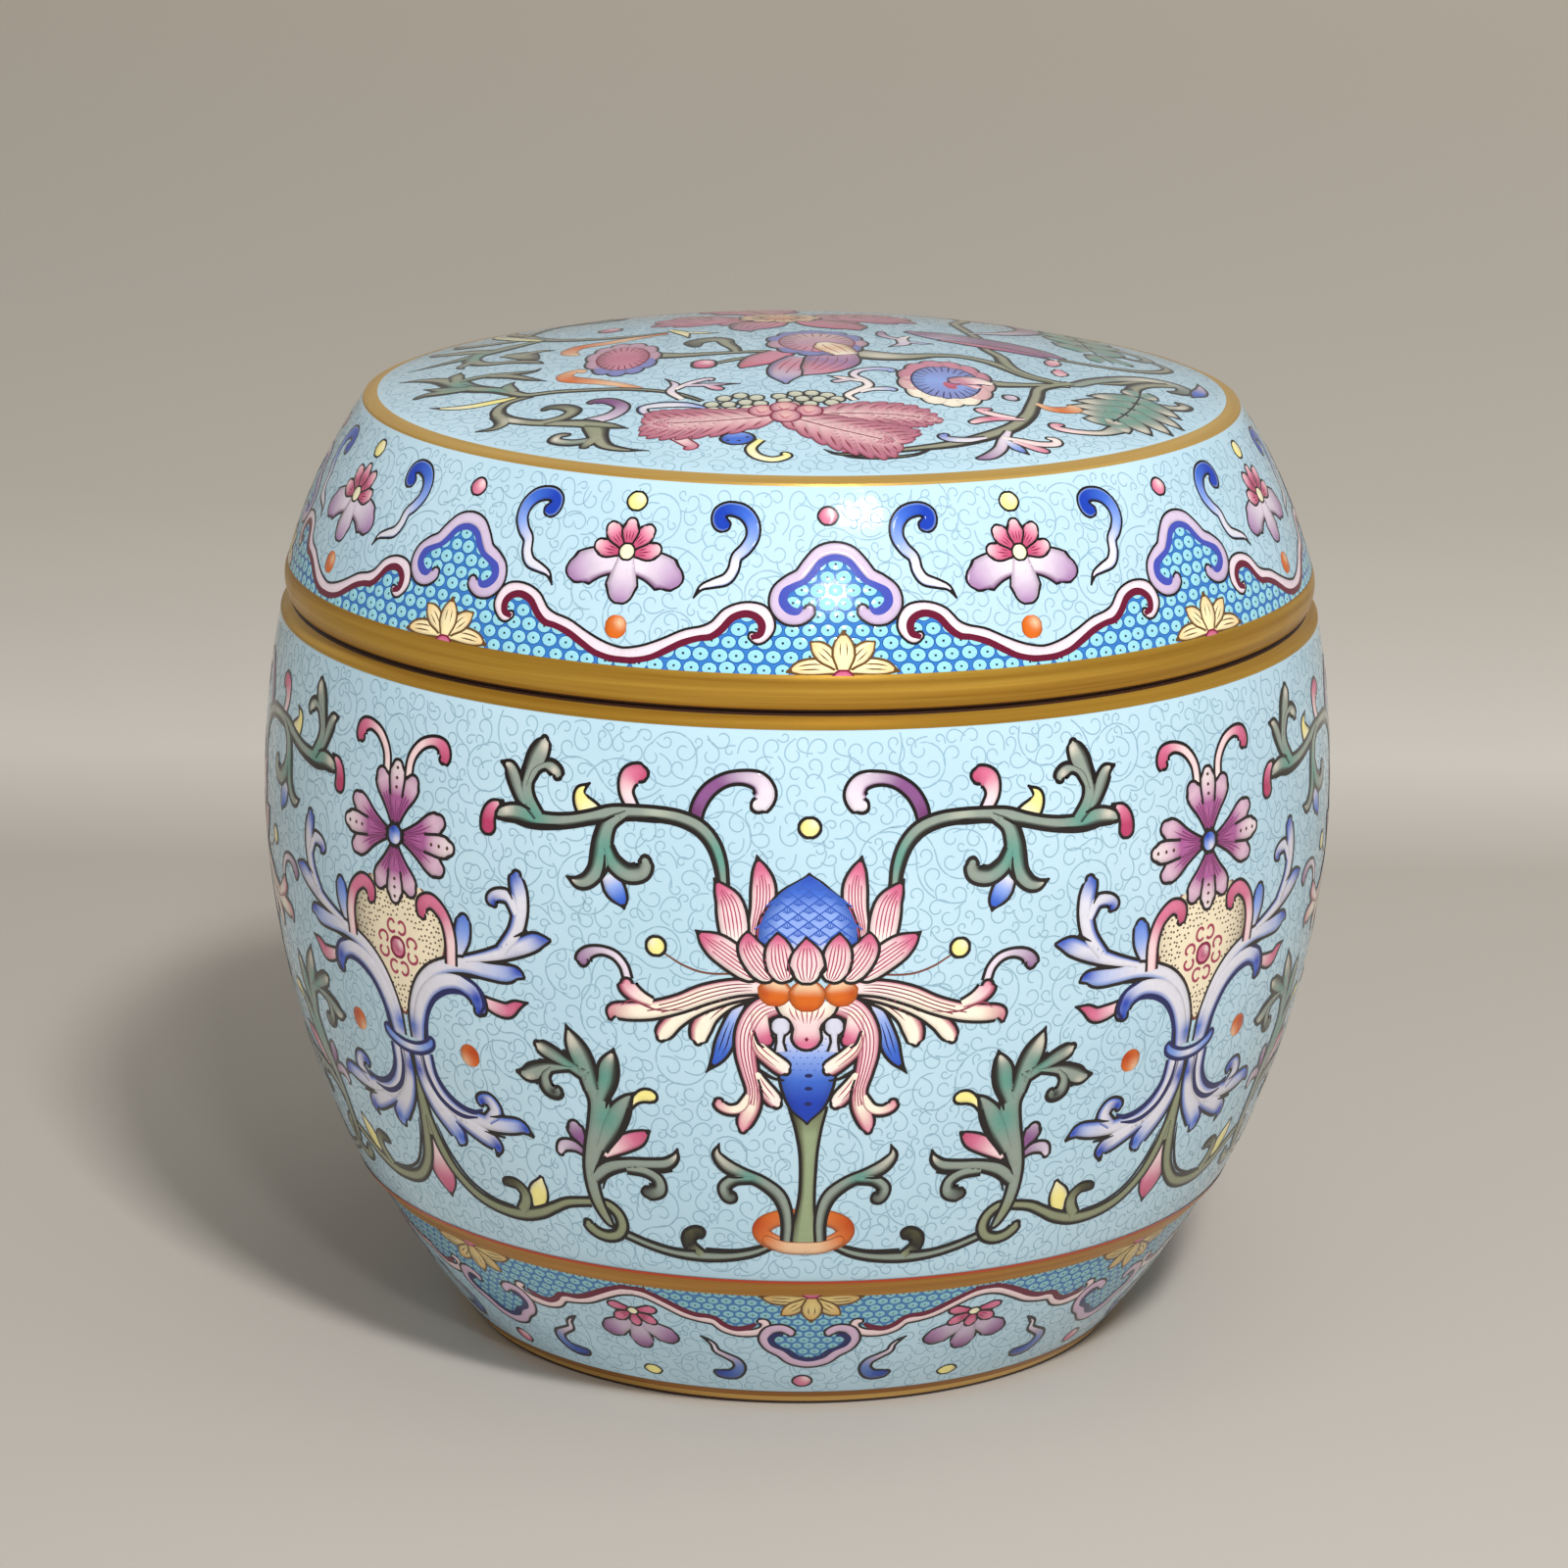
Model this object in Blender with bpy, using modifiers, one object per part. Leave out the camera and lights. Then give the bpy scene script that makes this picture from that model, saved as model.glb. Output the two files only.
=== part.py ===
"""A drum-shaped porcelain jar with a domed lift-off lid.

Two pieces, each turned about the Z axis: the hollow jar, with a recessed foot and an
upstanding collar inside its mouth, and the hollow lid, which drops over that collar
and rests on the ledge around it. Metres, +Z up, standing on z = 0.
"""

import math

import bpy

# Foot of the jar
FOOT_RADIUS = 0.0520
FOOT_EDGE = 0.0005
FOOT_RING_WIDTH = 0.0055
FOOT_RECESS = 0.0045
FOOT_RECESS_DRAFT = 0.0008
FOOT_HEIGHT = 0.0235
FOOT_BULGE = 0.0007

# Band at the waist, where the belly turns in to the foot
WAIST_HEIGHT = 0.0023
WAIST_SETBACK = 0.0021

# Belly, one arc from the waist to the mouth
BELLY_RADIUS = 0.08385
BELLY_LEVEL = 0.0865
BELLY_ARC = 0.1370

# Mouth: the bevelled band, the ledge that the lid rests on, and the collar
SEAT_LEVEL = 0.1159
SEAT_ROUNDING = 0.00035
MOUTH_BAND_HEIGHT = 0.00115
MOUTH_BAND_SETBACK = 0.00175
COLLAR_HEIGHT = 0.0060
COLLAR_THICKNESS = 0.0030
COLLAR_ROUNDING = 0.0008
NECK_DEPTH = 0.0045
NECK_BLEND = 0.0075

# Walls of the jar
JAR_WALL = 0.0045
JAR_FLOOR = 0.0045
FLOOR_FILLET = 0.0060

# Lid
SEAT_GAP = 0.0003
COLLAR_CLEARANCE = 0.0008
RIM_SEAT_WIDTH = 0.0033
RIM_EDGE_SETBACK = 0.0003
BEAD_PROUD = 0.00115
BEAD_ARC = 0.0060
BEAD_LEVEL = 0.0031
BEAD_HEIGHT = 0.0054
SHOULDER_HEIGHT = 0.0253
SHOULDER_INSET = 0.0120
SHOULDER_ARC = 0.0855
RING_WIDTH = 0.0019
RING_DROP = 0.0008
DOME_RISE = 0.0086
LID_WALL = 0.0040

# Facets
TURN_STEPS = 72
BELLY_SEGMENTS = 9
FOOT_SEGMENTS = 3
NECK_SEGMENTS = 4
FILLET_SEGMENTS = 3
BEAD_SEGMENTS = 4
SHOULDER_SEGMENTS = 5
DOME_SEGMENTS = 5

MERGE_DISTANCE = 0.00001

GLAZE_BLUE = (0.42, 0.74, 0.82, 1.0)
GLAZE_ROUGHNESS = 0.18


def arc_between(start, end, bulge, segments):
    """Points from start to end on an arc that bulges to the left of that direction."""
    run = end[0] - start[0]
    rise = end[1] - start[1]
    chord = math.hypot(run, rise)
    radius = chord * chord / (8.0 * bulge) + bulge / 2.0
    half_angle = math.asin(chord / (2.0 * radius))
    middle = ((start[0] + end[0]) / 2.0, (start[1] + end[1]) / 2.0)
    left = (-rise / chord, run / chord)
    centre_offset = bulge - radius
    centre = (middle[0] + left[0] * centre_offset, middle[1] + left[1] * centre_offset)
    points = []
    for i in range(segments + 1):
        angle = half_angle * (1.0 - 2.0 * i / segments)
        along = -math.sin(angle) * radius
        out = math.cos(angle) * radius
        points.append((centre[0] + left[0] * out + run / chord * along,
                       centre[1] + left[1] * out + rise / chord * along))
    return points


def sagitta(chord, radius):
    """Height of an arc of the given radius over a chord."""
    return radius - math.sqrt(radius * radius - chord * chord / 4.0)


def belly_radius(level):
    """Outer radius of the belly at a height."""
    rise = level - BELLY_LEVEL
    return BELLY_RADIUS - BELLY_ARC + math.sqrt(BELLY_ARC * BELLY_ARC - rise * rise)


def offset_inwards(points, wall):
    """The same run of points moved by one wall thickness to the right of its direction."""
    moved = []
    for i, (radius, level) in enumerate(points):
        before = points[max(i - 1, 0)]
        after = points[min(i + 1, len(points) - 1)]
        run = after[0] - before[0]
        rise = after[1] - before[1]
        length = math.hypot(run, rise)
        moved.append((radius + rise / length * wall, level - run / length * wall))
    return moved


def radius_at(points, level):
    """Radius on a run of points that falls from top to bottom, at a height."""
    for upper, lower in zip(points, points[1:]):
        if lower[1] <= level <= upper[1]:
            share = (level - lower[1]) / (upper[1] - lower[1])
            return lower[0] + share * (upper[0] - lower[0])
    return points[-1][0]


# Levels and radii that both pieces share
MOUTH_BAND_BOTTOM = SEAT_LEVEL - SEAT_ROUNDING - MOUTH_BAND_HEIGHT
MOUTH_EDGE_RADIUS = belly_radius(MOUTH_BAND_BOTTOM) - MOUTH_BAND_SETBACK
WAIST_TOP = FOOT_HEIGHT + WAIST_HEIGHT
LID_BOTTOM = SEAT_LEVEL + SEAT_GAP
LID_BORE = MOUTH_EDGE_RADIUS - RIM_SEAT_WIDTH
COLLAR_RADIUS = LID_BORE - COLLAR_CLEARANCE


def jar_outer_wall():
    """Outside of the jar, from the bottom of the mouth band down to the foot."""
    wall = []
    for i in range(BELLY_SEGMENTS + 1):
        level = MOUTH_BAND_BOTTOM + (WAIST_TOP - MOUTH_BAND_BOTTOM) * i / BELLY_SEGMENTS
        wall.append((belly_radius(level), level))
    foot_top = (belly_radius(WAIST_TOP) - WAIST_SETBACK, FOOT_HEIGHT)
    foot_bottom = (FOOT_RADIUS, FOOT_EDGE)
    wall += arc_between(foot_top, foot_bottom, FOOT_BULGE, FOOT_SEGMENTS)
    return wall


def jar_inner_wall(outer):
    """Inside of the jar, from the middle of the floor up to the top of the collar."""
    floor_level = FOOT_RECESS + JAR_FLOOR
    collar_inside = COLLAR_RADIUS - COLLAR_THICKNESS
    neck_level = SEAT_LEVEL - NECK_DEPTH
    wall = offset_inwards(outer, JAR_WALL)
    # The inside has no step at the waist
    del wall[BELLY_SEGMENTS + 1]
    fillet_top = floor_level + FLOOR_FILLET
    fillet_radius = radius_at(wall, fillet_top)
    inside = [(0.0, floor_level)]
    for i in range(FILLET_SEGMENTS + 1):
        angle = math.pi / 2.0 * i / FILLET_SEGMENTS
        inside.append((fillet_radius - FLOOR_FILLET * (1.0 - math.sin(angle)),
                       fillet_top - FLOOR_FILLET * math.cos(angle)))
    neck_start = neck_level - NECK_BLEND
    for radius, level in reversed(wall):
        if fillet_top + JAR_WALL / 2.0 < level < neck_start - JAR_WALL / 2.0:
            inside.append((radius, level))
    for i in range(NECK_SEGMENTS + 1):
        share = i / NECK_SEGMENTS
        ease = share * share * (3.0 - 2.0 * share)
        level = neck_start + NECK_BLEND * share
        inside.append((radius_at(wall, neck_start) * (1.0 - ease) + collar_inside * ease, level))
    return inside


def jar_profile():
    """Half section of the jar: floor, inner wall, collar, ledge, outer wall, underside."""
    outer = jar_outer_wall()
    collar_top = SEAT_LEVEL + COLLAR_HEIGHT
    collar_inside = COLLAR_RADIUS - COLLAR_THICKNESS
    ring_inside = FOOT_RADIUS - FOOT_RING_WIDTH
    section = jar_inner_wall(outer)
    section.append((collar_inside, collar_top - COLLAR_ROUNDING))
    section.append((collar_inside + COLLAR_ROUNDING, collar_top))
    section.append((COLLAR_RADIUS - COLLAR_ROUNDING, collar_top))
    section.append((COLLAR_RADIUS, collar_top - COLLAR_ROUNDING))
    section.append((COLLAR_RADIUS, SEAT_LEVEL))
    section.append((MOUTH_EDGE_RADIUS - SEAT_ROUNDING, SEAT_LEVEL))
    section.append((MOUTH_EDGE_RADIUS, SEAT_LEVEL - SEAT_ROUNDING))
    section += outer
    section.append((FOOT_RADIUS - FOOT_EDGE, 0.0))
    section.append((ring_inside, 0.0))
    section.append((ring_inside - FOOT_RECESS_DRAFT, FOOT_RECESS))
    section.append((0.0, FOOT_RECESS))
    return section


def lid_outer_wall():
    """Outside of the lid, from the middle of the dome down to the bottom of the bead."""
    bead_centre = MOUTH_EDGE_RADIUS + BEAD_PROUD - BEAD_ARC
    bead_top = LID_BOTTOM + BEAD_HEIGHT

    def bead_radius(level):
        rise = level - LID_BOTTOM - BEAD_LEVEL
        return bead_centre + math.sqrt(BEAD_ARC * BEAD_ARC - rise * rise)

    shoulder_bottom = (bead_radius(bead_top), bead_top)
    shoulder_top = (shoulder_bottom[0] - SHOULDER_INSET, bead_top + SHOULDER_HEIGHT)
    dome_edge = (shoulder_top[0] - RING_WIDTH, shoulder_top[1] + RING_DROP)
    wall = []
    for i in range(DOME_SEGMENTS):
        share = i / DOME_SEGMENTS
        wall.append((dome_edge[0] * share, dome_edge[1] + DOME_RISE * (1.0 - share * share)))
    wall.append(dome_edge)
    chord = math.dist(shoulder_top, shoulder_bottom)
    wall += arc_between(shoulder_top, shoulder_bottom, sagitta(chord, SHOULDER_ARC), SHOULDER_SEGMENTS)
    for i in range(1, BEAD_SEGMENTS + 1):
        level = bead_top - BEAD_HEIGHT * i / BEAD_SEGMENTS
        wall.append((bead_radius(level), level))
    return wall


def lid_profile():
    """Half section of the lid: outside of the dome down to the rim, then the inside up."""
    outer = lid_outer_wall()
    rim_edge = outer[-1][0] - RIM_EDGE_SETBACK
    outer[-1] = (outer[-1][0], LID_BOTTOM + RIM_EDGE_SETBACK)
    inner = [(min(radius, LID_BORE), level) for radius, level in offset_inwards(outer, LID_WALL)]
    # Inside, one corner stands for both edges of the flat ring
    del inner[DOME_SEGMENTS + 1]
    bore_top = SEAT_LEVEL + COLLAR_HEIGHT
    section = list(outer)
    section.append((rim_edge, LID_BOTTOM))
    section.append((LID_BORE, LID_BOTTOM))
    section.append((LID_BORE, bore_top))
    for radius, level in reversed(inner[1:]):
        if level > bore_top + LID_WALL / 4.0:
            section.append((radius, level))
    section.append((0.0, outer[0][1] - LID_WALL))
    return section


def glaze(name, colour):
    """A glossy coloured glaze."""
    material = bpy.data.materials.new(name)
    material.use_nodes = True
    shader = material.node_tree.nodes["Principled BSDF"]
    shader.inputs["Base Color"].default_value = colour
    shader.inputs["Roughness"].default_value = GLAZE_ROUGHNESS
    shader.inputs["Metallic"].default_value = 0.0
    return material


def turned_piece(name, section, material, collection):
    """A closed solid turned from a half section that runs down its outer side."""
    mesh = bpy.data.meshes.new(name)
    edges = [(i, i + 1) for i in range(len(section) - 1)]
    mesh.from_pydata([(radius, 0.0, level) for radius, level in section], edges, [])
    mesh.materials.append(material)
    piece = bpy.data.objects.new(name, mesh)
    collection.objects.link(piece)
    turn = piece.modifiers.new("turn", "SCREW")
    turn.axis = "Z"
    turn.angle = math.tau
    turn.steps = TURN_STEPS
    turn.render_steps = TURN_STEPS
    turn.use_merge_vertices = True
    turn.merge_threshold = MERGE_DISTANCE
    turn.use_smooth_shade = True
    return piece


def build():
    """Clear the scene, then make the jar and its lid."""
    for old in list(bpy.data.objects):
        bpy.data.objects.remove(old, do_unlink=True)
    collection = bpy.data.collections.new("lidded_jar")
    bpy.context.scene.collection.children.link(collection)
    base = bpy.data.objects.new("jar_base", None)
    collection.objects.link(base)
    jar = turned_piece("jar_body", jar_profile(), glaze("jar_glaze", GLAZE_BLUE), collection)
    lid = turned_piece("lid", lid_profile(), glaze("lid_glaze", GLAZE_BLUE), collection)
    jar.parent = base
    lid.parent = base


build()
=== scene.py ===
"""Dresses the lidded jar: sky-blue incised glaze, painted enamel flowers and gilt bands.

Sizes are in millimetres and become metres when a mesh is made. Ornament is drawn in
flat coordinates: millimetres along the wall at a stated reference radius, and a height
on that wall, and is then laid on the turned form as thin raised enamel.
"""

import math
import random

import bpy
import numpy as np
from mathutils import Matrix, Vector


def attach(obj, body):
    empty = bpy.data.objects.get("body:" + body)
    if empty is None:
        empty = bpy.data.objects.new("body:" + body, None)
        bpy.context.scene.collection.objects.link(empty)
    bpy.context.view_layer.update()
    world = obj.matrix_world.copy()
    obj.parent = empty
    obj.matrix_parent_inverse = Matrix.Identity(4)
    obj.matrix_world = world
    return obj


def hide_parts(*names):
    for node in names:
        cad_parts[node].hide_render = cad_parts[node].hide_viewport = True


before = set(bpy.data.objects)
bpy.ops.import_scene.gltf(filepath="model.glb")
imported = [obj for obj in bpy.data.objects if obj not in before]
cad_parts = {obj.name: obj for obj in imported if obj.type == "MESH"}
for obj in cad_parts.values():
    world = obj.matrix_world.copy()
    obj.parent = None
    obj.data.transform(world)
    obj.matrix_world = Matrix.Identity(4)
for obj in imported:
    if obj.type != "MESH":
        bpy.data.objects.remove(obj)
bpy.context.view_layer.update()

MM = 0.001

# The turned form, as in the part's source, in millimetres
FOOT_RADIUS = 52.0
FOOT_EDGE = 0.5
FOOT_RING_WIDTH = 5.5
FOOT_RECESS = 4.5
FOOT_RECESS_DRAFT = 0.8
FOOT_HEIGHT = 23.5
FOOT_BULGE = 0.7
WAIST_HEIGHT = 2.3
WAIST_SETBACK = 2.1
BELLY_RADIUS = 83.85
BELLY_LEVEL = 86.5
BELLY_ARC = 137.0
SEAT_LEVEL = 115.9
SEAT_ROUNDING = 0.35
MOUTH_BAND_HEIGHT = 1.15
MOUTH_BAND_SETBACK = 1.75
COLLAR_HEIGHT = 6.0
COLLAR_THICKNESS = 3.0
COLLAR_ROUNDING = 0.8
NECK_DEPTH = 4.5
NECK_BLEND = 7.5
JAR_WALL = 4.5
JAR_FLOOR = 4.5
FLOOR_FILLET = 6.0
SEAT_GAP = 0.3
COLLAR_CLEARANCE = 0.8
RIM_SEAT_WIDTH = 3.3
RIM_EDGE_SETBACK = 0.3
BEAD_PROUD = 1.15
BEAD_ARC = 6.0
BEAD_LEVEL = 3.1
BEAD_HEIGHT = 5.4
SHOULDER_HEIGHT = 25.3
SHOULDER_INSET = 12.0
SHOULDER_ARC = 85.5
RING_WIDTH = 1.9
RING_DROP = 0.8
DOME_RISE = 8.6
LID_WALL = 4.0

MOUTH_BAND_BOTTOM = SEAT_LEVEL - SEAT_ROUNDING - MOUTH_BAND_HEIGHT
WAIST_TOP = FOOT_HEIGHT + WAIST_HEIGHT
LID_BOTTOM = SEAT_LEVEL + SEAT_GAP

# How the surface is built up
TURN_STEPS = 264
INSIDE_STEPS = 132
GROUND_INSET = 0.17
FIRST_LIFT = 0.018
LEVEL_STEP = 0.011
GILT_LIFT = 0.05


def srgb(red, green, blue):
    """A colour given as it looks on a screen, 0 to 255, as scene-linear values."""
    out = []
    for value in (red, green, blue):
        share = value / 255.0
        out.append(share / 12.92 if share < 0.04045 else ((share + 0.055) / 1.055) ** 2.4)
    return tuple(out)


# Enamel colours
SKY = srgb(184, 212, 226)
SKY_DEEP = srgb(174, 204, 219)
SKY_LINE = srgb(140, 173, 191)
LEAF = srgb(138, 149, 139)
LEAF_TEAL = srgb(92, 146, 133)
LEAF_DARK = srgb(30, 29, 25)
LEAF_PALE = srgb(206, 199, 184)
OLIVE = srgb(136, 142, 112)
OLIVE_DARK = srgb(74, 72, 48)
STEM_GREEN = srgb(146, 160, 124)
CREAM = srgb(244, 232, 212)
WHITE = srgb(240, 228, 222)
PINK_PALE = srgb(238, 206, 208)
PINK = srgb(208, 112, 144)
PINK_DEEP = srgb(176, 56, 98)
CRIMSON = srgb(124, 20, 56)
BLUE_DEEP = srgb(20, 58, 168)
BLUE = srgb(58, 102, 198)
BLUE_LIGHT = srgb(134, 162, 226)
BLUE_PALE = srgb(216, 214, 224)
NAVY = srgb(24, 30, 86)
LILAC = srgb(188, 170, 190)
LILAC_PALE = srgb(222, 208, 222)
PURPLE = srgb(130, 80, 132)
PURPLE_DEEP = srgb(92, 34, 84)
YELLOW = srgb(240, 228, 142)
YELLOW_PALE = srgb(240, 232, 196)
ORANGE = srgb(204, 98, 20)
ORANGE_DEEP = srgb(176, 60, 8)
ORANGE_PALE = srgb(226, 186, 148)
INK_BLACK = srgb(26, 20, 20)
INK_BROWN = srgb(112, 62, 46)
VEIN = srgb(132, 58, 74)


def node_tree(name):
    """A fresh material with its node tree and its shader."""
    material = bpy.data.materials.new(name)
    material.use_nodes = True
    tree = material.node_tree
    return material, tree, tree.nodes["Principled BSDF"]


def add_noise(tree, scale, detail=2.0):
    """A noise texture in object space."""
    place = tree.nodes.new("ShaderNodeTexCoord")
    noise = tree.nodes.new("ShaderNodeTexNoise")
    noise.inputs["Scale"].default_value = scale
    noise.inputs["Detail"].default_value = detail
    tree.links.new(place.outputs["Object"], noise.inputs["Vector"])
    return noise


def add_bump(tree, shader, height, strength, distance):
    """A bump fed by a height output."""
    bump = tree.nodes.new("ShaderNodeBump")
    bump.inputs["Strength"].default_value = strength
    bump.inputs["Distance"].default_value = distance
    tree.links.new(height, bump.inputs["Height"])
    tree.links.new(bump.outputs["Normal"], shader.inputs["Normal"])


def add_range(tree, value, low, high):
    """A value from 0 to 1 brought into another range."""
    spread = tree.nodes.new("ShaderNodeMapRange")
    spread.inputs["To Min"].default_value = low
    spread.inputs["To Max"].default_value = high
    tree.links.new(value, spread.inputs["Value"])
    return spread


def add_ramp(tree, value, start, low, end, high):
    """A value turned into a colour: low up to the start, high from the end on."""
    ramp = tree.nodes.new("ShaderNodeValToRGB")
    ramp.color_ramp.elements[0].position = start
    ramp.color_ramp.elements[0].color = (*low, 1.0)
    ramp.color_ramp.elements[1].position = end
    ramp.color_ramp.elements[1].color = (*high, 1.0)
    tree.links.new(value, ramp.inputs["Fac"])
    return ramp


def add_gloss(tree, shader, low, high, scale):
    """Roughness that wanders a little, as a fired glaze does."""
    noise = add_noise(tree, scale)
    spread = add_range(tree, noise.outputs["Fac"], low, high)
    tree.links.new(spread.outputs["Result"], shader.inputs["Roughness"])


def ground_glaze(name, colour, deep):
    """The opaque coloured glaze: two close tones, a soft orange peel and a gloss."""
    material, tree, shader = node_tree(name)
    noise = add_noise(tree, 26.0, 4.0)
    ramp = add_ramp(tree, noise.outputs["Fac"], 0.35, deep, 0.65, colour)
    tree.links.new(ramp.outputs["Color"], shader.inputs["Base Color"])
    add_gloss(tree, shader, 0.05, 0.12, 60.0)
    peel = add_noise(tree, 420.0, 2.0)
    add_bump(tree, shader, peel.outputs["Fac"], 0.30, 0.00012)
    return material


def painted_enamel(name):
    """Enamel whose colour is painted on the mesh, with the grain of ground pigment."""
    material, tree, shader = node_tree(name)
    paint = tree.nodes.new("ShaderNodeAttribute")
    paint.attribute_name = "paint"
    grain = add_noise(tree, 900.0, 3.0)
    tone = add_range(tree, grain.outputs["Fac"], 0.90, 1.08)
    blend = tree.nodes.new("ShaderNodeVectorMath")
    blend.operation = "SCALE"
    tree.links.new(paint.outputs["Color"], blend.inputs[0])
    tree.links.new(tone.outputs["Result"], blend.inputs["Scale"])
    tree.links.new(blend.outputs["Vector"], shader.inputs["Base Color"])
    add_gloss(tree, shader, 0.06, 0.14, 300.0)
    return material


def plain_enamel(name, colour, low=0.10, high=0.20):
    """A single-colour enamel line, with a wandering gloss and a faint grain."""
    material, tree, shader = node_tree(name)
    shader.inputs["Base Color"].default_value = (*colour, 1.0)
    add_gloss(tree, shader, low, high, 400.0)
    grain = add_noise(tree, 1500.0)
    add_bump(tree, shader, grain.outputs["Fac"], 0.15, 0.00004)
    return material


def gilt(name, pale, deep):
    """Worn gilding: warm metal brushed around the jar, with rubbed, duller patches."""
    material, tree, shader = node_tree(name)
    shader.inputs["Metallic"].default_value = 0.62
    place = tree.nodes.new("ShaderNodeTexCoord")
    stretch = tree.nodes.new("ShaderNodeMapping")
    stretch.inputs["Scale"].default_value = (14.0, 14.0, 900.0)
    streaks = tree.nodes.new("ShaderNodeTexNoise")
    streaks.inputs["Scale"].default_value = 1.0
    streaks.inputs["Detail"].default_value = 4.0
    tree.links.new(place.outputs["Object"], stretch.inputs["Vector"])
    tree.links.new(stretch.outputs["Vector"], streaks.inputs["Vector"])
    ramp = add_ramp(tree, streaks.outputs["Fac"], 0.30, deep, 0.66, pale)
    tree.links.new(ramp.outputs["Color"], shader.inputs["Base Color"])
    add_gloss(tree, shader, 0.26, 0.44, 180.0)
    grain = add_noise(tree, 700.0)
    add_bump(tree, shader, grain.outputs["Fac"], 0.25, 0.00008)
    return material


def bare_porcelain(name):
    """The unglazed foot ring: matt, off-white, with fine grit and faint iron specks."""
    material, tree, shader = node_tree(name)
    noise = add_noise(tree, 300.0, 5.0)
    ramp = add_ramp(tree, noise.outputs["Fac"], 0.28, srgb(176, 150, 120), 0.46, srgb(226, 218, 204))
    tree.links.new(ramp.outputs["Color"], shader.inputs["Base Color"])
    add_gloss(tree, shader, 0.62, 0.85, 200.0)
    add_bump(tree, shader, noise.outputs["Fac"], 0.5, 0.0001)
    return material


def arc_between(start, end, bulge, segments):
    """Points from start to end on an arc that bulges to the left of that direction."""
    run = end[0] - start[0]
    rise = end[1] - start[1]
    chord = math.hypot(run, rise)
    radius = chord * chord / (8.0 * bulge) + bulge / 2.0
    half_angle = math.asin(chord / (2.0 * radius))
    middle = ((start[0] + end[0]) / 2.0, (start[1] + end[1]) / 2.0)
    left = (-rise / chord, run / chord)
    centre = (middle[0] + left[0] * (bulge - radius), middle[1] + left[1] * (bulge - radius))
    points = []
    for i in range(segments + 1):
        angle = half_angle * (1.0 - 2.0 * i / segments)
        along = -math.sin(angle) * radius
        out = math.cos(angle) * radius
        points.append((centre[0] + left[0] * out + run / chord * along,
                       centre[1] + left[1] * out + rise / chord * along))
    return points


def belly_radius(level):
    """Outer radius of the belly at a height."""
    rise = level - BELLY_LEVEL
    return BELLY_RADIUS - BELLY_ARC + math.sqrt(BELLY_ARC * BELLY_ARC - rise * rise)


MOUTH_EDGE_RADIUS = belly_radius(MOUTH_BAND_BOTTOM) - MOUTH_BAND_SETBACK
LID_BORE = MOUTH_EDGE_RADIUS - RIM_SEAT_WIDTH
COLLAR_RADIUS = LID_BORE - COLLAR_CLEARANCE
BEAD_TOP = LID_BOTTOM + BEAD_HEIGHT


def bead_radius(level):
    """Outer radius of the rounded rim of the lid at a height."""
    rise = level - LID_BOTTOM - BEAD_LEVEL
    return MOUTH_EDGE_RADIUS + BEAD_PROUD - BEAD_ARC + math.sqrt(BEAD_ARC * BEAD_ARC - rise * rise)


def belly_points(segments):
    """The belly from the waist up to the mouth band."""
    span = MOUTH_BAND_BOTTOM - WAIST_TOP
    levels = [WAIST_TOP + span * i / segments for i in range(segments + 1)]
    return [(belly_radius(level), level) for level in levels]


def foot_points(segments):
    """The foot wall from the waist down to the foot ring."""
    top = (belly_radius(WAIST_TOP) - WAIST_SETBACK, FOOT_HEIGHT)
    return arc_between(top, (FOOT_RADIUS, FOOT_EDGE), FOOT_BULGE, segments)


SHOULDER_BOTTOM = (bead_radius(BEAD_TOP), BEAD_TOP)
SHOULDER_TOP = (SHOULDER_BOTTOM[0] - SHOULDER_INSET, BEAD_TOP + SHOULDER_HEIGHT)
DOME_RADIUS = SHOULDER_TOP[0] - RING_WIDTH
DOME_EDGE_LEVEL = SHOULDER_TOP[1] + RING_DROP


def shoulder_points(segments):
    """The sloping side of the lid from its rim up to the gilt ring."""
    chord = math.dist(SHOULDER_TOP, SHOULDER_BOTTOM)
    bulge = SHOULDER_ARC - math.sqrt(SHOULDER_ARC * SHOULDER_ARC - chord * chord / 4.0)
    return list(reversed(arc_between(SHOULDER_TOP, SHOULDER_BOTTOM, bulge, segments)))


def dome_level(radius):
    """Height of the lid's shallow dome at a radius."""
    share = radius / DOME_RADIUS
    return DOME_EDGE_LEVEL + DOME_RISE * (1.0 - share * share)


def unit(vectors):
    """Rows scaled to length one."""
    return vectors / np.maximum(np.linalg.norm(vectors, axis=-1, keepdims=True), 1e-12)


class Wall:
    """A turned wall to draw on: across is measured at a reference radius, height along it."""

    def __init__(self, points, heights, reference):
        self.points = np.array(points, float)
        self.heights = np.array(heights, float)
        self.reference = reference
        run = np.gradient(self.points[:, 0])
        rise = np.gradient(self.points[:, 1])
        out = unit(np.stack([rise, -run], -1))
        self.out = np.where(out[:, :1] < 0.0, -out, out)
        self.up = unit(np.stack([run, rise], -1))

    def place(self, across, height, turn):
        """Surface points, outward normals and the two directions along the surface."""
        angle = across / self.reference + turn
        along = [np.interp(height, self.heights, column)
                 for column in (*self.points.T, *self.out.T, *self.up.T)]
        radius, level, out_run, out_rise, up_run, up_rise = along
        sine = np.sin(angle)
        cosine = np.cos(angle)
        point = np.stack([radius * sine, -radius * cosine, level], -1)
        normal = np.stack([out_run * sine, -out_run * cosine, out_rise], -1)
        side = np.stack([cosine, sine, np.zeros_like(sine)], -1)
        up = np.stack([up_run * sine, -up_run * cosine, up_rise], -1)
        return point, normal, side, up


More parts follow.
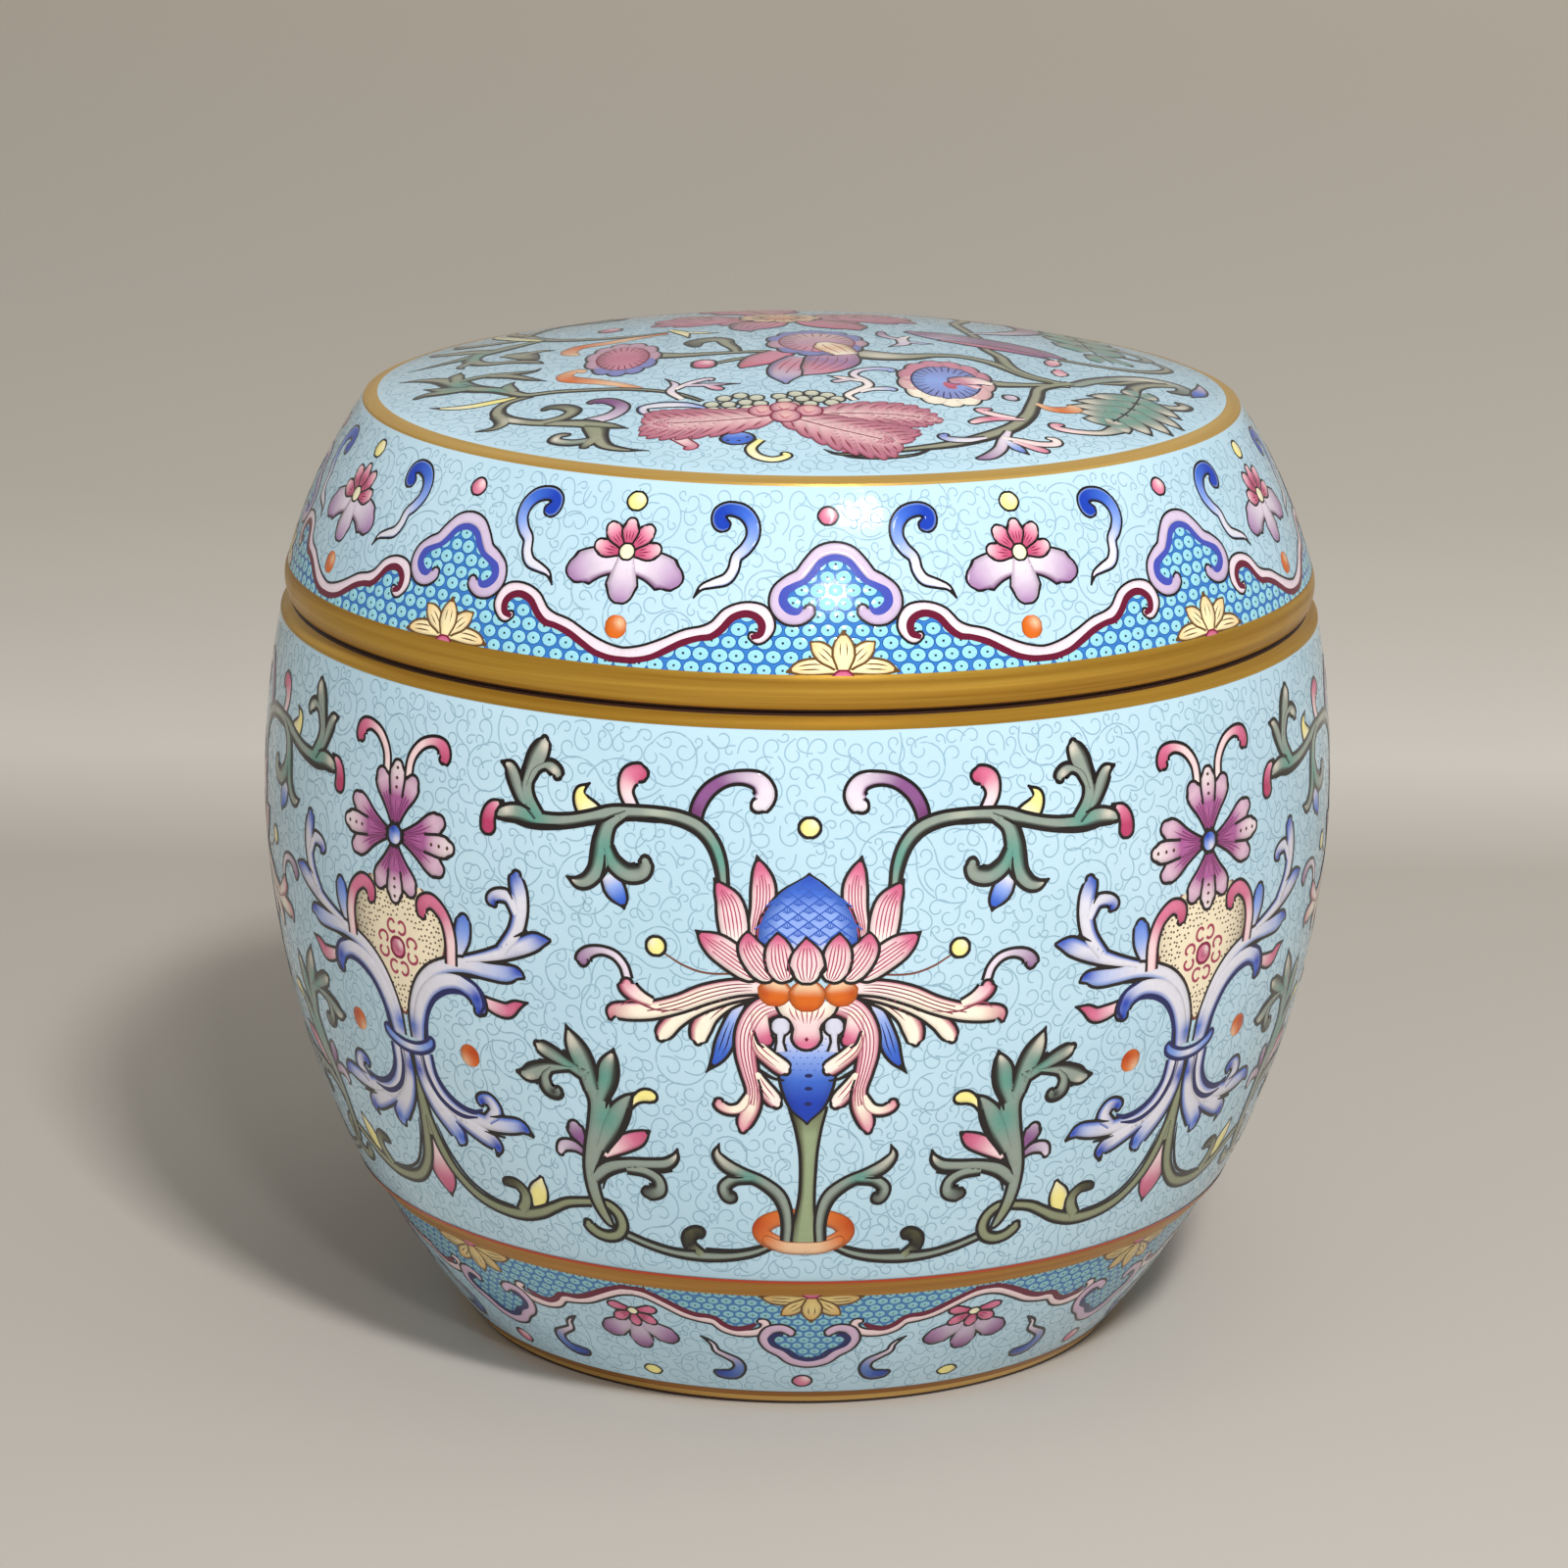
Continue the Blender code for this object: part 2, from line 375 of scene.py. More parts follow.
class Dome:
    """The top of the lid as seen from above: x to the right, y to the back."""

    def place(self, across, height, turn):
        """Surface points, outward normals and the two directions along the surface."""
        radius = np.hypot(across, height)
        level = DOME_EDGE_LEVEL + DOME_RISE * (1.0 - (radius / DOME_RADIUS) ** 2)
        fall = -2.0 * DOME_RISE / DOME_RADIUS ** 2
        side = unit(np.stack([np.ones_like(across), np.zeros_like(across), fall * across], -1))
        up = unit(np.stack([np.zeros_like(across), np.ones_like(across), fall * height], -1))
        normal = unit(np.cross(side, up))
        return np.stack([across, height, level], -1), normal, side, up


def run_lengths(points):
    """Distance along a run of points."""
    steps = np.hypot(*np.diff(np.array(points, float), axis=0).T)
    return np.concatenate([[0.0], np.cumsum(steps)])


# Reference radii of the drawn walls; the repeats at the foot's sides are stretched a little
SHOULDER_REFERENCE = 80.0
FOOT_REFERENCE = 67.5
FOOT_STRETCH = 1.1

BELLY_RUN = belly_points(200)
SHOULDER_RUN = shoulder_points(120)
FOOT_RUN = foot_points(120)
FOOT_DEPTHS = -run_lengths(FOOT_RUN)[::-1]
BELLY = Wall(BELLY_RUN, [level for radius, level in BELLY_RUN], BELLY_RADIUS)
SHOULDER = Wall(SHOULDER_RUN, run_lengths(SHOULDER_RUN), SHOULDER_REFERENCE)
FOOT = Wall(FOOT_RUN[::-1], FOOT_DEPTHS, FOOT_REFERENCE)
FOOT_WIDE = Wall(FOOT_RUN[::-1], FOOT_DEPTHS, FOOT_REFERENCE / FOOT_STRETCH)
TOP = Dome()


def grid_quads(index):
    """Quads between the neighbours in a grid of point numbers."""
    quads = np.stack([index[:-1, :-1], index[1:, :-1], index[1:, 1:], index[:-1, 1:]], -1)
    return quads.reshape(-1, 4)


def make_piece(name, points, quads, material, colours=None, normals=None, uv=None):
    """An object in metres from arrays of points in millimetres and quads."""
    mesh = bpy.data.meshes.new(name)
    points = np.asarray(points, float) * MM
    quads = np.asarray(quads, np.int32)
    mesh.vertices.add(len(points))
    mesh.vertices.foreach_set("co", points.astype(np.float32).ravel())
    mesh.loops.add(quads.size)
    mesh.loops.foreach_set("vertex_index", quads.ravel())
    mesh.polygons.add(len(quads))
    mesh.polygons.foreach_set("loop_start", np.arange(0, quads.size, 4, dtype=np.int32))
    mesh.polygons.foreach_set("use_smooth", np.ones(len(quads), bool))
    mesh.update(calc_edges=True)
    mesh.validate()
    if colours is not None:
        layer = mesh.color_attributes.new("paint", "FLOAT_COLOR", "POINT")
        flat = np.concatenate([colours, np.ones((len(colours), 1))], 1).astype(np.float32)
        layer.data.foreach_set("color", flat.ravel())
    if uv is not None:
        layer = mesh.uv_layers.new(name="OFBake")
        index = np.zeros(len(mesh.loops), np.int32)
        mesh.loops.foreach_get("vertex_index", index)
        layer.data.foreach_set("uv", uv[index].astype(np.float32).ravel())
    if normals is not None:
        mesh.normals_split_custom_set_from_vertices(normals.tolist())
    mesh.materials.append(material)
    piece = bpy.data.objects.new(name, mesh)
    bpy.context.scene.collection.objects.link(piece)
    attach(piece, "root")
    return piece


class Patch:
    """Quads that wait, in flat coordinates, to be laid on a wall."""

    # The square of texture places: room between rectangles and beside them, in millimetres
    UV_GAP = 0.6
    UV_SPARE = 40.0
    UV_WIDENING = 1.08

    def __init__(self):
        self.rows = []
        self.quads = []
        self.count = 0
        self.islands = []

    def add(self, flat, lift, tilt, colours, quads, size):
        """One stroke: points (x, y), lifts, tilts, colours with texture places, quads and size."""
        lift = np.broadcast_to(lift, (len(flat), 1))
        self.rows.append(np.concatenate([flat, lift, tilt, colours], 1))
        self.quads.append(quads + self.count)
        self.islands.append((self.count, len(flat), size))
        self.count += len(flat)

    def packed_uv(self, unit_uv):
        """Each stroke's own rectangle, set on shelves in one square."""
        order = sorted(range(len(self.islands)), key=lambda i: -self.islands[i][2][1])
        gap = self.UV_GAP
        area = sum((size[0] + gap) * (size[1] + gap) for start, count, size in self.islands)
        width = math.sqrt(area) * self.UV_WIDENING
        x = 0.0
        y = 0.0
        shelf = 0.0
        uv = np.zeros((self.count, 2))
        for i in order:
            start, count, size = self.islands[i]
            if x + size[0] > width and x > 0.0:
                x = 0.0
                y += shelf + gap
                shelf = 0.0
            uv[start:start + count] = unit_uv[start:start + count] * size + (x, y)
            x += size[0] + gap
            shelf = max(shelf, size[1])
        return uv / max(width + self.UV_SPARE, y + shelf + gap)

    def lay(self, name, wall, turn, material, painted):
        """Make the object for this patch at one turn around the jar."""
        if not self.rows:
            return None
        rows = np.concatenate(self.rows)
        flat, lift, tilt, colours, unit_uv = np.split(rows, [2, 3, 5, 8], axis=1)
        point, normal, side, up = wall.place(flat[:, 0], flat[:, 1], turn)
        points = point + normal * (lift - GROUND_INSET)
        shading = unit(normal + side * tilt[:, :1] + up * tilt[:, 1:])
        uv = self.packed_uv(unit_uv) if painted else None
        return make_piece(name, points, np.concatenate(self.quads), material,
                          colours if painted else None, shading, uv)


# Points of a smooth run between two given points
RUN_STEPS = 12


def smooth_run(points):
    """A dense curve through given points; the third value is the full width."""
    knots = np.array(points, float)
    padded = np.vstack([2 * knots[0] - knots[1], knots, 2 * knots[-1] - knots[-2]])
    padded[0, 2] = knots[0, 2]
    padded[-1, 2] = knots[-1, 2]
    share = np.linspace(0.0, 1.0, RUN_STEPS, endpoint=False)[:, None]
    out = []
    for a, b, c, d in zip(padded, padded[1:], padded[2:], padded[3:]):
        out.append(0.5 * (2 * b + (c - a) * share + (2 * a - 5 * b + 4 * c - d) * share ** 2
                          + (3 * b - a - 3 * c + d) * share ** 3))
    out.append(knots[-1:])
    run = np.concatenate(out)
    run[:, 2] = np.maximum(run[:, 2], 0.0)
    return run


# Spacing of the points along strokes, drawn lines and petal veins
STROKE_SPACING = 0.55
LINE_SPACING = 0.4
VEIN_SPACING = 0.7


class Strip:
    """The centre line of a brush stroke with its half width, inset all round by a margin."""

    # One step along a stroke: so many spacings, so much bending or so much swelling
    STEP_SPACINGS = 2.4
    STEP_BENDING = 0.30
    STEP_SWELLING = 1.4
    END_POINTS = 5
    SHORTEST = 0.1
    THINNEST = 0.004

    def __init__(self, points, ends, inset=0.0, spacing=STROKE_SPACING):
        run = smooth_run(points)
        length = run_lengths(run[:, :2])
        total = length[-1]
        start = 0.0 if ends[0] == "-" else inset
        stop = total if ends[1] == "-" else total - inset
        if stop - start < self.SHORTEST:
            start = total / 2.0 - self.SHORTEST / 2.0
            stop = total / 2.0 + self.SHORTEST / 2.0
        # Points stand closer where the stroke bends or swells
        direction = unit(np.gradient(run[:, :2], axis=0))
        bending = np.abs(np.diff(np.unwrap(np.arctan2(direction[:, 1], direction[:, 0]))))
        swelling = np.abs(np.diff(run[:, 2]))
        steps = np.cumsum(np.diff(length) / (self.STEP_SPACINGS * spacing)
                          + bending / self.STEP_BENDING + swelling / self.STEP_SWELLING)
        steps = np.concatenate([[0.0], steps])
        low, high = np.interp((start, stop), length, steps)
        at = np.interp(np.linspace(low, high, max(3, int(high - low) + 2)), steps, length)
        first = max(run[0, 2] / 2.0 - inset, 0.05)
        last = max(run[-1, 2] / 2.0 - inset, 0.05)
        rounding = 1.0 - np.cos(np.linspace(0.0, math.pi / 2.0, self.END_POINTS + 1)[:-1])
        if ends[0] == "o":
            at = np.concatenate([at, start + first * rounding])
        if ends[1] == "o":
            at = np.concatenate([at, stop - last * rounding])
        at = np.unique(np.round(np.clip(at, start, stop), 4))
        half = np.interp(at, length, run[:, 2]) / 2.0 - inset
        if ends[0] == "o":
            half = np.minimum(half, self.cap(at - start, first))
        if ends[1] == "o":
            half = np.minimum(half, self.cap(stop - at, last))
        keep = half > 0.0
        if keep.sum() < 2:
            keep[:] = True
        self.half = np.maximum(half, self.THINNEST)[keep]
        at = at[keep]
        self.along = at / total
        self.length = at[-1] - at[0]
        self.centre = np.stack([np.interp(at, length, column) for column in run[:, :2].T], -1)
        direction = unit(np.stack([np.interp(at, length, column) for column in direction.T], -1))
        self.left = np.stack([-direction[:, 1], direction[:, 0]], -1)

    @staticmethod
    def cap(distance, radius):
        """Half width of a round end at a distance from its extremity."""
        inside = np.sqrt(np.maximum(radius ** 2 - (radius - np.minimum(distance, radius)) ** 2, 0.0))
        return np.where(distance < radius, inside, np.inf)

    def grid(self, columns):
        """Points, positions across (-1 to 1, left positive) and quads of a grid on the strip."""
        across = np.linspace(-1.0, 1.0, columns)
        reach = (self.half[:, None] * across)[..., None]
        flat = self.centre[:, None] + self.left[:, None] * reach
        rows = len(self.half)
        index = np.arange(rows * columns).reshape(rows, columns)
        return flat.reshape(-1, 2), np.tile(across, rows), grid_quads(index)


def uncoloured(along, across, flat):
    """No colours of its own: a line takes the colour of its material."""
    return np.zeros((len(flat), 3))


def shifted(axis, points):
    """Points given from an upright axis, as points on the wall."""
    return [(axis + x, *rest) for x, *rest in points]


def flipped(points):
    """The mirror image of points about x = 0."""
    return [(-x, y, width) for x, y, width in points]


def both_sides(axis, points):
    """A run that starts on an axis, with its mirror image before it."""
    return [(2.0 * axis - x, y, width) for x, y, width in points[:0:-1]] + points


def stroke(points, paint, ends="oo", line=0.5, left=None, right=None, veins=None, power=1.0):
    """One brush stroke: its line of (x, y, full width), the colours along it, and its ends.

    Ends are "o" for round, "v" for a point given by the widths, and "-" for open. left and
    right are (colour, reach) of the shading along a side. veins is (count, ink, from, to).
    """
    return dict(points=points, paint=paint, ends=ends, line=line, left=left, right=right,
                veins=veins, power=power)


def dot(x, y, width, height, paint, line=0.5, **more):
    """A round or oval spot."""
    reach = height / 2.0
    points = [(x, y - reach, width), (x, y, width), (x, y + reach, width)]
    return stroke(points, paint, "oo", line, **more)


def oval(x, y, width, height, paint, line=0.4):
    """A true oval, for the larger round forms; the round ends of the stroke close it."""
    points = []
    for i in range(11):
        angle = 0.12 + (math.pi - 0.24) * i / 10.0
        points.append((x, y - height / 2.0 * math.cos(angle), width * math.sin(angle)))
    return stroke(points, paint, "oo", line)


class Canvas:
    """A repeat of the ornament in flat coordinates, painted from back to front."""

    # Cells of the map that holds how many layers of enamel lie at a place
    CELL = 0.25
    COVER_STEP = 0.2
    # Heights within one level, as shares of it
    PAINT_LIFT = 0.35
    NEXT_PAINT_LIFT = 0.07
    LINE_LIFT = 0.9
    # How the grid of a stroke gets its columns, and how its sides roll over
    NARROW_HALF = 1.0
    COLUMNS = 5
    WIDE_COLUMNS = 7
    COLUMN_REACH = 1.6
    ROLL = 0.34
    VEIN_REACH = 0.72
    VEIN_WIDTH = 0.20
    CURTAIN_ROWS = 12

    def __init__(self, low, high):
        self.low = np.array(low, float)
        self.shape = np.ceil((np.array(high) - self.low) / self.CELL).astype(int) + 1
        self.levels = np.zeros(self.shape, int)
        self.enamel = Patch()
        self.inks = {}

    def cells_at(self, flat):
        """Cells of the level map under flat points, and which of the points are on the map."""
        cells = ((flat - self.low) / self.CELL).astype(int)
        return cells, ((cells >= 0) & (cells < self.shape)).all(1)

    def cells_under(self, strips):
        """Cells of the level map that the strips cover."""
        found = []
        for strip in strips:
            columns = max(3, int(strip.half.max() * 2.0 / self.COVER_STEP))
            found.append(strip.grid(columns)[0])
        cells, inside = self.cells_at(np.concatenate(found))
        return tuple(np.unique(cells[inside], axis=0).T)

    def ink(self, name):
        """The patch for the lines of one ink."""
        return self.inks.setdefault(name, Patch())

    def colour(self, spec, along, across, flat, spots):
        """Colours of a stroke's points: along it, at its sides, and near coloured spots."""
        stops = np.array(spec["paint"], float)
        place = np.linspace(0.0, 1.0, len(stops)) if len(stops) > 1 else np.array([0.0])
        share = np.clip(along, 0.0, 1.0) ** spec["power"]
        colour = np.stack([np.interp(share, place, column) for column in stops.T], -1)
        for x, y, reach, tone in spots:
            near = np.exp(-((flat[:, 0] - x) ** 2 + (flat[:, 1] - y) ** 2) / reach ** 2)[:, None]
            colour = colour * (1.0 - near) + np.array(tone) * near
        for side, sign in (("left", 1.0), ("right", -1.0)):
            if spec[side]:
                tone, reach = spec[side]
                near = np.clip((sign * across - 1.0 + reach) / (0.8 * reach), 0.0, 1.0)[:, None]
                near = near * near * (3.0 - 2.0 * near)
                colour = colour * (1.0 - near) + np.array(tone) * near
        # The outline bleeds a little into the colour
        return colour * (1.0 - 0.3 * np.clip((np.abs(across) - 0.5) / 0.5, 0.0, 1.0)[:, None] ** 2)

    def put(self, patch, strip, columns, lift, colour_of, round_over):
        """Add one strip to a patch, with shading normals that roll over at its sides."""
        # A wide stroke needs more columns to follow the round wall
        columns = max(columns, 2 * math.ceil(strip.half.max() / self.COLUMN_REACH) + 1)
        flat, across, quads = strip.grid(columns)
        along = np.repeat(strip.along, columns)
        left = np.repeat(strip.left, columns, axis=0)
        tilt = left * (round_over * across ** 3)[:, None]
        width = strip.half.max() * 2.0
        start = strip.along[0]
        span = max(strip.along[-1] - start, 1e-6)
        unit_uv = np.stack([(along - start) / span, across * 0.5 + 0.5], -1)
        colours = np.concatenate([colour_of(along, across, flat), unit_uv], 1)
        patch.add(flat, lift, tilt, colours, quads, (strip.length, width))

    def single(self, points, paint, ends="oo", line=0.5, lines=(), spots=(), ink="black", mirror=None,
               **more):
        """A group of one stroke."""
        self.group([stroke(points, paint, ends, line, **more)], lines, spots, ink, mirror)

    def group(self, strokes, lines=(), spots=(), ink="black", mirror=None):
        """Strokes that share one outline, and ink lines over them; a mirror axis doubles them."""
        self.group_once(strokes, lines, spots, ink, None)
        if mirror is not None:
            self.group_once(strokes, lines, spots, ink, mirror)

    def group_once(self, strokes, lines, spots, ink, mirror):
        """One group, mirrored about an axis or as it is drawn."""
        outer = [self.strip(spec["points"], spec["ends"], 0.0, mirror) for spec in strokes]
        if outer:
            cells = self.cells_under(outer)
        else:
            cells = self.cells_under([self.strip(points, "vv", 0.0, mirror) for tone, points in lines])
        level = self.levels[cells].max(initial=0) + 1
        self.levels[cells] = level
        base = FIRST_LIFT + level * LEVEL_STEP
        line_lift = base + LEVEL_STEP * self.LINE_LIFT
        if mirror is not None:
            spots = [(2 * mirror - x, y, reach, tone) for x, y, reach, tone in spots]
        for spec, strip in zip(strokes, outer):
            if spec["line"] > 0.0:
                self.put(self.ink(ink), strip, 3, base, uncoloured, 0.0)
        side_flip = -1.0 if mirror is not None else 1.0
        for i, spec in enumerate(strokes):
            strip = self.strip(spec["points"], spec["ends"], spec["line"], mirror)

            def tint(along, across, flat, spec=spec):
                return self.colour(spec, along, across * side_flip, flat, spots)

            columns = self.COLUMNS if strip.half.max() < self.NARROW_HALF else self.WIDE_COLUMNS
            lift = base + LEVEL_STEP * (self.PAINT_LIFT + self.NEXT_PAINT_LIFT * min(i, 6))
            self.put(self.enamel, strip, columns, lift, tint, self.ROLL)
            if spec["veins"]:
                self.veins(strip, spec["veins"], line_lift)
        for tone, points in lines:
            strip = self.strip(points, "vv", 0.0, mirror, LINE_SPACING)
            self.put(self.ink(tone), strip, 3, line_lift, uncoloured, 0.0)

    def veins(self, strip, spec, lift):
        """Fine lines that follow a petal from its base towards its tip."""
        count, ink, first, last = spec
        for j in range(count):
            across = -self.VEIN_REACH + 2.0 * self.VEIN_REACH * (j + 0.5) / count
            stop = last - 0.16 * abs(across)
            inside = (strip.along >= first) & (strip.along <= stop)
            if inside.sum() < 3:
                continue
            path = (strip.centre + strip.left * (strip.half * across)[:, None])[inside]
            width = np.full(len(path), self.VEIN_WIDTH)
            width[[0, -1]] = self.VEIN_WIDTH / 4.0
            every = 2 if len(path) > 6 else 1
            line = Strip(np.column_stack([path, width])[::every], "vv", 0.0, VEIN_SPACING)
            self.put(self.ink(ink), line, 2, lift, uncoloured, 0.0)

    @staticmethod
    def strip(points, ends, inset, mirror, spacing=STROKE_SPACING):
        """The strip of a stroke, mirrored about an axis if there is one."""
        if mirror is not None:
            points = [(2.0 * mirror - x, y, width) for x, y, width in points]
        return Strip(points, ends, inset, spacing)

    def curtain(self, xs, lows, highs, tone):
        """A plain field between two edges that run along the wall."""
        share = np.linspace(0.0, 1.0, self.CURTAIN_ROWS)
        heights = lows[:, None] + (highs - lows)[:, None] * share
        flat = np.stack([np.repeat(xs, self.CURTAIN_ROWS), heights.ravel()], -1)
        index = np.arange(len(flat)).reshape(-1, self.CURTAIN_ROWS)
        unit_uv = (flat - flat.min(0)) / np.maximum(np.ptp(flat, axis=0), 1e-6)
        colours = np.concatenate([np.tile(tone, (len(flat), 1)), unit_uv], 1)
        self.enamel.add(flat, FIRST_LIFT, np.zeros((len(flat), 2)), colours, grid_quads(index),
                        tuple(np.ptp(flat, axis=0)))
        cells, inside = self.cells_at(flat)
        self.levels[tuple(cells[inside].T)] = 1

    def discs(self, centres, width, height, tone, lift, ink=None, grid=4):
        """Small flat discs, drawn as squares pushed out to a circle."""
        line = np.linspace(-1.0, 1.0, grid)
        x, y = (value.ravel() for value in np.meshgrid(line, line, indexing="ij"))
        disc = np.stack([x * np.sqrt(1.0 - y * y / 2.0), y * np.sqrt(1.0 - x * x / 2.0)], -1)
        quads = grid_quads(np.arange(grid * grid).reshape(grid, grid))
        patch = self.ink(ink) if ink else self.enamel
        tilt = disc * (0.0 if ink else 0.10)
        for x, y, scale in centres:
            flat = np.array((x, y)) + disc * (width * scale / 2.0, height * scale / 2.0)
            colours = np.concatenate([np.tile(tone, (len(flat), 1)), disc * 0.5 + 0.5], 1)
            patch.add(flat, lift, tilt, colours, quads, (width * scale, height * scale))

    def covered(self, flat):
        """Whether each flat point lies under painted enamel."""
        cells, inside = self.cells_at(flat)
        out = np.zeros(len(flat), bool)
        out[inside] = self.levels[tuple(cells[inside].T)] > 0
        return out

    def lay(self, prefix, wall, turns, slot):
        """Lay every layer of this repeat on the wall at each turn."""
        layers = {"enamel": self.enamel, **self.inks}
        for number, turn in enumerate(turns, 1):
            for layer, patch in layers.items():
                name = f"{prefix}_{layer}_{number}"
                piece = patch.lay(name, wall, turn, MATERIALS[layer], layer == "enamel")


PETAL_VEINS = (5, "rose_vein", 0.03, 0.88)


def lotus(art):
    """The lotus with its stem, drawn about its own upright axis."""
    axis = LOTUS_AXIS
    petal = dict(paint=[WHITE, WHITE, PINK_PALE, PINK_PALE, PINK, PINK_DEEP], ends="-v",
                 veins=PETAL_VEINS)
    front = dict(petal, ends="ov")
    # Dark spathe leaf and long veined side petals
    art.single([(10.4, 74.4, 0.8), (12.0, 72.4, 2.3), (13.2, 69.6, 2.9), (14.0, 67.0, 3.3),
                (15.0, 64.8, 2.3), (16.8, 62.4, 0.2)], [BLUE_PALE, BLUE_LIGHT, BLUE, BLUE_DEEP], "-v",
               veins=(2, "navy", 0.3, 0.8), mirror=axis)
    for points in ([(9.5, 74.9, 1.8), (13.0, 73.8, 2.5), (15.8, 71.8, 3.2), (17.3, 69.6, 3.8),
                    (17.8, 67.4, 2.8), (18.0, 66.6, 1.6)],
                   [(9.0, 75.6, 2.4), (13.5, 74.8, 3.2), (18.0, 72.8, 3.2), (21.0, 70.6, 3.2),
                    (22.8, 68.6, 3.3), (23.8, 66.8, 1.8)]):
        art.single(points, [PINK_PALE, CREAM, CREAM, CREAM], "-o", left=(PINK_DEEP, 0.62),
                   veins=(2, "vein", 0.1, 0.7), mirror=axis)
    art.single([(28.2, 76.2, 1.9), (28.8, 78.2, 1.9), (30.2, 79.7, 1.9), (32.2, 80.2, 1.9),
                (34.2, 79.7, 2.4), (35.1, 78.5, 3.0), (34.2, 77.7, 2.4)],
               [LILAC_PALE, LILAC_PALE, LILAC, PURPLE], "-o", mirror=axis)
    art.group([
        stroke([(7.5, 76.2, 2.6), (12.0, 76.1, 3.2), (16.5, 74.9, 3.6), (20.5, 73.1, 3.4),
                (24.5, 71.8, 3.4), (28.0, 71.3, 3.4), (30.6, 71.0, 2.8), (31.2, 69.4, 0.7)],
               veins=(3, "vein", 0.05, 0.8), ends="-v", left=(PINK, 0.4),
               paint=[PINK_PALE, WHITE, CREAM, CREAM, CREAM, PINK_DEEP]),
        stroke([(24.6, 72.9, 2.2), (26.8, 73.8, 3.0), (28.3, 75.2, 3.4), (28.0, 76.6, 2.4)],
               [CREAM, PINK_PALE, PINK], "-o", right=(PINK_DEEP, 0.6))],
        lines=[("vein", [(20.0, 72.2, 0.1), (24.0, 71.9, 0.3), (27.6, 73.0, 0.3), (29.4, 72.0, 0.1)])],
        mirror=axis)
    # Stamens
    art.group([],
              lines=[("brown",
                      [(10.0, 78.4, 0.3), (16.0, 78.1, 0.3), (19.6, 79.0, 0.3), (22.6, 80.7, 0.25)])],
              mirror=axis)
    # Yellow balls, each with a painted highlight: a pale spot up and to the right
    art.group([dot(23.9, 81.7, 3.5, 3.5, [YELLOW])], spots=[(24.6, 82.3, 0.8, YELLOW_PALE)],
              mirror=axis)
    art.group([dot(axis, 100.1, 3.8, 3.5, [YELLOW])], spots=[(2.4, 100.8, 0.8, YELLOW_PALE)])
    # Back petals, then the scaled blue bud
    art.single([(9.7, 82.0, 2.4), (9.2, 85.5, 3.0), (8.4, 88.5, 4.0), (8.3, 91.5, 4.1),
                (8.8, 94.0, 2.7), (9.3, 96.1, 0.2)], mirror=axis, **petal)
    art.single([(12.2, 82.5, 4.4), (12.6, 86.0, 5.0), (13.2, 88.8, 4.5), (14.4, 90.8, 2.7),
                (15.5, 92.5, 0.2)], power=0.8, mirror=axis, **petal)
    art.single([(1.6, 81.0, 14.4), (1.6, 84.5, 15.2), (1.6, 87.5, 13.4), (1.6, 90.0, 9.8),
                (1.7, 92.0, 4.8), (1.7, 93.6, 0.2)],
               [BLUE_PALE, BLUE_LIGHT, BLUE_LIGHT, BLUE, BLUE_DEEP], "-v", left=(BLUE, 0.35),
               right=(BLUE, 0.35), lines=bud_scales())
    # Bell below the flower
    art.single([(1.8, 73.0, 11.0), (1.8, 68.0, 12.0), (1.8, 63.5, 9.5), (1.8, 60.0, 8.0),
                (1.8, 57.0, 5.4), (1.9, 54.4, 0.3)],
               [LILAC_PALE, BLUE_PALE, BLUE_LIGHT, BLUE, BLUE_DEEP, BLUE_DEEP], "-v", lines=bell_dots())
    stripes = dict(veins=(2, "rose_vein", 0.06, 0.8), left=(PINK_DEEP, 0.6))
    art.group([
        stroke([(5.5, 74.0, 4.0), (8.6, 72.6, 4.3), (10.4, 69.6, 4.2), (10.7, 66.2, 3.9),
                (10.2, 63.0, 3.4), (9.6, 60.0, 3.0), (9.9, 57.4, 3.4), (10.9, 54.9, 3.2),
                (11.5, 52.6, 1.6)], [PINK_PALE, WHITE, PINK_PALE, PINK_PALE, CREAM, PINK], "-o",
               veins=(4, "rose_vein", 0.03, 0.88), right=(PINK_DEEP, 0.55), left=(PINK, 0.45)),
        stroke([(10.2, 59.0, 2.2), (11.6, 57.0, 2.4), (13.4, 56.6, 2.3), (14.8, 57.4, 2.4),
                (14.7, 58.7, 1.9)], [CREAM, CREAM, PINK], "-o", right=(PINK_DEEP, 0.5)),
        stroke([(9.8, 69.5, 2.0), (8.8, 66.8, 3.0), (7.0, 65.0, 3.2), (5.2, 63.6, 3.2),
                (4.2, 62.6, 1.8)], [CREAM, CREAM, WHITE], "-o", **stripes),
        stroke([(9.2, 62.8, 2.0), (8.2, 60.6, 3.0), (6.7, 58.6, 3.2), (5.6, 57.0, 2.0)], [CREAM, WHITE],
               "-o", **stripes),
        stroke([(8.8, 72.6, 3.4), (8.6, 70.0, 3.6), (7.8, 68.3, 3.1), (6.4, 67.7, 2.7)],
               [CREAM, PINK_PALE, PINK, PINK_DEEP], "-o")],
        lines=[("black", [(8.7, 63.2, 0.7), (6.6, 62.0, 0.5), (5.0, 61.7, 0.3)]),
               ("black", [(9.6, 69.6, 0.5), (8.9, 67.6, 0.5), (8.0, 66.9, 0.3)]),
               ("black", [(8.3, 58.4, 0.4), (8.5, 60.2, 0.5), (8.9, 61.8, 0.3)])], mirror=axis)
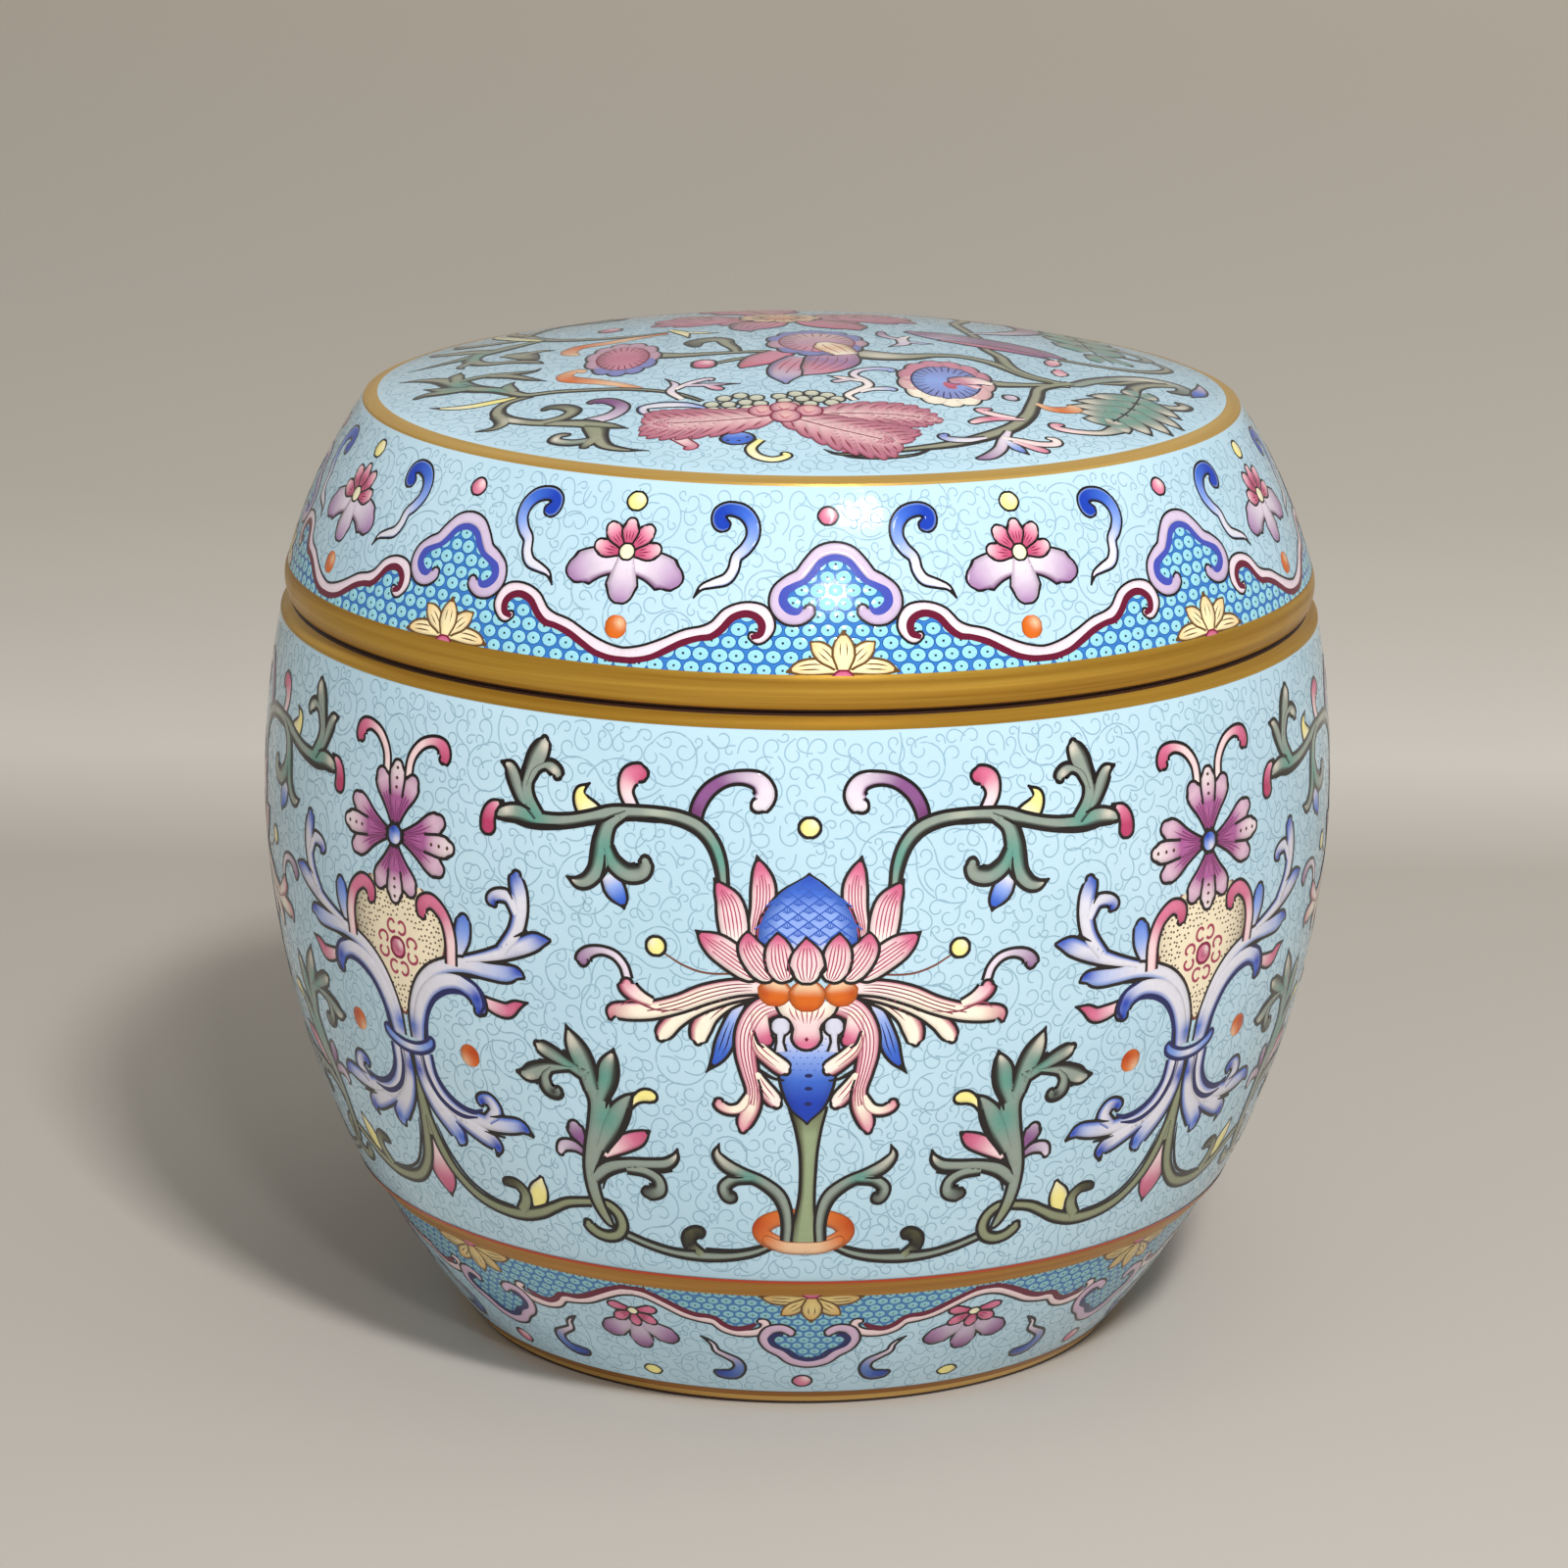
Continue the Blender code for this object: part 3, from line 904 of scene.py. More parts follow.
    art.single([(1.6, 74.2, 9.8), (1.6, 72.4, 8.6), (1.6, 70.8, 5.2), (1.6, 69.4, 4.6),
                (1.6, 67.9, 6.0), (1.6, 66.3, 5.0)], [WHITE, CREAM, PINK_PALE, PINK_PALE, PINK, PINK],
               "-o", veins=(7, "rose_vein", 0.02, 0.5),
               lines=[("crimson", [(1.3, 68.3, 0.1), (1.6, 68.3, 0.8), (1.9, 68.3, 0.1)])])
    knob = dict(paint=[srgb(206, 206, 224)], line=0.42)
    art.group([
        dot(axis + 3.9, 70.3, 3.5, 3.5, **knob),
        stroke(shifted(axis, [(3.9, 69.4, 1.9), (4.0, 67.9, 1.5), (3.9, 66.3, 2.2)]), ends="--",
               **knob)], mirror=axis)
    # Orange lobes under the flower
    lobe = dict(paint=[ORANGE_DEEP, ORANGE, ORANGE, ORANGE_PALE, ORANGE_PALE], ends="oo", line=0.2,
                left=(ORANGE, 0.35), right=(ORANGE, 0.35))
    art.single([(6.6, 73.3, 5.0), (6.5, 75.3, 6.8), (6.3, 77.6, 5.8)], ink="orange_ink", mirror=axis,
               spots=[(8.8, 75.6, 1.4, ORANGE_DEEP)], **lobe)
    art.single([(1.6, 72.5, 5.4), (1.6, 75.0, 6.8), (1.6, 77.6, 5.8)], ink="orange_ink", **lobe)
    # Front row, from the outside in
    for points in ([(8.6, 77.6, 4.0), (12.0, 80.2, 4.7), (14.8, 82.2, 4.5), (16.6, 83.4, 2.9),
                    (18.1, 84.6, 0.2)],
                   [(6.6, 77.2, 4.2), (8.8, 80.0, 4.8), (10.1, 82.2, 4.3), (10.4, 83.8, 2.6),
                    (10.4, 84.9, 0.4)],
                   [(4.7, 76.9, 4.2), (5.7, 79.8, 4.8), (6.0, 82.0, 4.5), (6.1, 83.6, 2.8),
                    (6.2, 84.8, 0.3)]):
        art.single(points, mirror=axis, **front)
    art.single([(1.5, 76.6, 4.6), (1.5, 79.0, 5.9), (1.5, 81.4, 5.0), (1.4, 83.0, 2.6),
                (1.3, 84.2, 0.2)], **front)


def bud_scales():
    """Scales on the blue bud: crossing diagonals with a small fan in every lozenge."""
    lines = []
    for row in range(8):
        level = 82.8 + 1.15 * row
        span = 7.5 * math.sqrt(max(1.0 - ((level - 82.5) / 10.8) ** 2, 0.02))
        for i in range(-3, 4):
            x = LOTUS_AXIS + 1.55 * (i * 2 + row % 2)
            if abs(x - LOTUS_AXIS) > span - 0.9:
                continue
            for side in (-1.55, 1.55):
                lines.append(("bud_blue", [(x + side, level, 0.2), (x, level + 1.15, 0.26)]))
            for lean in (-0.9, -0.45, 0.0, 0.45, 0.9):
                lines.append(("bud_blue", [(x, level + 0.1, 0.08),
                                           (x + lean, level + 0.85 - 0.3 * abs(lean), 0.2)]))
    return lines


def bell_dots():
    """Three dark spots down the bell and a fine stipple above them."""
    lines = []
    for level in (62.5, 60.4, 57.9):
        lines.append(("navy", [(1.4, level, 0.2), (2.0, level, 0.8), (2.6, level, 0.2)]))
    for row in range(9):
        for i in range(-4, 5):
            x = 1.8 + 1.05 * (i + 0.5 * (row % 2))
            level = 71.4 - 1.0 * row
            lines.append(("bud_blue", [(x - 0.16, level, 0.06), (x, level, 0.2), (x + 0.16, level, 0.06)]))
    return lines


def lotus_foot(art):
    """Stem of the lotus, its ring and the two leaves that spring from the ring."""
    axis = LOTUS_AXIS
    ring = [(axis + 7.0 * math.sin(a), 35.9 + 2.9 * math.cos(a), 2.3 + 0.9 * abs(math.sin(a)))
            for a in np.linspace(0.0, math.tau, 17)]
    art.single(ring, [ORANGE], "--", 0.15, ink="orange_ink",
               spots=shifted(axis, [(0.0, 32.6, 4.4, ORANGE_PALE), (8.6, 37.6, 2.4, ORANGE_DEEP),
                                    (-8.6, 37.6, 2.4, ORANGE_DEEP)]))
    art.single([(2.0, 57.4, 6.2), (2.1, 54.0, 4.6), (2.2, 50.0, 3.3), (2.2, 46.0, 2.9),
                (2.1, 42.0, 3.0), (1.9, 38.4, 3.9), (1.9, 33.8, 6.2)],
               [OLIVE_DARK, STEM_GREEN, STEM_GREEN, STEM_GREEN, STEM_GREEN, STEM_GREEN], "--",
               left=(OLIVE, 0.4), right=(OLIVE_DARK, 0.55))
    leaf = dict(paint=[LEAF, LEAF, LEAF, LEAF_PALE], right=(LEAF_DARK, 0.82))
    art.group([
        stroke([(4.6, 33.8, 2.2), (4.4, 37.0, 2.3), (4.8, 40.0, 2.5), (6.0, 42.5, 2.7),
                (8.6, 44.6, 2.5), (11.4, 45.8, 2.5), (14.0, 47.1, 2.7), (15.5, 49.0, 1.9),
                (15.0, 51.0, 0.2)], ends="-v", **leaf),
        stroke([(10.0, 45.0, 2.0), (12.8, 44.8, 2.3), (14.5, 43.4, 2.5), (13.9, 41.8, 2.7),
                (12.4, 42.2, 2.6)], [LEAF, LEAF, LEAF, LEAF_DARK], "-o", right=(LEAF_DARK, 0.92))],
        spots=[(10.5, 45.2, 1.8, LEAF_TEAL)],
        lines=[("black", [(11.4, 45.3, 0.2), (12.6, 45.2, 0.45), (14.0, 45.3, 0.45)])], mirror=axis)
    art.single([(-5.2, 34.6, 1.8), (-2.0, 33.1, 2.2), (axis, 32.8, 2.3), (5.4, 33.1, 2.2),
                (8.6, 34.6, 1.8)], [ORANGE, ORANGE_PALE, ORANGE_PALE, ORANGE], "oo", 0.12,
               ink="orange_ink")


def upper_scroll(art):
    """Scroll that springs from the flower: stem, curls, buds and a three-lobed end."""
    axis = LOTUS_AXIS
    art.single([(18.4, 100.2, 2.3), (17.9, 102.7, 2.6), (16.5, 105.0, 2.6), (14.2, 106.6, 2.4),
                (11.6, 107.1, 2.5), (9.2, 106.6, 3.2), (8.2, 104.9, 3.7), (9.1, 103.4, 3.7),
                (10.4, 103.7, 3.0)],
               [PURPLE_DEEP, PURPLE, PURPLE, LILAC, LILAC_PALE, srgb(218, 214, 218)], "-o",
               left=(PURPLE, 0.4), mirror=axis)
    art.single([(27.6, 101.6, 2.4), (28.8, 104.0, 2.7), (28.4, 106.1, 3.6), (26.9, 106.7, 3.6),
                (25.6, 105.9, 3.0)], [LILAC_PALE, PINK_PALE, PINK, PINK_DEEP], "-o", mirror=axis)
    art.single([(34.0, 100.2, 4.2), (35.6, 101.9, 3.2), (35.9, 103.5, 2.0), (34.4, 104.8, 0.3)],
               [YELLOW_PALE, YELLOW, YELLOW], "-v", mirror=axis)
    art.single([(31.2, 91.6, 3.0), (30.2, 89.8, 3.8), (29.1, 88.1, 2.6), (28.6, 86.7, 0.2)],
               [BLUE_PALE, BLUE_LIGHT, BLUE, BLUE_DEEP], "-v", mirror=axis)
    art.single([(48.4, 100.4, 0.6), (50.3, 99.4, 2.4), (51.2, 97.6, 3.0), (51.0, 94.8, 3.2)],
               [PINK_PALE, PINK, PINK_DEEP, PINK_DEEP], "vo", mirror=axis)
    green = dict(paint=[LEAF], line=0.58)
    art.group([
        stroke([(14.0, 91.0, 2.0), (14.5, 94.5, 2.4), (15.6, 97.4, 2.6), (17.6, 99.6, 2.7),
                (20.5, 100.8, 2.6), (24.0, 101.2, 2.5), (28.0, 101.1, 2.6), (31.0, 100.7, 2.9),
                (34.0, 99.9, 2.5), (37.0, 99.1, 2.5), (40.0, 98.6, 2.7), (43.0, 98.5, 3.0),
                (46.0, 99.0, 3.3), (48.4, 98.7, 2.8), (50.0, 97.9, 1.8)], ends="-o",
               right=(LEAF_DARK, 0.72), **green),
        stroke([(28.6, 101.0, 2.0), (31.2, 99.3, 3.0), (32.1, 96.8, 3.5), (32.2, 94.6, 4.0),
                (33.0, 92.2, 3.2), (34.4, 90.5, 2.8), (36.0, 90.1, 2.2), (37.8, 90.8, 0.3)], ends="-v",
               left=(LEAF_DARK, 0.62), **green),
        stroke([(31.4, 95.8, 2.4), (30.4, 93.6, 3.1), (28.3, 92.2, 3.3), (26.2, 92.6, 3.4),
                (25.7, 94.0, 3.0), (26.6, 94.6, 2.6)], ends="-o", right=(LEAF_DARK, 0.77), **green),
        stroke([(42.6, 98.9, 2.8), (44.6, 101.3, 3.3), (44.9, 103.6, 3.0), (44.2, 105.5, 3.3),
                (43.3, 107.6, 3.9), (42.5, 109.4, 3.1), (42.2, 110.9, 1.6)], ends="-o",
               right=(LEAF_DARK, 0.67), **green),
        stroke([(44.6, 103.0, 1.8), (43.7, 105.3, 2.0), (42.2, 106.4, 1.9), (40.9, 106.4, 2.6),
                (39.8, 105.6, 2.5), (40.0, 104.4, 1.8)], ends="-o", right=(LEAF_DARK, 0.52), **green),
        stroke([(45.0, 100.4, 2.4), (46.2, 102.3, 2.6), (46.9, 103.9, 3.0), (47.9, 105.5, 2.5),
                (49.6, 106.1, 0.4)], ends="-v", right=(LEAF_DARK, 0.77), **green)],
        lines=[("black", [(37.0, 98.1, 0.2), (40.0, 97.7, 0.9), (44.0, 97.4, 0.9), (48.4, 97.9, 0.2)]),
               ("black", [(45.5, 103.7, 0.2), (45.6, 104.6, 0.7), (45.3, 106.0, 0.5)]),
               ("black", [(43.9, 99.8, 0.3), (45.2, 100.2, 0.5), (46.2, 100.8, 0.4)]),
               ("black", [(22.5, 100.0, 0.2), (24.5, 100.3, 0.9), (27.0, 100.0, 0.3)]),
               ("black", [(31.8, 94.6, 0.2), (31.8, 92.8, 0.5), (32.2, 91.0, 0.6)]),
               ("black", [(30.4, 100.4, 0.2), (32.4, 99.4, 0.5), (34.4, 98.8, 0.3)])],
        spots=[(14.8, 95.5, 3.3, LEAF_TEAL), (31.6, 95.0, 3.3, LEAF_TEAL), (43.5, 98.8, 2.7, LEAF_TEAL),
               (42.0, 109.3, 1.0, LEAF_PALE), (40.4, 105.8, 0.6, LEAF_PALE),
               (48.6, 105.8, 1.0, LEAF_PALE), (37.0, 90.4, 0.8, LEAF_PALE),
               (24.0, 101.6, 1.8, srgb(168, 174, 158)), (48.0, 99.4, 1.0, LEAF_PALE),
               (26.8, 93.6, 0.7, LEAF_DARK)], mirror=axis)


def leaf_cluster(art):
    """Tall acanthus leaf beside the lotus, with buds, over the knot in the lower scroll."""
    axis = LOTUS_AXIS
    art.single([(29.2, 55.0, 0.9), (28.0, 56.9, 1.8), (26.3, 57.9, 2.7), (24.2, 57.6, 2.4)],
               [YELLOW_PALE, YELLOW, YELLOW], "-o", mirror=axis)
    art.single([(35.3, 45.8, 0.9), (33.0, 47.7, 2.5), (30.6, 49.3, 3.5), (28.2, 50.5, 3.3),
                (26.8, 51.5, 1.9), (25.9, 52.2, 0.3)], [PINK_PALE, PINK_PALE, PINK, PINK_DEEP], "-v",
               left=(PINK, 0.4), mirror=axis)
    art.group([
        stroke([(37.0, 47.4, 1.5), (38.0, 49.4, 2.8), (38.6, 50.8, 3.4), (38.9, 52.5, 2.6)],
               [PURPLE, PURPLE, LILAC], "-o"),
        stroke([(37.4, 46.8, 1.6), (39.2, 47.8, 2.4), (41.0, 47.7, 2.6), (41.8, 46.6, 2.0),
                (41.7, 45.6, 1.4)], [PURPLE, LILAC, LILAC_PALE], "-o")],
        lines=[("black", [(37.6, 48.0, 0.2), (38.6, 48.8, 0.4), (39.8, 49.3, 0.3)])], mirror=axis)
    green = dict(paint=[LEAF], line=0.58)
    # The lower scroll between the knot and the lotus
    art.group([
        stroke([(6.6, 33.4, 1.6), (10.0, 31.9, 2.0), (14.0, 31.0, 2.2), (18.8, 30.7, 2.5),
                (23.5, 30.8, 2.1), (28.0, 31.7, 2.0), (33.0, 33.4, 2.0)], ends="--",
               left=(LEAF_DARK, 0.62), right=(OLIVE_DARK, 0.4), **green),
        stroke([(19.2, 30.9, 2.4), (21.0, 32.4, 2.8), (21.1, 34.1, 2.8), (19.6, 35.0, 2.7),
                (18.4, 34.1, 2.7)], [OLIVE, LEAF_DARK, OLIVE_DARK, LEAF_DARK], "-o", 0.58)],
        lines=[("black", [(8.8, 33.2, 0.3), (13.0, 32.1, 0.6), (18.4, 32.1, 0.4)]),
               ("black", [(20.2, 31.5, 0.5), (24.0, 31.6, 0.5), (29.8, 33.1, 0.3)])],
        spots=[(19.6, 34.2, 0.8, LEAF_DARK)], mirror=axis)
    # Knot, back coil
    olive = dict(paint=[OLIVE], line=0.585)
    art.single([(36.8, 38.2, 2.0), (34.8, 38.2, 2.3), (33.2, 36.8, 2.5), (32.8, 34.8, 2.6),
                (33.8, 33.1, 2.5), (35.8, 32.4, 2.5), (37.8, 32.8, 2.6), (39.1, 34.0, 2.7),
                (38.8, 35.2, 2.2)], ends="-o", left=(OLIVE_DARK, 0.45), mirror=axis, **olive)
    # Stem, lobes and the lower leaf
    art.group([
        stroke([(34.0, 33.9, 0.4), (35.2, 35.2, 2.0), (36.4, 38.0, 2.7), (36.9, 41.0, 2.9),
                (36.8, 44.5, 3.0), (35.7, 48.0, 3.8), (34.2, 52.0, 4.6), (33.8, 56.0, 4.2),
                (34.6, 59.0, 4.4)], ends="v-", **green),
        stroke([(34.6, 48.0, 2.8), (32.2, 52.0, 4.2), (30.6, 54.8, 4.0), (29.2, 57.0, 2.2),
                (27.9, 58.3, 0.3)], ends="-v", left=(LEAF_DARK, 0.77), **green),
        stroke([(33.6, 56.4, 2.8), (32.4, 59.4, 3.8), (31.9, 61.8, 3.9), (31.3, 63.6, 2.5),
                (30.8, 65.2, 0.2)], ends="-v", left=(LEAF_DARK, 0.92), **green),
        stroke([(34.8, 57.8, 3.4), (35.6, 61.2, 3.9), (36.6, 63.6, 4.2), (37.6, 65.8, 2.9),
                (38.5, 68.1, 0.2)], ends="-v", left=(LEAF_DARK, 0.67), **green),
        stroke([(35.4, 60.0, 2.8), (38.6, 61.6, 2.6), (41.0, 62.8, 3.1), (42.8, 63.6, 2.9),
                (44.2, 64.4, 1.6)], ends="-o", left=(LEAF_DARK, 0.77), **green),
        stroke([(37.8, 61.0, 1.5), (41.6, 60.6, 2.5), (44.0, 59.6, 3.5), (46.0, 58.8, 3.0),
                (48.0, 58.9, 0.5)], ends="-v", left=(LEAF_DARK, 0.72), **green),
        stroke([(41.4, 60.6, 1.6), (42.8, 58.9, 2.5), (42.5, 57.0, 2.8), (41.0, 56.5, 2.6),
                (40.5, 57.8, 1.9)], ends="-o", left=(LEAF_DARK, 0.72), **green),
        stroke([(36.6, 42.6, 2.8), (33.6, 44.9, 2.9), (30.0, 46.0, 2.5), (26.6, 46.3, 2.5),
                (23.8, 46.7, 2.5), (22.3, 47.9, 1.9), (21.7, 49.6, 0.3)], ends="-v",
               left=(LEAF_DARK, 0.57), **green),
        stroke([(30.5, 45.2, 2.2), (27.4, 45.0, 2.3), (25.4, 43.8, 2.5), (25.4, 42.0, 2.9),
                (27.2, 41.5, 3.2), (28.2, 42.3, 2.7)], [LEAF, LEAF, LEAF, LEAF_DARK], "-o",
               left=(LEAF_DARK, 0.72))],
        lines=[("black", [(34.0, 59.8, 0.2), (34.0, 61.2, 0.6), (34.2, 62.4, 0.5)]),
               ("black", [(32.9, 55.0, 0.2), (32.4, 56.4, 0.7), (31.6, 57.8, 0.5)]),
               ("black", [(37.8, 62.2, 0.2), (38.5, 63.0, 0.5), (39.2, 63.8, 0.5)]),
               ("black", [(40.4, 61.3, 0.2), (42.0, 61.5, 0.5), (43.6, 61.5, 0.4)]),
               ("black", [(43.5, 58.9, 0.2), (43.9, 57.9, 0.6), (44.6, 57.4, 0.4)]),
               ("black", [(36.4, 43.6, 0.2), (35.4, 45.2, 0.5), (33.8, 46.8, 0.5)]),
               ("black", [(26.8, 45.6, 0.2), (24.8, 45.2, 0.5), (22.8, 45.6, 0.4)]),
               ("black", [(32.0, 49.8, 0.2), (30.2, 52.6, 0.8), (29.2, 55.6, 0.4)]),
               ("black", [(35.2, 41.0, 0.3), (34.0, 43.4, 0.6), (31.0, 44.7, 0.3)])],
        spots=[(32.8, 60.0, 2.7, LEAF_TEAL), (32.9, 53.4, 2.8, LEAF_TEAL), (38.2, 62.2, 2.1, LEAF_TEAL),
               (31.5, 64.0, 0.9, LEAF_PALE), (38.2, 65.6, 1.7, LEAF_PALE), (43.4, 63.6, 0.9, LEAF_PALE),
               (45.6, 57.9, 0.8, LEAF_PALE), (22.0, 48.0, 0.9, LEAF_PALE), (27.2, 42.8, 1.0, LEAF_DARK),
               (41.6, 56.6, 0.8, LEAF_DARK), (36.4, 37.0, 2.2, OLIVE)], mirror=axis)


# Height of the rosette in the middle of the pod
POD_MIDDLE = 74.3


def flower_pod(art):
    """Purple flower over a stippled heart pod held in blue acanthus, about x = 0."""
    olive = dict(paint=[OLIVE], line=0.5, left=(OLIVE_DARK, 0.35), right=(OLIVE_DARK, 0.45))
    art.single([(0.1, 44.0, 0.4), (0.0, 41.0, 2.8), (0.0, 37.4, 6.2), (0.0, 35.0, 4.6),
                (0.0, 32.6, 0.3)], [PINK_PALE, PINK_PALE, PINK, PINK_DEEP], "vv", left=(PINK, 0.4),
               right=(PINK, 0.4))
    # Yellow bud and dark curl on the lower scroll
    art.single([(20.6, 35.2, 2.4), (21.3, 37.4, 4.1), (22.2, 39.2, 3.5), (23.1, 41.4, 0.8)],
               [YELLOW, YELLOW, YELLOW_PALE], "-v", left=(YELLOW_PALE, 0.4), mirror=0.0)
    branch = [(0.6, 47.0, 2.2), (1.5, 42.4, 2.7), (3.3, 38.5, 2.6), (6.2, 35.6, 2.5), (9.3, 34.1, 2.5),
              (13.2, 33.4, 2.5), (17.2, 33.5, 2.6), (21.2, 34.6, 2.5), (24.3, 36.1, 2.2),
              (27.3, 37.5, 2.1), (31.6, 38.3, 2.0)]
    hook = [(17.0, 34.0, 2.6), (18.4, 35.8, 2.7), (18.7, 37.6, 2.6), (17.4, 38.9, 2.3),
            (15.6, 38.9, 2.0), (14.3, 38.3, 1.2)]
    edge = [(2.2, 46.0, 0.2), (3.6, 41.6, 0.6), (6.6, 37.4, 0.6), (11.0, 35.2, 0.5), (15.6, 34.7, 0.2)]
    stem = [(0.0, 53.0, 2.0), (0.0, 49.0, 3.0), (0.0, 45.8, 3.6), (0.0, 43.6, 3.2)]
    strokes = [stroke(points, ends="--", **olive) for points in (stem, branch, flipped(branch))]
    strokes += [stroke(points, [OLIVE, OLIVE, OLIVE_DARK, LEAF_DARK], "-o")
                for points in (hook, flipped(hook))]
    art.group(strokes, lines=[("black", points) for points in (edge, flipped(edge))])
    # Orange spots beside the ring
    art.group([dot(13.0, 59.7, 3.8, 3.7, [ORANGE], 0.0)],
              spots=[(13.9, 60.4, 1.4, ORANGE_DEEP), (11.7, 58.4, 1.2, ORANGE_PALE)], mirror=0.0)
    # Small blue buds and pink leaves behind the branches
    art.single([(12.6, 75.4, 2.2), (13.5, 78.4, 3.6), (13.9, 80.8, 3.4), (14.1, 82.6, 2.4)],
               [BLUE_PALE, BLUE_LIGHT, BLUE], "-o", left=(BLUE, 0.4), mirror=0.0)
    art.single([(16.8, 69.3, 2.2), (19.2, 68.6, 2.9), (21.2, 68.5, 2.9), (22.9, 69.6, 2.1),
                (25.1, 70.4, 0.3)], [PINK_PALE, PINK, PINK_DEEP], "-v", mirror=0.0)
    # Heart pod
    art.single([(0.0, 63.6, 0.8), (0.0, 67.5, 8.0), (0.0, 71.5, 15.4), (0.0, 75.5, 20.4),
                (0.0, 79.0, 21.0), (0.0, 82.5, 18.0), (0.0, 84.6, 12.0)], [srgb(234, 220, 190)], "v-",
               lines=pod_stipple(), ink="brown")
    # Pink middle of the rosette, with a painted highlight: a pale spot up and to the right
    art.group([dot(0.0, POD_MIDDLE, 3.6, 3.7, [PINK], 0.5)], lines=rosette(), ink="crimson",
              spots=[(0.0, POD_MIDDLE, 0.6, CRIMSON), (0.7, 75.0, 0.7, PINK_PALE)])
    # Blue acanthus branches
    band = dict(paint=[BLUE_PALE, BLUE_PALE, BLUE_PALE, BLUE_LIGHT], line=0.52)
    shade = (BLUE, 0.6)
    art.group([
        stroke([(2.0, 60.0, 3.2), (2.2, 64.2, 3.2), (4.0, 68.6, 3.3), (6.6, 71.6, 3.2),
                (9.9, 73.4, 3.1), (13.8, 74.3, 3.3), (17.8, 74.2, 3.3), (21.1, 74.3, 3.5),
                (23.2, 74.7, 2.6), (24.8, 74.1, 0.9)], ends="-o", right=(BLUE_LIGHT, 0.6), **band),
        stroke([(13.9, 75.2, 2.0), (17.8, 76.4, 2.5), (21.1, 77.6, 3.1), (24.3, 79.0, 3.5),
                (26.8, 80.2, 3.3), (29.4, 80.7, 0.9)], ends="-o", left=(BLUE, 0.55), **band),
        stroke([(20.8, 77.8, 2.8), (23.2, 81.0, 3.1), (24.1, 84.0, 3.3), (24.0, 87.0, 3.5),
                (23.5, 89.2, 3.0), (23.9, 90.7, 2.0)], ends="-o", left=shade, **band),
        stroke([(23.5, 83.8, 2.2), (22.3, 86.1, 2.7), (20.4, 86.3, 2.6), (19.2, 85.4, 2.4),
                (20.2, 84.3, 1.2)], ends="-o", left=(BLUE, 0.5), **band),
        stroke([(2.4, 60.0, 3.2), (3.2, 64.0, 3.5), (5.2, 67.8, 3.8), (8.3, 70.4, 3.7),
                (12.1, 71.3, 3.4), (15.1, 70.2, 3.5), (16.1, 68.2, 3.3), (15.2, 66.6, 2.2)], ends="-o",
               right=shade, **band)],
        lines=[("navy",
                [(4.3, 60.0, 0.5), (4.9, 64.0, 0.8), (6.8, 67.3, 0.9), (9.5, 69.2, 0.9),
                 (12.2, 69.8, 0.8), (14.2, 69.3, 0.4)]),
               ("navy", [(13.0, 72.5, 0.3), (16.0, 71.3, 0.7), (17.0, 68.6, 0.7), (15.8, 66.8, 0.4)]),
               ("black", [(12.2, 72.8, 0.2), (13.6, 72.6, 0.5), (16.4, 72.8, 0.4)]),
               ("black", [(19.0, 75.6, 0.2), (21.0, 75.9, 0.5), (22.4, 75.9, 0.4)]),
               ("black", [(22.9, 86.0, 0.2), (22.4, 87.0, 0.5), (21.8, 87.6, 0.4)]),
               ("black", [(23.0, 80.3, 0.2), (24.2, 80.9, 0.5), (25.4, 81.7, 0.4)])],
        spots=[(23.8, 75.5, 2.0, BLUE_DEEP), (28.2, 81.5, 2.1, BLUE_DEEP), (22.4, 89.8, 1.9, BLUE_DEEP),
               (19.8, 84.8, 1.3, BLUE_DEEP), (15.7, 69.4, 1.6, BLUE_DEEP), (15.9, 67.4, 1.4, BLUE_DEEP),
               (1.2, 62.0, 1.8, BLUE)], mirror=0.0)
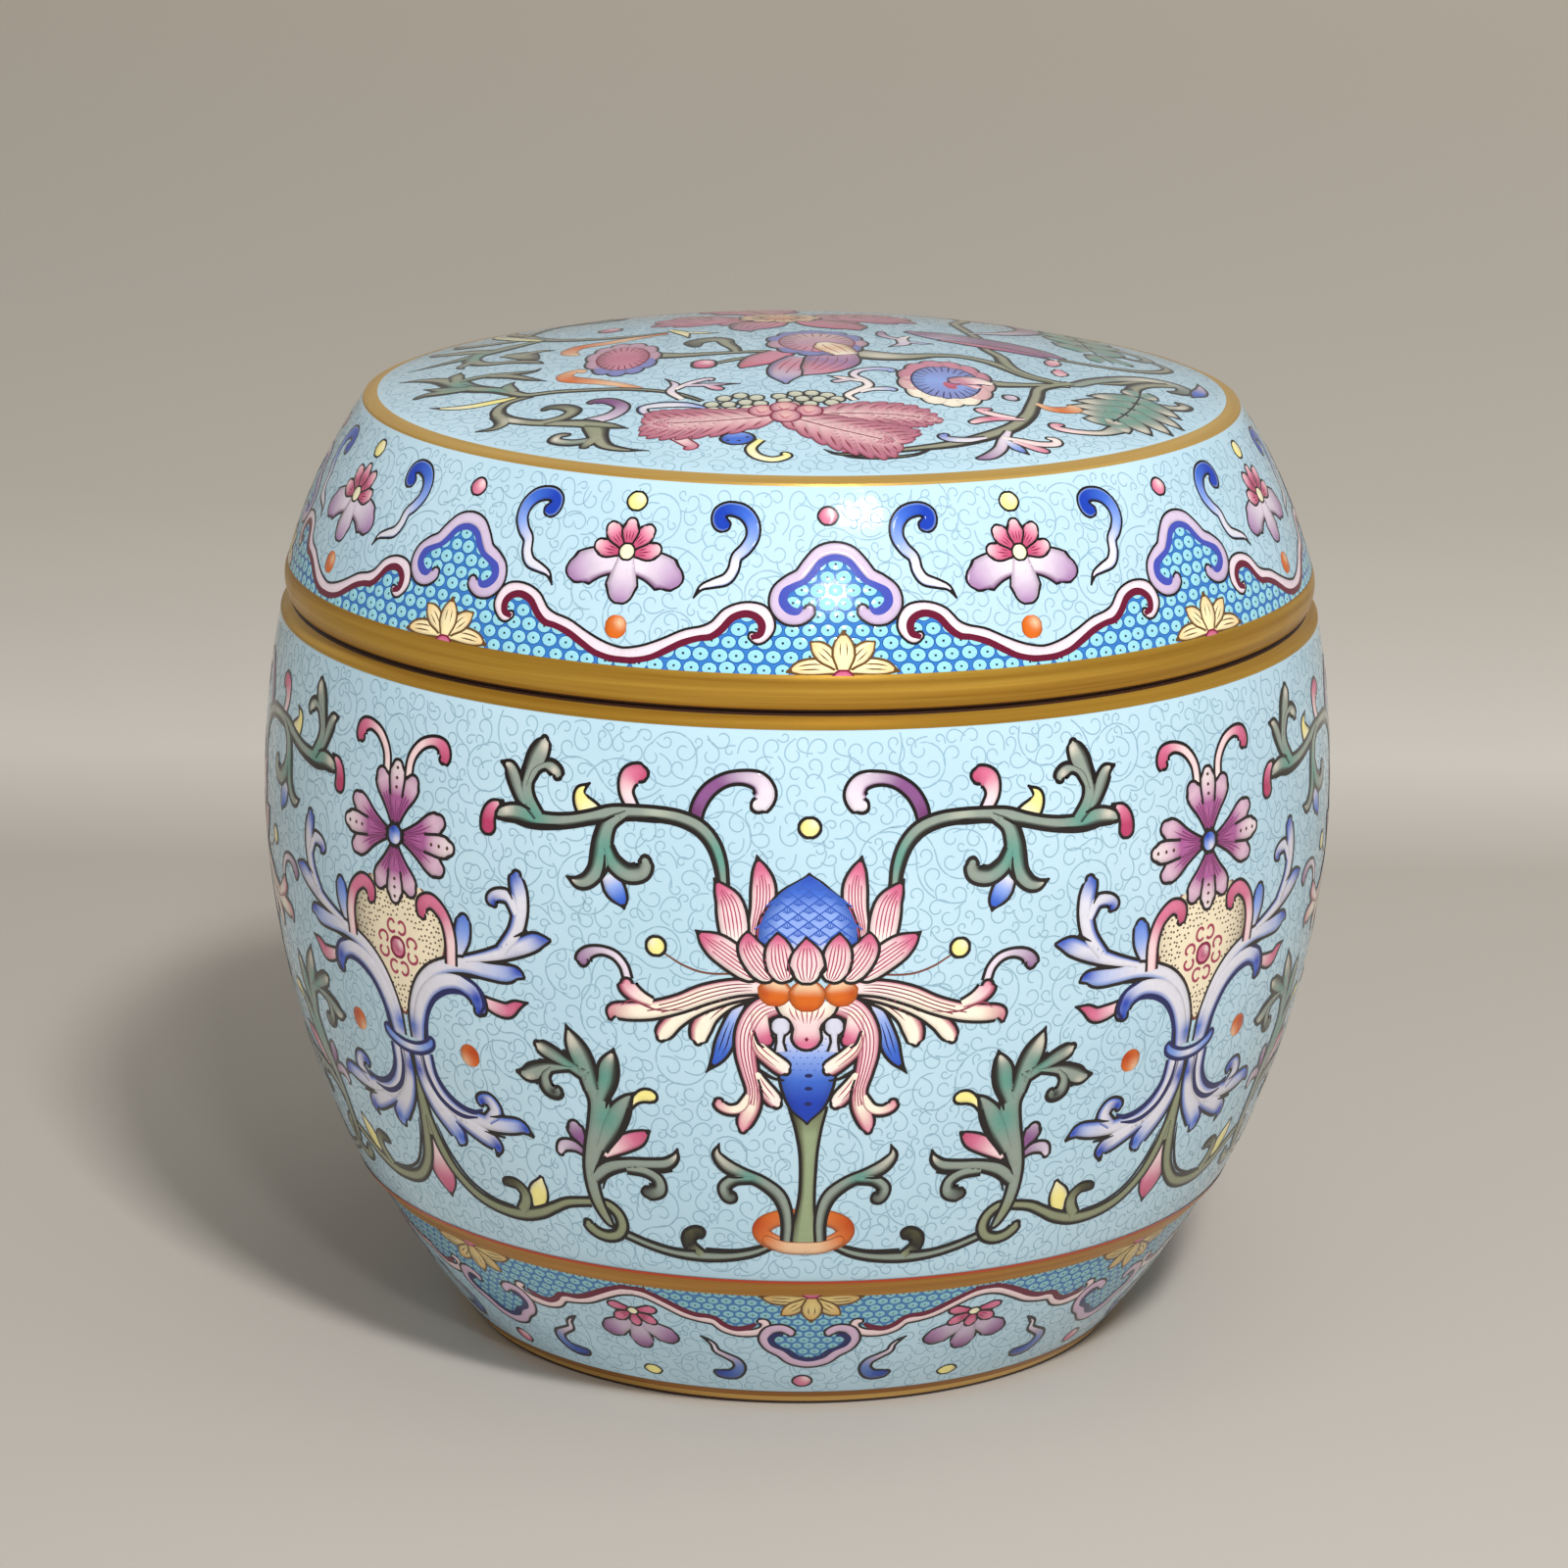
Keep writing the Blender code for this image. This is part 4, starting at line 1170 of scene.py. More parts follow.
    # Lower acanthus leaves
    art.group([
        stroke([(3.3, 58.0, 3.4), (3.6, 54.5, 3.5), (5.2, 51.3, 3.6), (8.2, 49.2, 3.6),
                (11.5, 48.9, 3.4), (14.6, 48.8, 3.4), (18.0, 49.1, 3.5), (21.0, 49.4, 2.9),
                (23.2, 48.0, 0.6)], ends="-v", left=shade, **band),
        stroke([(7.0, 49.0, 3.4), (10.2, 47.4, 3.6), (13.2, 46.2, 3.9), (15.3, 45.0, 2.8),
                (14.7, 43.0, 0.6)], ends="-v", right=shade, **band),
        stroke([(14.4, 49.2, 2.6), (16.4, 51.0, 3.2), (15.6, 52.8, 2.9), (13.8, 52.6, 2.4),
                (13.7, 51.2, 1.5)], ends="-o", right=shade, **band),
        stroke([(1.2, 58.0, 2.4), (1.6, 53.2, 3.0), (3.4, 49.6, 4.0), (6.0, 46.8, 4.6),
                (7.2, 44.9, 3.8), (6.6, 43.1, 1.4)], ends="-o", right=shade, **band)],
        lines=[("navy",
                [(4.6, 58.0, 0.5), (5.0, 54.6, 0.9), (6.7, 52.1, 1.0), (9.1, 50.6, 1.0),
                 (11.7, 50.1, 0.9), (13.8, 50.9, 0.4)]),
               ("navy",
                [(2.6, 57.6, 0.4), (2.9, 54.4, 0.8), (4.4, 51.4, 0.9), (6.8, 49.6, 0.9),
                 (9.4, 48.9, 0.8), (12.4, 49.3, 0.3)]),
               ("navy", [(7.2, 47.6, 0.3), (8.6, 46.0, 0.7), (8.4, 44.4, 0.6)]),
               ("black", [(15.0, 50.0, 0.2), (16.6, 50.3, 0.5), (18.2, 50.9, 0.4)]),
               ("black", [(13.2, 47.2, 0.2), (15.0, 47.0, 0.5), (17.4, 46.9, 0.4)])],
        spots=[(22.2, 49.4, 1.8, BLUE_DEEP), (15.4, 44.8, 1.7, BLUE_DEEP), (14.0, 52.4, 1.4, BLUE_DEEP),
               (13.9, 50.6, 1.0, BLUE_DEEP), (7.9, 45.0, 1.5, BLUE), (0.8, 55.0, 1.6, BLUE_DEEP)],
        mirror=0.0)
    art.single([(-5.5, 61.2, 1.8), (-4.7, 59.7, 2.2), (-2.4, 58.6, 2.3), (0.0, 58.3, 2.3),
                (2.4, 58.6, 2.3), (4.7, 59.7, 2.2), (5.5, 61.2, 1.8)],
               [BLUE, BLUE_LIGHT, BLUE_PALE, BLUE_LIGHT, BLUE], "oo", 0.6, right=(BLUE, 0.4),
               ink="navy")
    # Pink shoulder curls of the pod
    art.single([(11.2, 73.8, 2.6), (11.3, 78.0, 2.7), (10.2, 81.2, 2.7), (7.9, 83.0, 2.9),
                (6.0, 82.4, 3.0), (5.8, 80.8, 2.5), (6.5, 79.9, 1.6)],
               [PINK_PALE, PINK_PALE, PINK, PINK, PINK_DEEP], "-o", left=(PINK, 0.4), mirror=0.0)
    # Curls over the flower
    art.single([(2.4, 99.6, 2.1), (2.7, 103.4, 2.1), (4.5, 105.9, 2.1), (7.0, 106.9, 2.1),
                (9.0, 106.4, 2.8), (9.4, 104.9, 3.0), (8.4, 104.2, 1.8)],
               [WHITE, PINK_PALE, PINK_PALE, PINK, PINK_DEEP], "-o", mirror=0.0)
    four_petals(art)


def pod_stipple():
    """Fine dots over the cream pod, thinning out around the rosette in its middle."""
    lines = []
    rng = random.Random(7)
    for row in range(22):
        level = 64.8 + 0.9 * row
        reach = 9.6 * min(1.0, (level - 63.4) / 12.0)
        for i in range(-11, 12):
            x = 0.88 * (i + 0.5 * (row % 2)) + rng.uniform(-0.22, 0.22)
            clear = math.hypot(x, level - POD_MIDDLE) - 4.5
            if abs(x) > reach or clear < 1.6 * rng.random():
                continue
            lift = rng.uniform(-0.24, 0.24)
            lines.append(("umber", [(x - 0.2, level + lift, 0.16), (x, level + lift, 0.38),
                                    (x + 0.2, level + lift, 0.16)]))
    return lines


def rosette():
    """Four pairs of small pink curls around the middle of the pod."""
    lines = []
    for quarter in range(4):
        turn = math.pi / 2.0 * quarter
        for side in (-1.0, 1.0):
            points = []
            for i in range(9):
                angle = -2.4 + 5.0 * i / 8.0
                x = side * (1.1 + 1.0 * math.cos(angle) * (1.0 - 0.03 * i))
                y = 3.2 + 1.0 * math.sin(angle)
                points.append((x * math.cos(turn) - y * math.sin(turn),
                               POD_MIDDLE + x * math.sin(turn) + y * math.cos(turn), 0.46))
            lines.append(("rosette_ink", points))
    return lines


def four_petals(art):
    """The purple flower: four petals of three lobes, the middle lobe dotted."""
    centre = 91.7
    plum = srgb(138, 50, 112)
    mallow = srgb(164, 88, 144)
    orchid = srgb(212, 178, 196)
    pale = srgb(222, 204, 208)
    reach = {0: 11.6, 1: 12.6, 2: 10.8, 3: 12.6}
    for quarter in (2, 1, 3, 0):
        turn = -math.pi / 2.0 * quarter
        far = reach[quarter]

        def placed(points, turn=turn):
            """Points of the upright petal, turned about the middle of the flower."""
            return [(x * math.cos(turn) - y * math.sin(turn),
                     centre + x * math.sin(turn) + y * math.cos(turn), w) for x, y, w in points]

        side = [(0.4, 1.2, 1.0), (1.5, far * 0.40, 2.8), (3.0, far * 0.64, 4.0), (4.1, far * 0.84, 3.0)]
        web = [(0.0, 1.2, 1.0), (0.0, far * 0.36, 3.6), (0.0, far * 0.60, 4.4)]
        middle = [(0.0, far * 0.50, 3.2), (0.0, far * 0.78, 4.0), (0.0, far, 2.8)]
        lobe = dict(ends="-o", line=0.5, veins=(3, "plum_ink", 0.05, 0.75))
        tips = [(x, y, 1.9, PURPLE) for x, y, w in placed([(-4.9, far * 0.92, 0.0), (4.9, far * 0.92, 0.0)])]
        fan = [stroke(placed(points), [plum, mallow, mallow, orchid, orchid], **lobe)
               for points in (side, flipped(side))]
        art.group(fan + [stroke(placed(web), [plum, mallow, mallow], **lobe)], spots=tips)
        dots = []
        for share in (0.62, 0.74, 0.87):
            dots.append(("umber", placed([(-0.3, far * share, 0.2), (0.0, far * share, 0.62),
                                          (0.3, far * share, 0.2)])))
        art.single(placed(middle), [mallow, orchid, pale, pale], "-o", lines=dots)
    art.group([dot(0.0, centre, 3.7, 3.9, [BLUE_LIGHT, BLUE], 0.55)],
              spots=[(0.5, centre - 0.8, 0.8, BLUE_PALE), (-0.5, centre + 1.0, 0.8, BLUE_DEEP)])


def honeycomb(art, edge, sign, limits, tone, cell_tone, size):
    """Scale field between a gilt edge (height 0) and an outline, mirrored about its first point."""
    xs = [x for x, y in edge]
    tops = [y for x, y in edge]
    axis = xs[0]
    line = np.arange(limits[0], limits[1] + 0.001, 0.7)
    outline = np.interp(np.abs(line - axis) + axis, xs, tops)
    if sign > 0.0:
        art.curtain(line, 0.0 * outline, outline, tone)
    else:
        art.curtain(line, -outline, 0.0 * outline, tone)
    pitch = CELL_PITCH * size
    rise = CELL_RISE * size
    rng = random.Random(5)
    centres = []
    for row in range(int(max(tops) / rise) + 1):
        level = (0.39 + row) * rise
        for i in range(-40, 41):
            x = axis + pitch * (i + 0.5 * (row % 2))
            top = np.interp(abs(x - axis) + axis, xs, tops) + 0.2
            if limits[0] <= x <= limits[1] and level <= top:
                centres.append((x + rng.uniform(-0.12, 0.12) * size,
                                sign * (level + rng.uniform(-0.1, 0.1) * size),
                                size * rng.uniform(0.92, 1.06)))
    # Each scale is three discs, one over the other
    art.discs(centres, 2.58, 2.12, tone, FIRST_LIFT + 0.002, "cell_blue")
    art.discs(centres, 2.28, 1.84, cell_tone, FIRST_LIFT + 0.005)
    art.discs(centres, 0.50, 0.44, tone, FIRST_LIFT + 0.008, "dark_dot", 2)


def half_flower(art, x, sign, scale, tones):
    """Yellow daisy half hidden by the gilt edge that it grows from."""
    def placed(points, side=1.0):
        """Points of the upright daisy, scaled and set on the edge."""
        return [(x + side * a * scale, sign * b * scale, w * scale) for a, b, w in points]

    petal = dict(paint=tones, ends="-v", line=0.36, veins=(2, "gold_brown", 0.25, 0.8))
    low = [(0.8, 0.9, 1.6), (3.6, 1.3, 2.7), (6.2, 1.1, 2.3), (8.2, 0.5, 0.3)]
    high = [(0.8, 1.2, 1.4), (2.4, 2.9, 3.0), (3.8, 4.1, 2.4), (4.8, 4.9, 0.3)]
    for points in (low, high):
        for side in (-1.0, 1.0):
            art.single(placed(points, side), ink="gold_brown", **petal)
    middle = [(0.0, 0.8, 2.0), (0.1, 2.8, 3.6), (0.1, 4.8, 3.0), (0.1, 6.6, 0.3)]
    art.single(placed(middle), ink="gold_brown", **petal)
    art.single(placed([(0.0, 0.0, 4.0), (0.0, 1.0, 3.6)]), [PINK, PINK_DEEP], "-o", 0.3, ink="crimson")


def lid_unit(art):
    """One repeat of the lid's side: scale field, wave border, ruyi head, curls and floret."""
    axis = LID_AXIS + LID_RUYI_SHIFT
    floret = LID_AXIS + math.pi * 10.0
    honeycomb(art,
              shifted(axis, [(0.0, 17.9), (4.0, 16.0), (6.0, 14.0), (8.4, 12.0), (9.2, 10.0),
                             (9.5, 8.4), (11.0, 8.4), (14.0, 8.8), (16.5, 7.4), (19.0, 5.6),
                             (22.0, 4.8), (25.0, 3.4), (28.0, 2.1), (30.0, 1.7)]), 1.0,
              (2.0 * LID_AXIS - floret, floret), CELL_BLUE_LID, CELL_PALE_LID, 1.0)
    half_flower(art, axis + 0.9, 1.0, 1.0,
                [srgb(246, 226, 172), srgb(244, 226, 180), srgb(226, 190, 130)])
    # Wave border
    art.single(shifted(axis, [(13.0, 5.9, 1.5), (11.3, 5.2, 2.0), (9.9, 6.9, 2.2), (10.9, 9.0, 2.3),
                              (13.4, 9.5, 2.2), (16.0, 8.6, 2.3), (17.8, 6.7, 2.3), (19.6, 5.8, 2.2),
                              (22.2, 5.1, 2.3), (25.2, 3.6, 2.4), (28.2, 2.4, 2.4), (31.0, 1.8, 2.4),
                              (33.6, 1.8, 2.4)]), [srgb(228, 210, 220)], "o-", 0.38,
               lines=[("claret",
                       shifted(axis, [(12.5, 5.3, 0.7), (11.2, 5.9, 1.1), (11.0, 7.3, 1.2),
                                      (12.0, 8.4, 1.1), (13.6, 8.7, 1.1), (15.4, 8.0, 1.1),
                                      (16.9, 6.3, 1.1), (18.4, 5.2, 1.0), (20.2, 4.9, 0.9),
                                      (22.6, 4.1, 1.0), (25.0, 2.8, 1.0), (27.2, 1.7, 0.9),
                                      (30.0, 1.1, 0.9), (33.6, 1.1, 0.9)]))], mirror=axis)
    # Ruyi head
    head = shifted(axis, [(0.0, 18.4, 2.4), (2.4, 17.8, 2.4), (4.2, 16.0, 2.4), (5.4, 14.5, 2.3),
                          (7.1, 13.5, 2.4), (8.7, 12.0, 2.5), (8.9, 10.0, 2.5), (7.5, 8.4, 2.4),
                          (5.6, 8.2, 2.4), (4.1, 9.2, 2.4), (4.2, 10.4, 2.1)])
    blue = shifted(axis, [(0.0, 17.1, 1.0), (2.1, 16.4, 1.1), (3.5, 14.7, 1.1), (4.7, 13.6, 0.9),
                          (6.2, 12.9, 1.0), (7.6, 12.0, 1.3), (7.9, 10.6, 1.4), (7.0, 9.5, 1.3),
                          (5.8, 9.2, 1.0), (5.0, 9.9, 0.4)])
    art.single(both_sides(axis, head), RUYI_TONES, "oo", 0.38,
               lines=[("royal", both_sides(axis, blue))])
    # Blue curls
    art.single([(18.8, 21.4, 2.2), (20.6, 21.9, 2.9), (20.9, 23.3, 2.7), (19.4, 24.1, 2.5),
                (17.0, 23.6, 2.7), (15.5, 22.0, 2.7), (15.3, 20.0, 2.5), (16.3, 18.2, 2.3),
                (17.6, 16.9, 2.1), (18.0, 15.0, 2.1), (19.0, 13.6, 2.1), (21.0, 12.9, 1.7),
                (22.7, 12.2, 1.1), (23.8, 10.6, 0.3)],
               [BLUE_DEEP, BLUE_DEEP, BLUE, BLUE_LIGHT, BLUE_PALE, BLUE_PALE, LILAC_PALE], "ov", 0.38,
               right=(BLUE_LIGHT, 0.2), mirror=LID_AXIS)
    # Pink, yellow and orange balls, each with a painted highlight: a pale spot up and to the right
    art.group([dot(axis - 1.0, 23.3, 3.8, 3.2, [PINK], 0.36)],
              spots=[(axis - 0.4, 23.9, 0.9, PINK_PALE)])
    art.group([dot(floret + 0.1, 24.4, 4.0, 3.4, [YELLOW], 0.36)],
              spots=[(floret + 0.8, 25.0, 0.9, YELLOW_PALE)])
    art.group([dot(floret, 5.7, 3.5, 3.5, [ORANGE], 0.0)],
              spots=[(floret + 0.6, 6.3, 0.8, ORANGE_PALE)])
    # Floret: lilac drops below, pink petals above
    drop = dict(ends="-o", line=0.36)
    skirt = [LILAC_PALE, LILAC_PALE, srgb(206, 190, 208), srgb(184, 156, 188), srgb(140, 96, 146)]
    lobe = [(0.6, 15.3, 3.8), (4.4, 14.8, 5.0), (7.4, 13.3, 5.8), (8.6, 11.6, 4.8)]
    art.group([
        stroke(shifted(floret, flipped(lobe)), skirt, left=(PURPLE, 0.25), **drop),
        stroke(shifted(floret, lobe), skirt, right=(PURPLE, 0.25), **drop),
        stroke(shifted(floret, [(0.0, 16.0, 3.4), (0.0, 13.4, 4.8), (0.0, 11.0, 5.6), (0.0, 8.8, 4.6)]),
               skirt, left=(LILAC, 0.4), right=(LILAC, 0.4), **drop)])
    pink = dict(paint=[PINK_DEEP, PINK, PINK_PALE], ends="-o", line=0.36,
                veins=(3, "crimson", 0.05, 0.6))
    for petal in ([(-1.2, 16.6, 1.6), (-3.5, 16.9, 3.0), (-5.7, 17.7, 2.5)],
                  [(-0.8, 17.4, 1.5), (-2.4, 19.2, 3.2), (-3.9, 20.9, 2.5)]):
        art.single(shifted(floret, petal), mirror=floret, **pink)
    art.single(shifted(floret, [(0.0, 17.6, 1.6), (0.0, 19.8, 3.3), (0.0, 22.0, 2.4)]), **pink)
    art.group([dot(floret, 16.7, 3.0, 2.9, [YELLOW_PALE], 0.34)])


def foot_unit(art):
    """One repeat of the foot: the same border hung from the waist, squeezed a little."""
    axis = FOOT_AXIS + FOOT_RUYI_SHIFT
    floret = FOOT_AXIS - 27.9
    honeycomb(art,
              shifted(axis, [(0.0, 16.4), (3.0, 15.4), (5.0, 13.6), (7.2, 11.6), (7.8, 9.8), (7.9, 8.2),
                             (9.0, 8.4), (12.2, 8.4), (14.6, 7.2), (17.4, 6.2), (20.0, 5.0),
                             (22.6, 3.6), (25.2, 2.0), (27.0, 1.5)]), -1.0,
              (floret, 2.0 * FOOT_AXIS - floret), CELL_BLUE_FOOT, CELL_PALE_FOOT, FOOT_CELL_SIZE)
    half_flower(art, axis, -1.0, 0.98, [srgb(206, 178, 108), srgb(214, 190, 128), srgb(196, 150, 84)])
    art.single(shifted(axis, [(-8.6, -6.3, 1.5), (-7.2, -6.6, 1.9), (-7.3, -8.1, 2.0),
                              (-9.0, -9.2, 2.1), (-11.6, -9.4, 2.1), (-13.8, -8.6, 2.1),
                              (-15.3, -7.0, 2.1), (-17.4, -6.6, 2.0), (-20.0, -5.8, 2.1),
                              (-22.6, -4.2, 2.1), (-25.2, -2.7, 2.1), (-27.4, -2.1, 2.1),
                              (-30.0, -2.1, 2.1)]), [srgb(232, 206, 208)], "o-", 0.4,
               lines=[("claret",
                       shifted(axis, [(-8.6, -7.0, 0.7), (-10.0, -8.0, 1.2), (-12.0, -8.4, 1.2),
                                      (-13.7, -7.6, 1.1), (-14.9, -6.3, 1.0), (-16.2, -5.8, 1.0),
                                      (-18.0, -5.7, 1.1), (-20.0, -4.9, 1.1), (-22.2, -3.5, 1.1),
                                      (-24.4, -2.2, 1.0), (-26.4, -1.4, 0.9), (-30.0, -1.2, 0.9)]))],
               mirror=axis)
    head = shifted(axis, [(0.0, -17.0, 2.3), (-2.9, -16.2, 2.3), (-4.7, -14.3, 2.3), (-6.6, -12.7, 2.4),
                          (-7.4, -10.6, 2.4), (-6.5, -8.5, 2.4), (-4.6, -7.9, 2.3), (-3.2, -8.8, 2.2),
                          (-3.1, -10.0, 1.7)])
    blue = shifted(axis, [(0.0, -15.8, 1.1), (-2.1, -15.1, 1.1), (-3.3, -13.7, 1.0), (-4.7, -12.9, 0.9),
                          (-5.9, -12.0, 1.1), (-6.3, -10.6, 1.2), (-5.4, -9.5, 1.1), (-4.3, -9.6, 0.6)])
    art.single(both_sides(axis, head), [srgb(202, 172, 196)], "oo", 0.42,
               lines=[("navy", both_sides(axis, blue))])
    tones = [srgb(20, 46, 130), srgb(40, 76, 160), srgb(96, 124, 184), LILAC, LILAC_PALE, LILAC_PALE]
    art.single([(-14.2, -19.8, 1.8), (-12.6, -20.6, 2.8), (-10.4, -20.4, 3.1), (-9.2, -18.6, 2.7),
                (-9.6, -16.8, 2.3), (-11.2, -15.6, 1.9), (-12.8, -14.4, 1.7), (-13.2, -12.8, 1.4),
                (-14.2, -11.6, 1.0), (-15.2, -10.8, 0.3)], tones, "ov", 0.52, mirror=FOOT_AXIS)
    # Pink ball with a painted highlight: a pale spot up and to the right
    art.group([dot(FOOT_AXIS, -21.8, 4.2, 3.6, [PINK], 0.42)],
              spots=[(FOOT_AXIS + 0.8, -21.0, 1.0, PINK_PALE)])
    art.group([dot(floret - 0.2, -21.6, 4.2, 3.0, [YELLOW], 0.38)])
    drop = dict(ends="-o", line=0.4)
    skirt = [LILAC, LILAC, srgb(160, 118, 158), PURPLE_DEEP]
    lobe = [(0.8, -9.6, 3.0), (3.0, -10.6, 4.0), (5.0, -12.0, 4.8), (6.2, -13.6, 4.2)]
    middle = [(0.0, -9.6, 3.0), (0.0, -12.0, 4.2), (0.0, -14.2, 4.8), (0.0, -16.0, 3.8)]
    art.group([stroke(shifted(floret, points), skirt, **drop)
               for points in (flipped(lobe), lobe, middle)])
    pink = dict(paint=[PINK_DEEP, PINK, PINK], ends="-o", line=0.38, veins=(2, "crimson", 0.05, 0.6))
    for petal in ([(-0.8, -6.3, 1.4), (-2.9, -5.9, 2.4), (-4.4, -5.7, 1.9)],
                  [(-0.6, -7.2, 1.4), (-2.4, -8.2, 2.6), (-3.8, -9.2, 2.0)]):
        art.single(shifted(floret, petal), mirror=floret, **pink)
    art.single(shifted(floret, [(0.0, -7.4, 1.6), (0.0, -9.0, 2.6), (0.0, -10.4, 2.0)]), **pink)
    art.group([dot(floret, -6.6, 2.4, 2.0, [YELLOW_PALE], 0.34)])


# Width of a lobe along its length, in shares of the pitch
SCALLOP = ((0.0, 1.3), (0.45, 1.5), (0.8, 1.1), (1.0, 0.5))
SPIKE = ((0.0, 1.2), (0.45, 1.1), (0.75, 0.7), (1.0, 0.1))


def feathered(art, spine, count, lean, tones, line, rib, ink="black", mark=None, ends="-o"):
    """A serrated leaf or petal: lobes on both sides of a spine; the third value is its width."""
    run = smooth_run(spine)
    length = run_lengths(run[:, :2])
    ahead = unit(np.gradient(run[:, :2], axis=0))
    lobes = []
    lines = []
    pitch = length[-1] / count
    for i in range(count):
        at = length[-1] * (i + 0.35) / count
        x, y, width = (np.interp(at, length, column) for column in run.T)
        along = np.array([np.interp(at, length, ahead[:, 0]), np.interp(at, length, ahead[:, 1])])
        for side in (1.0, -1.0):
            away = np.array([-along[1], along[0]]) * side * math.cos(lean) + along * math.sin(lean)
            reach = width / 2.0 / math.cos(lean)
            points = [(x + away[0] * reach * s, y + away[1] * reach * s, pitch * w)
                      for s, w in (SPIKE if ends == "-v" else SCALLOP)]
            lobes.append(stroke(points, tones, ends, line))
            if mark:
                lines.append((mark, [(x + away[0] * reach * s, y + away[1] * reach * s, w)
                                     for s, w in ((0.42, 0.1), (0.6, 0.42), (0.8, 0.1))]))
    tip = [tuple(point) for point in run[-14::4]]
    lobes.append(stroke([(x, y, max(width * 0.5, 0.3)) for x, y, width in tip], tones[-2:], "-v", line))
    lines.append((rib, [(x, y, 0.34) for x, y, width in spine[:-1]]))
    art.group(lobes, lines=lines, ink=ink)


def frilled(art, centre, size, frill, heart, count, heart_share, mark):
    """A shell-like bloom: a ring of round frills about a veined heart."""
    x, y = centre
    width, depth = size
    ring = []
    for i in range(count):
        angle = math.tau * i / count
        tone = frill[0] if math.sin(angle) > 0.2 else frill[1] if math.sin(angle) > -0.5 else frill[2]
        ring.append(oval(x + 0.36 * width * math.cos(angle), y + 0.36 * depth * math.sin(angle),
                         width * 0.34, depth * 0.34, [tone]))
    ring.append(oval(x, y, width * 0.72, depth * 0.72, [frill[1]]))
    art.group(ring)
    lines = []
    for i in range(2 * count):
        angle = math.tau * i / (2 * count)
        lines.append((mark, [(x + reach * width * math.cos(angle), y + reach * depth * math.sin(angle), w)
                             for reach, w in ((0.22, 0.1), (0.29, 0.26), (0.37, 0.1))]))
    art.group([oval(x, y, width * heart_share, depth * heart_share, heart, 0.35)], lines=lines, ink=mark)


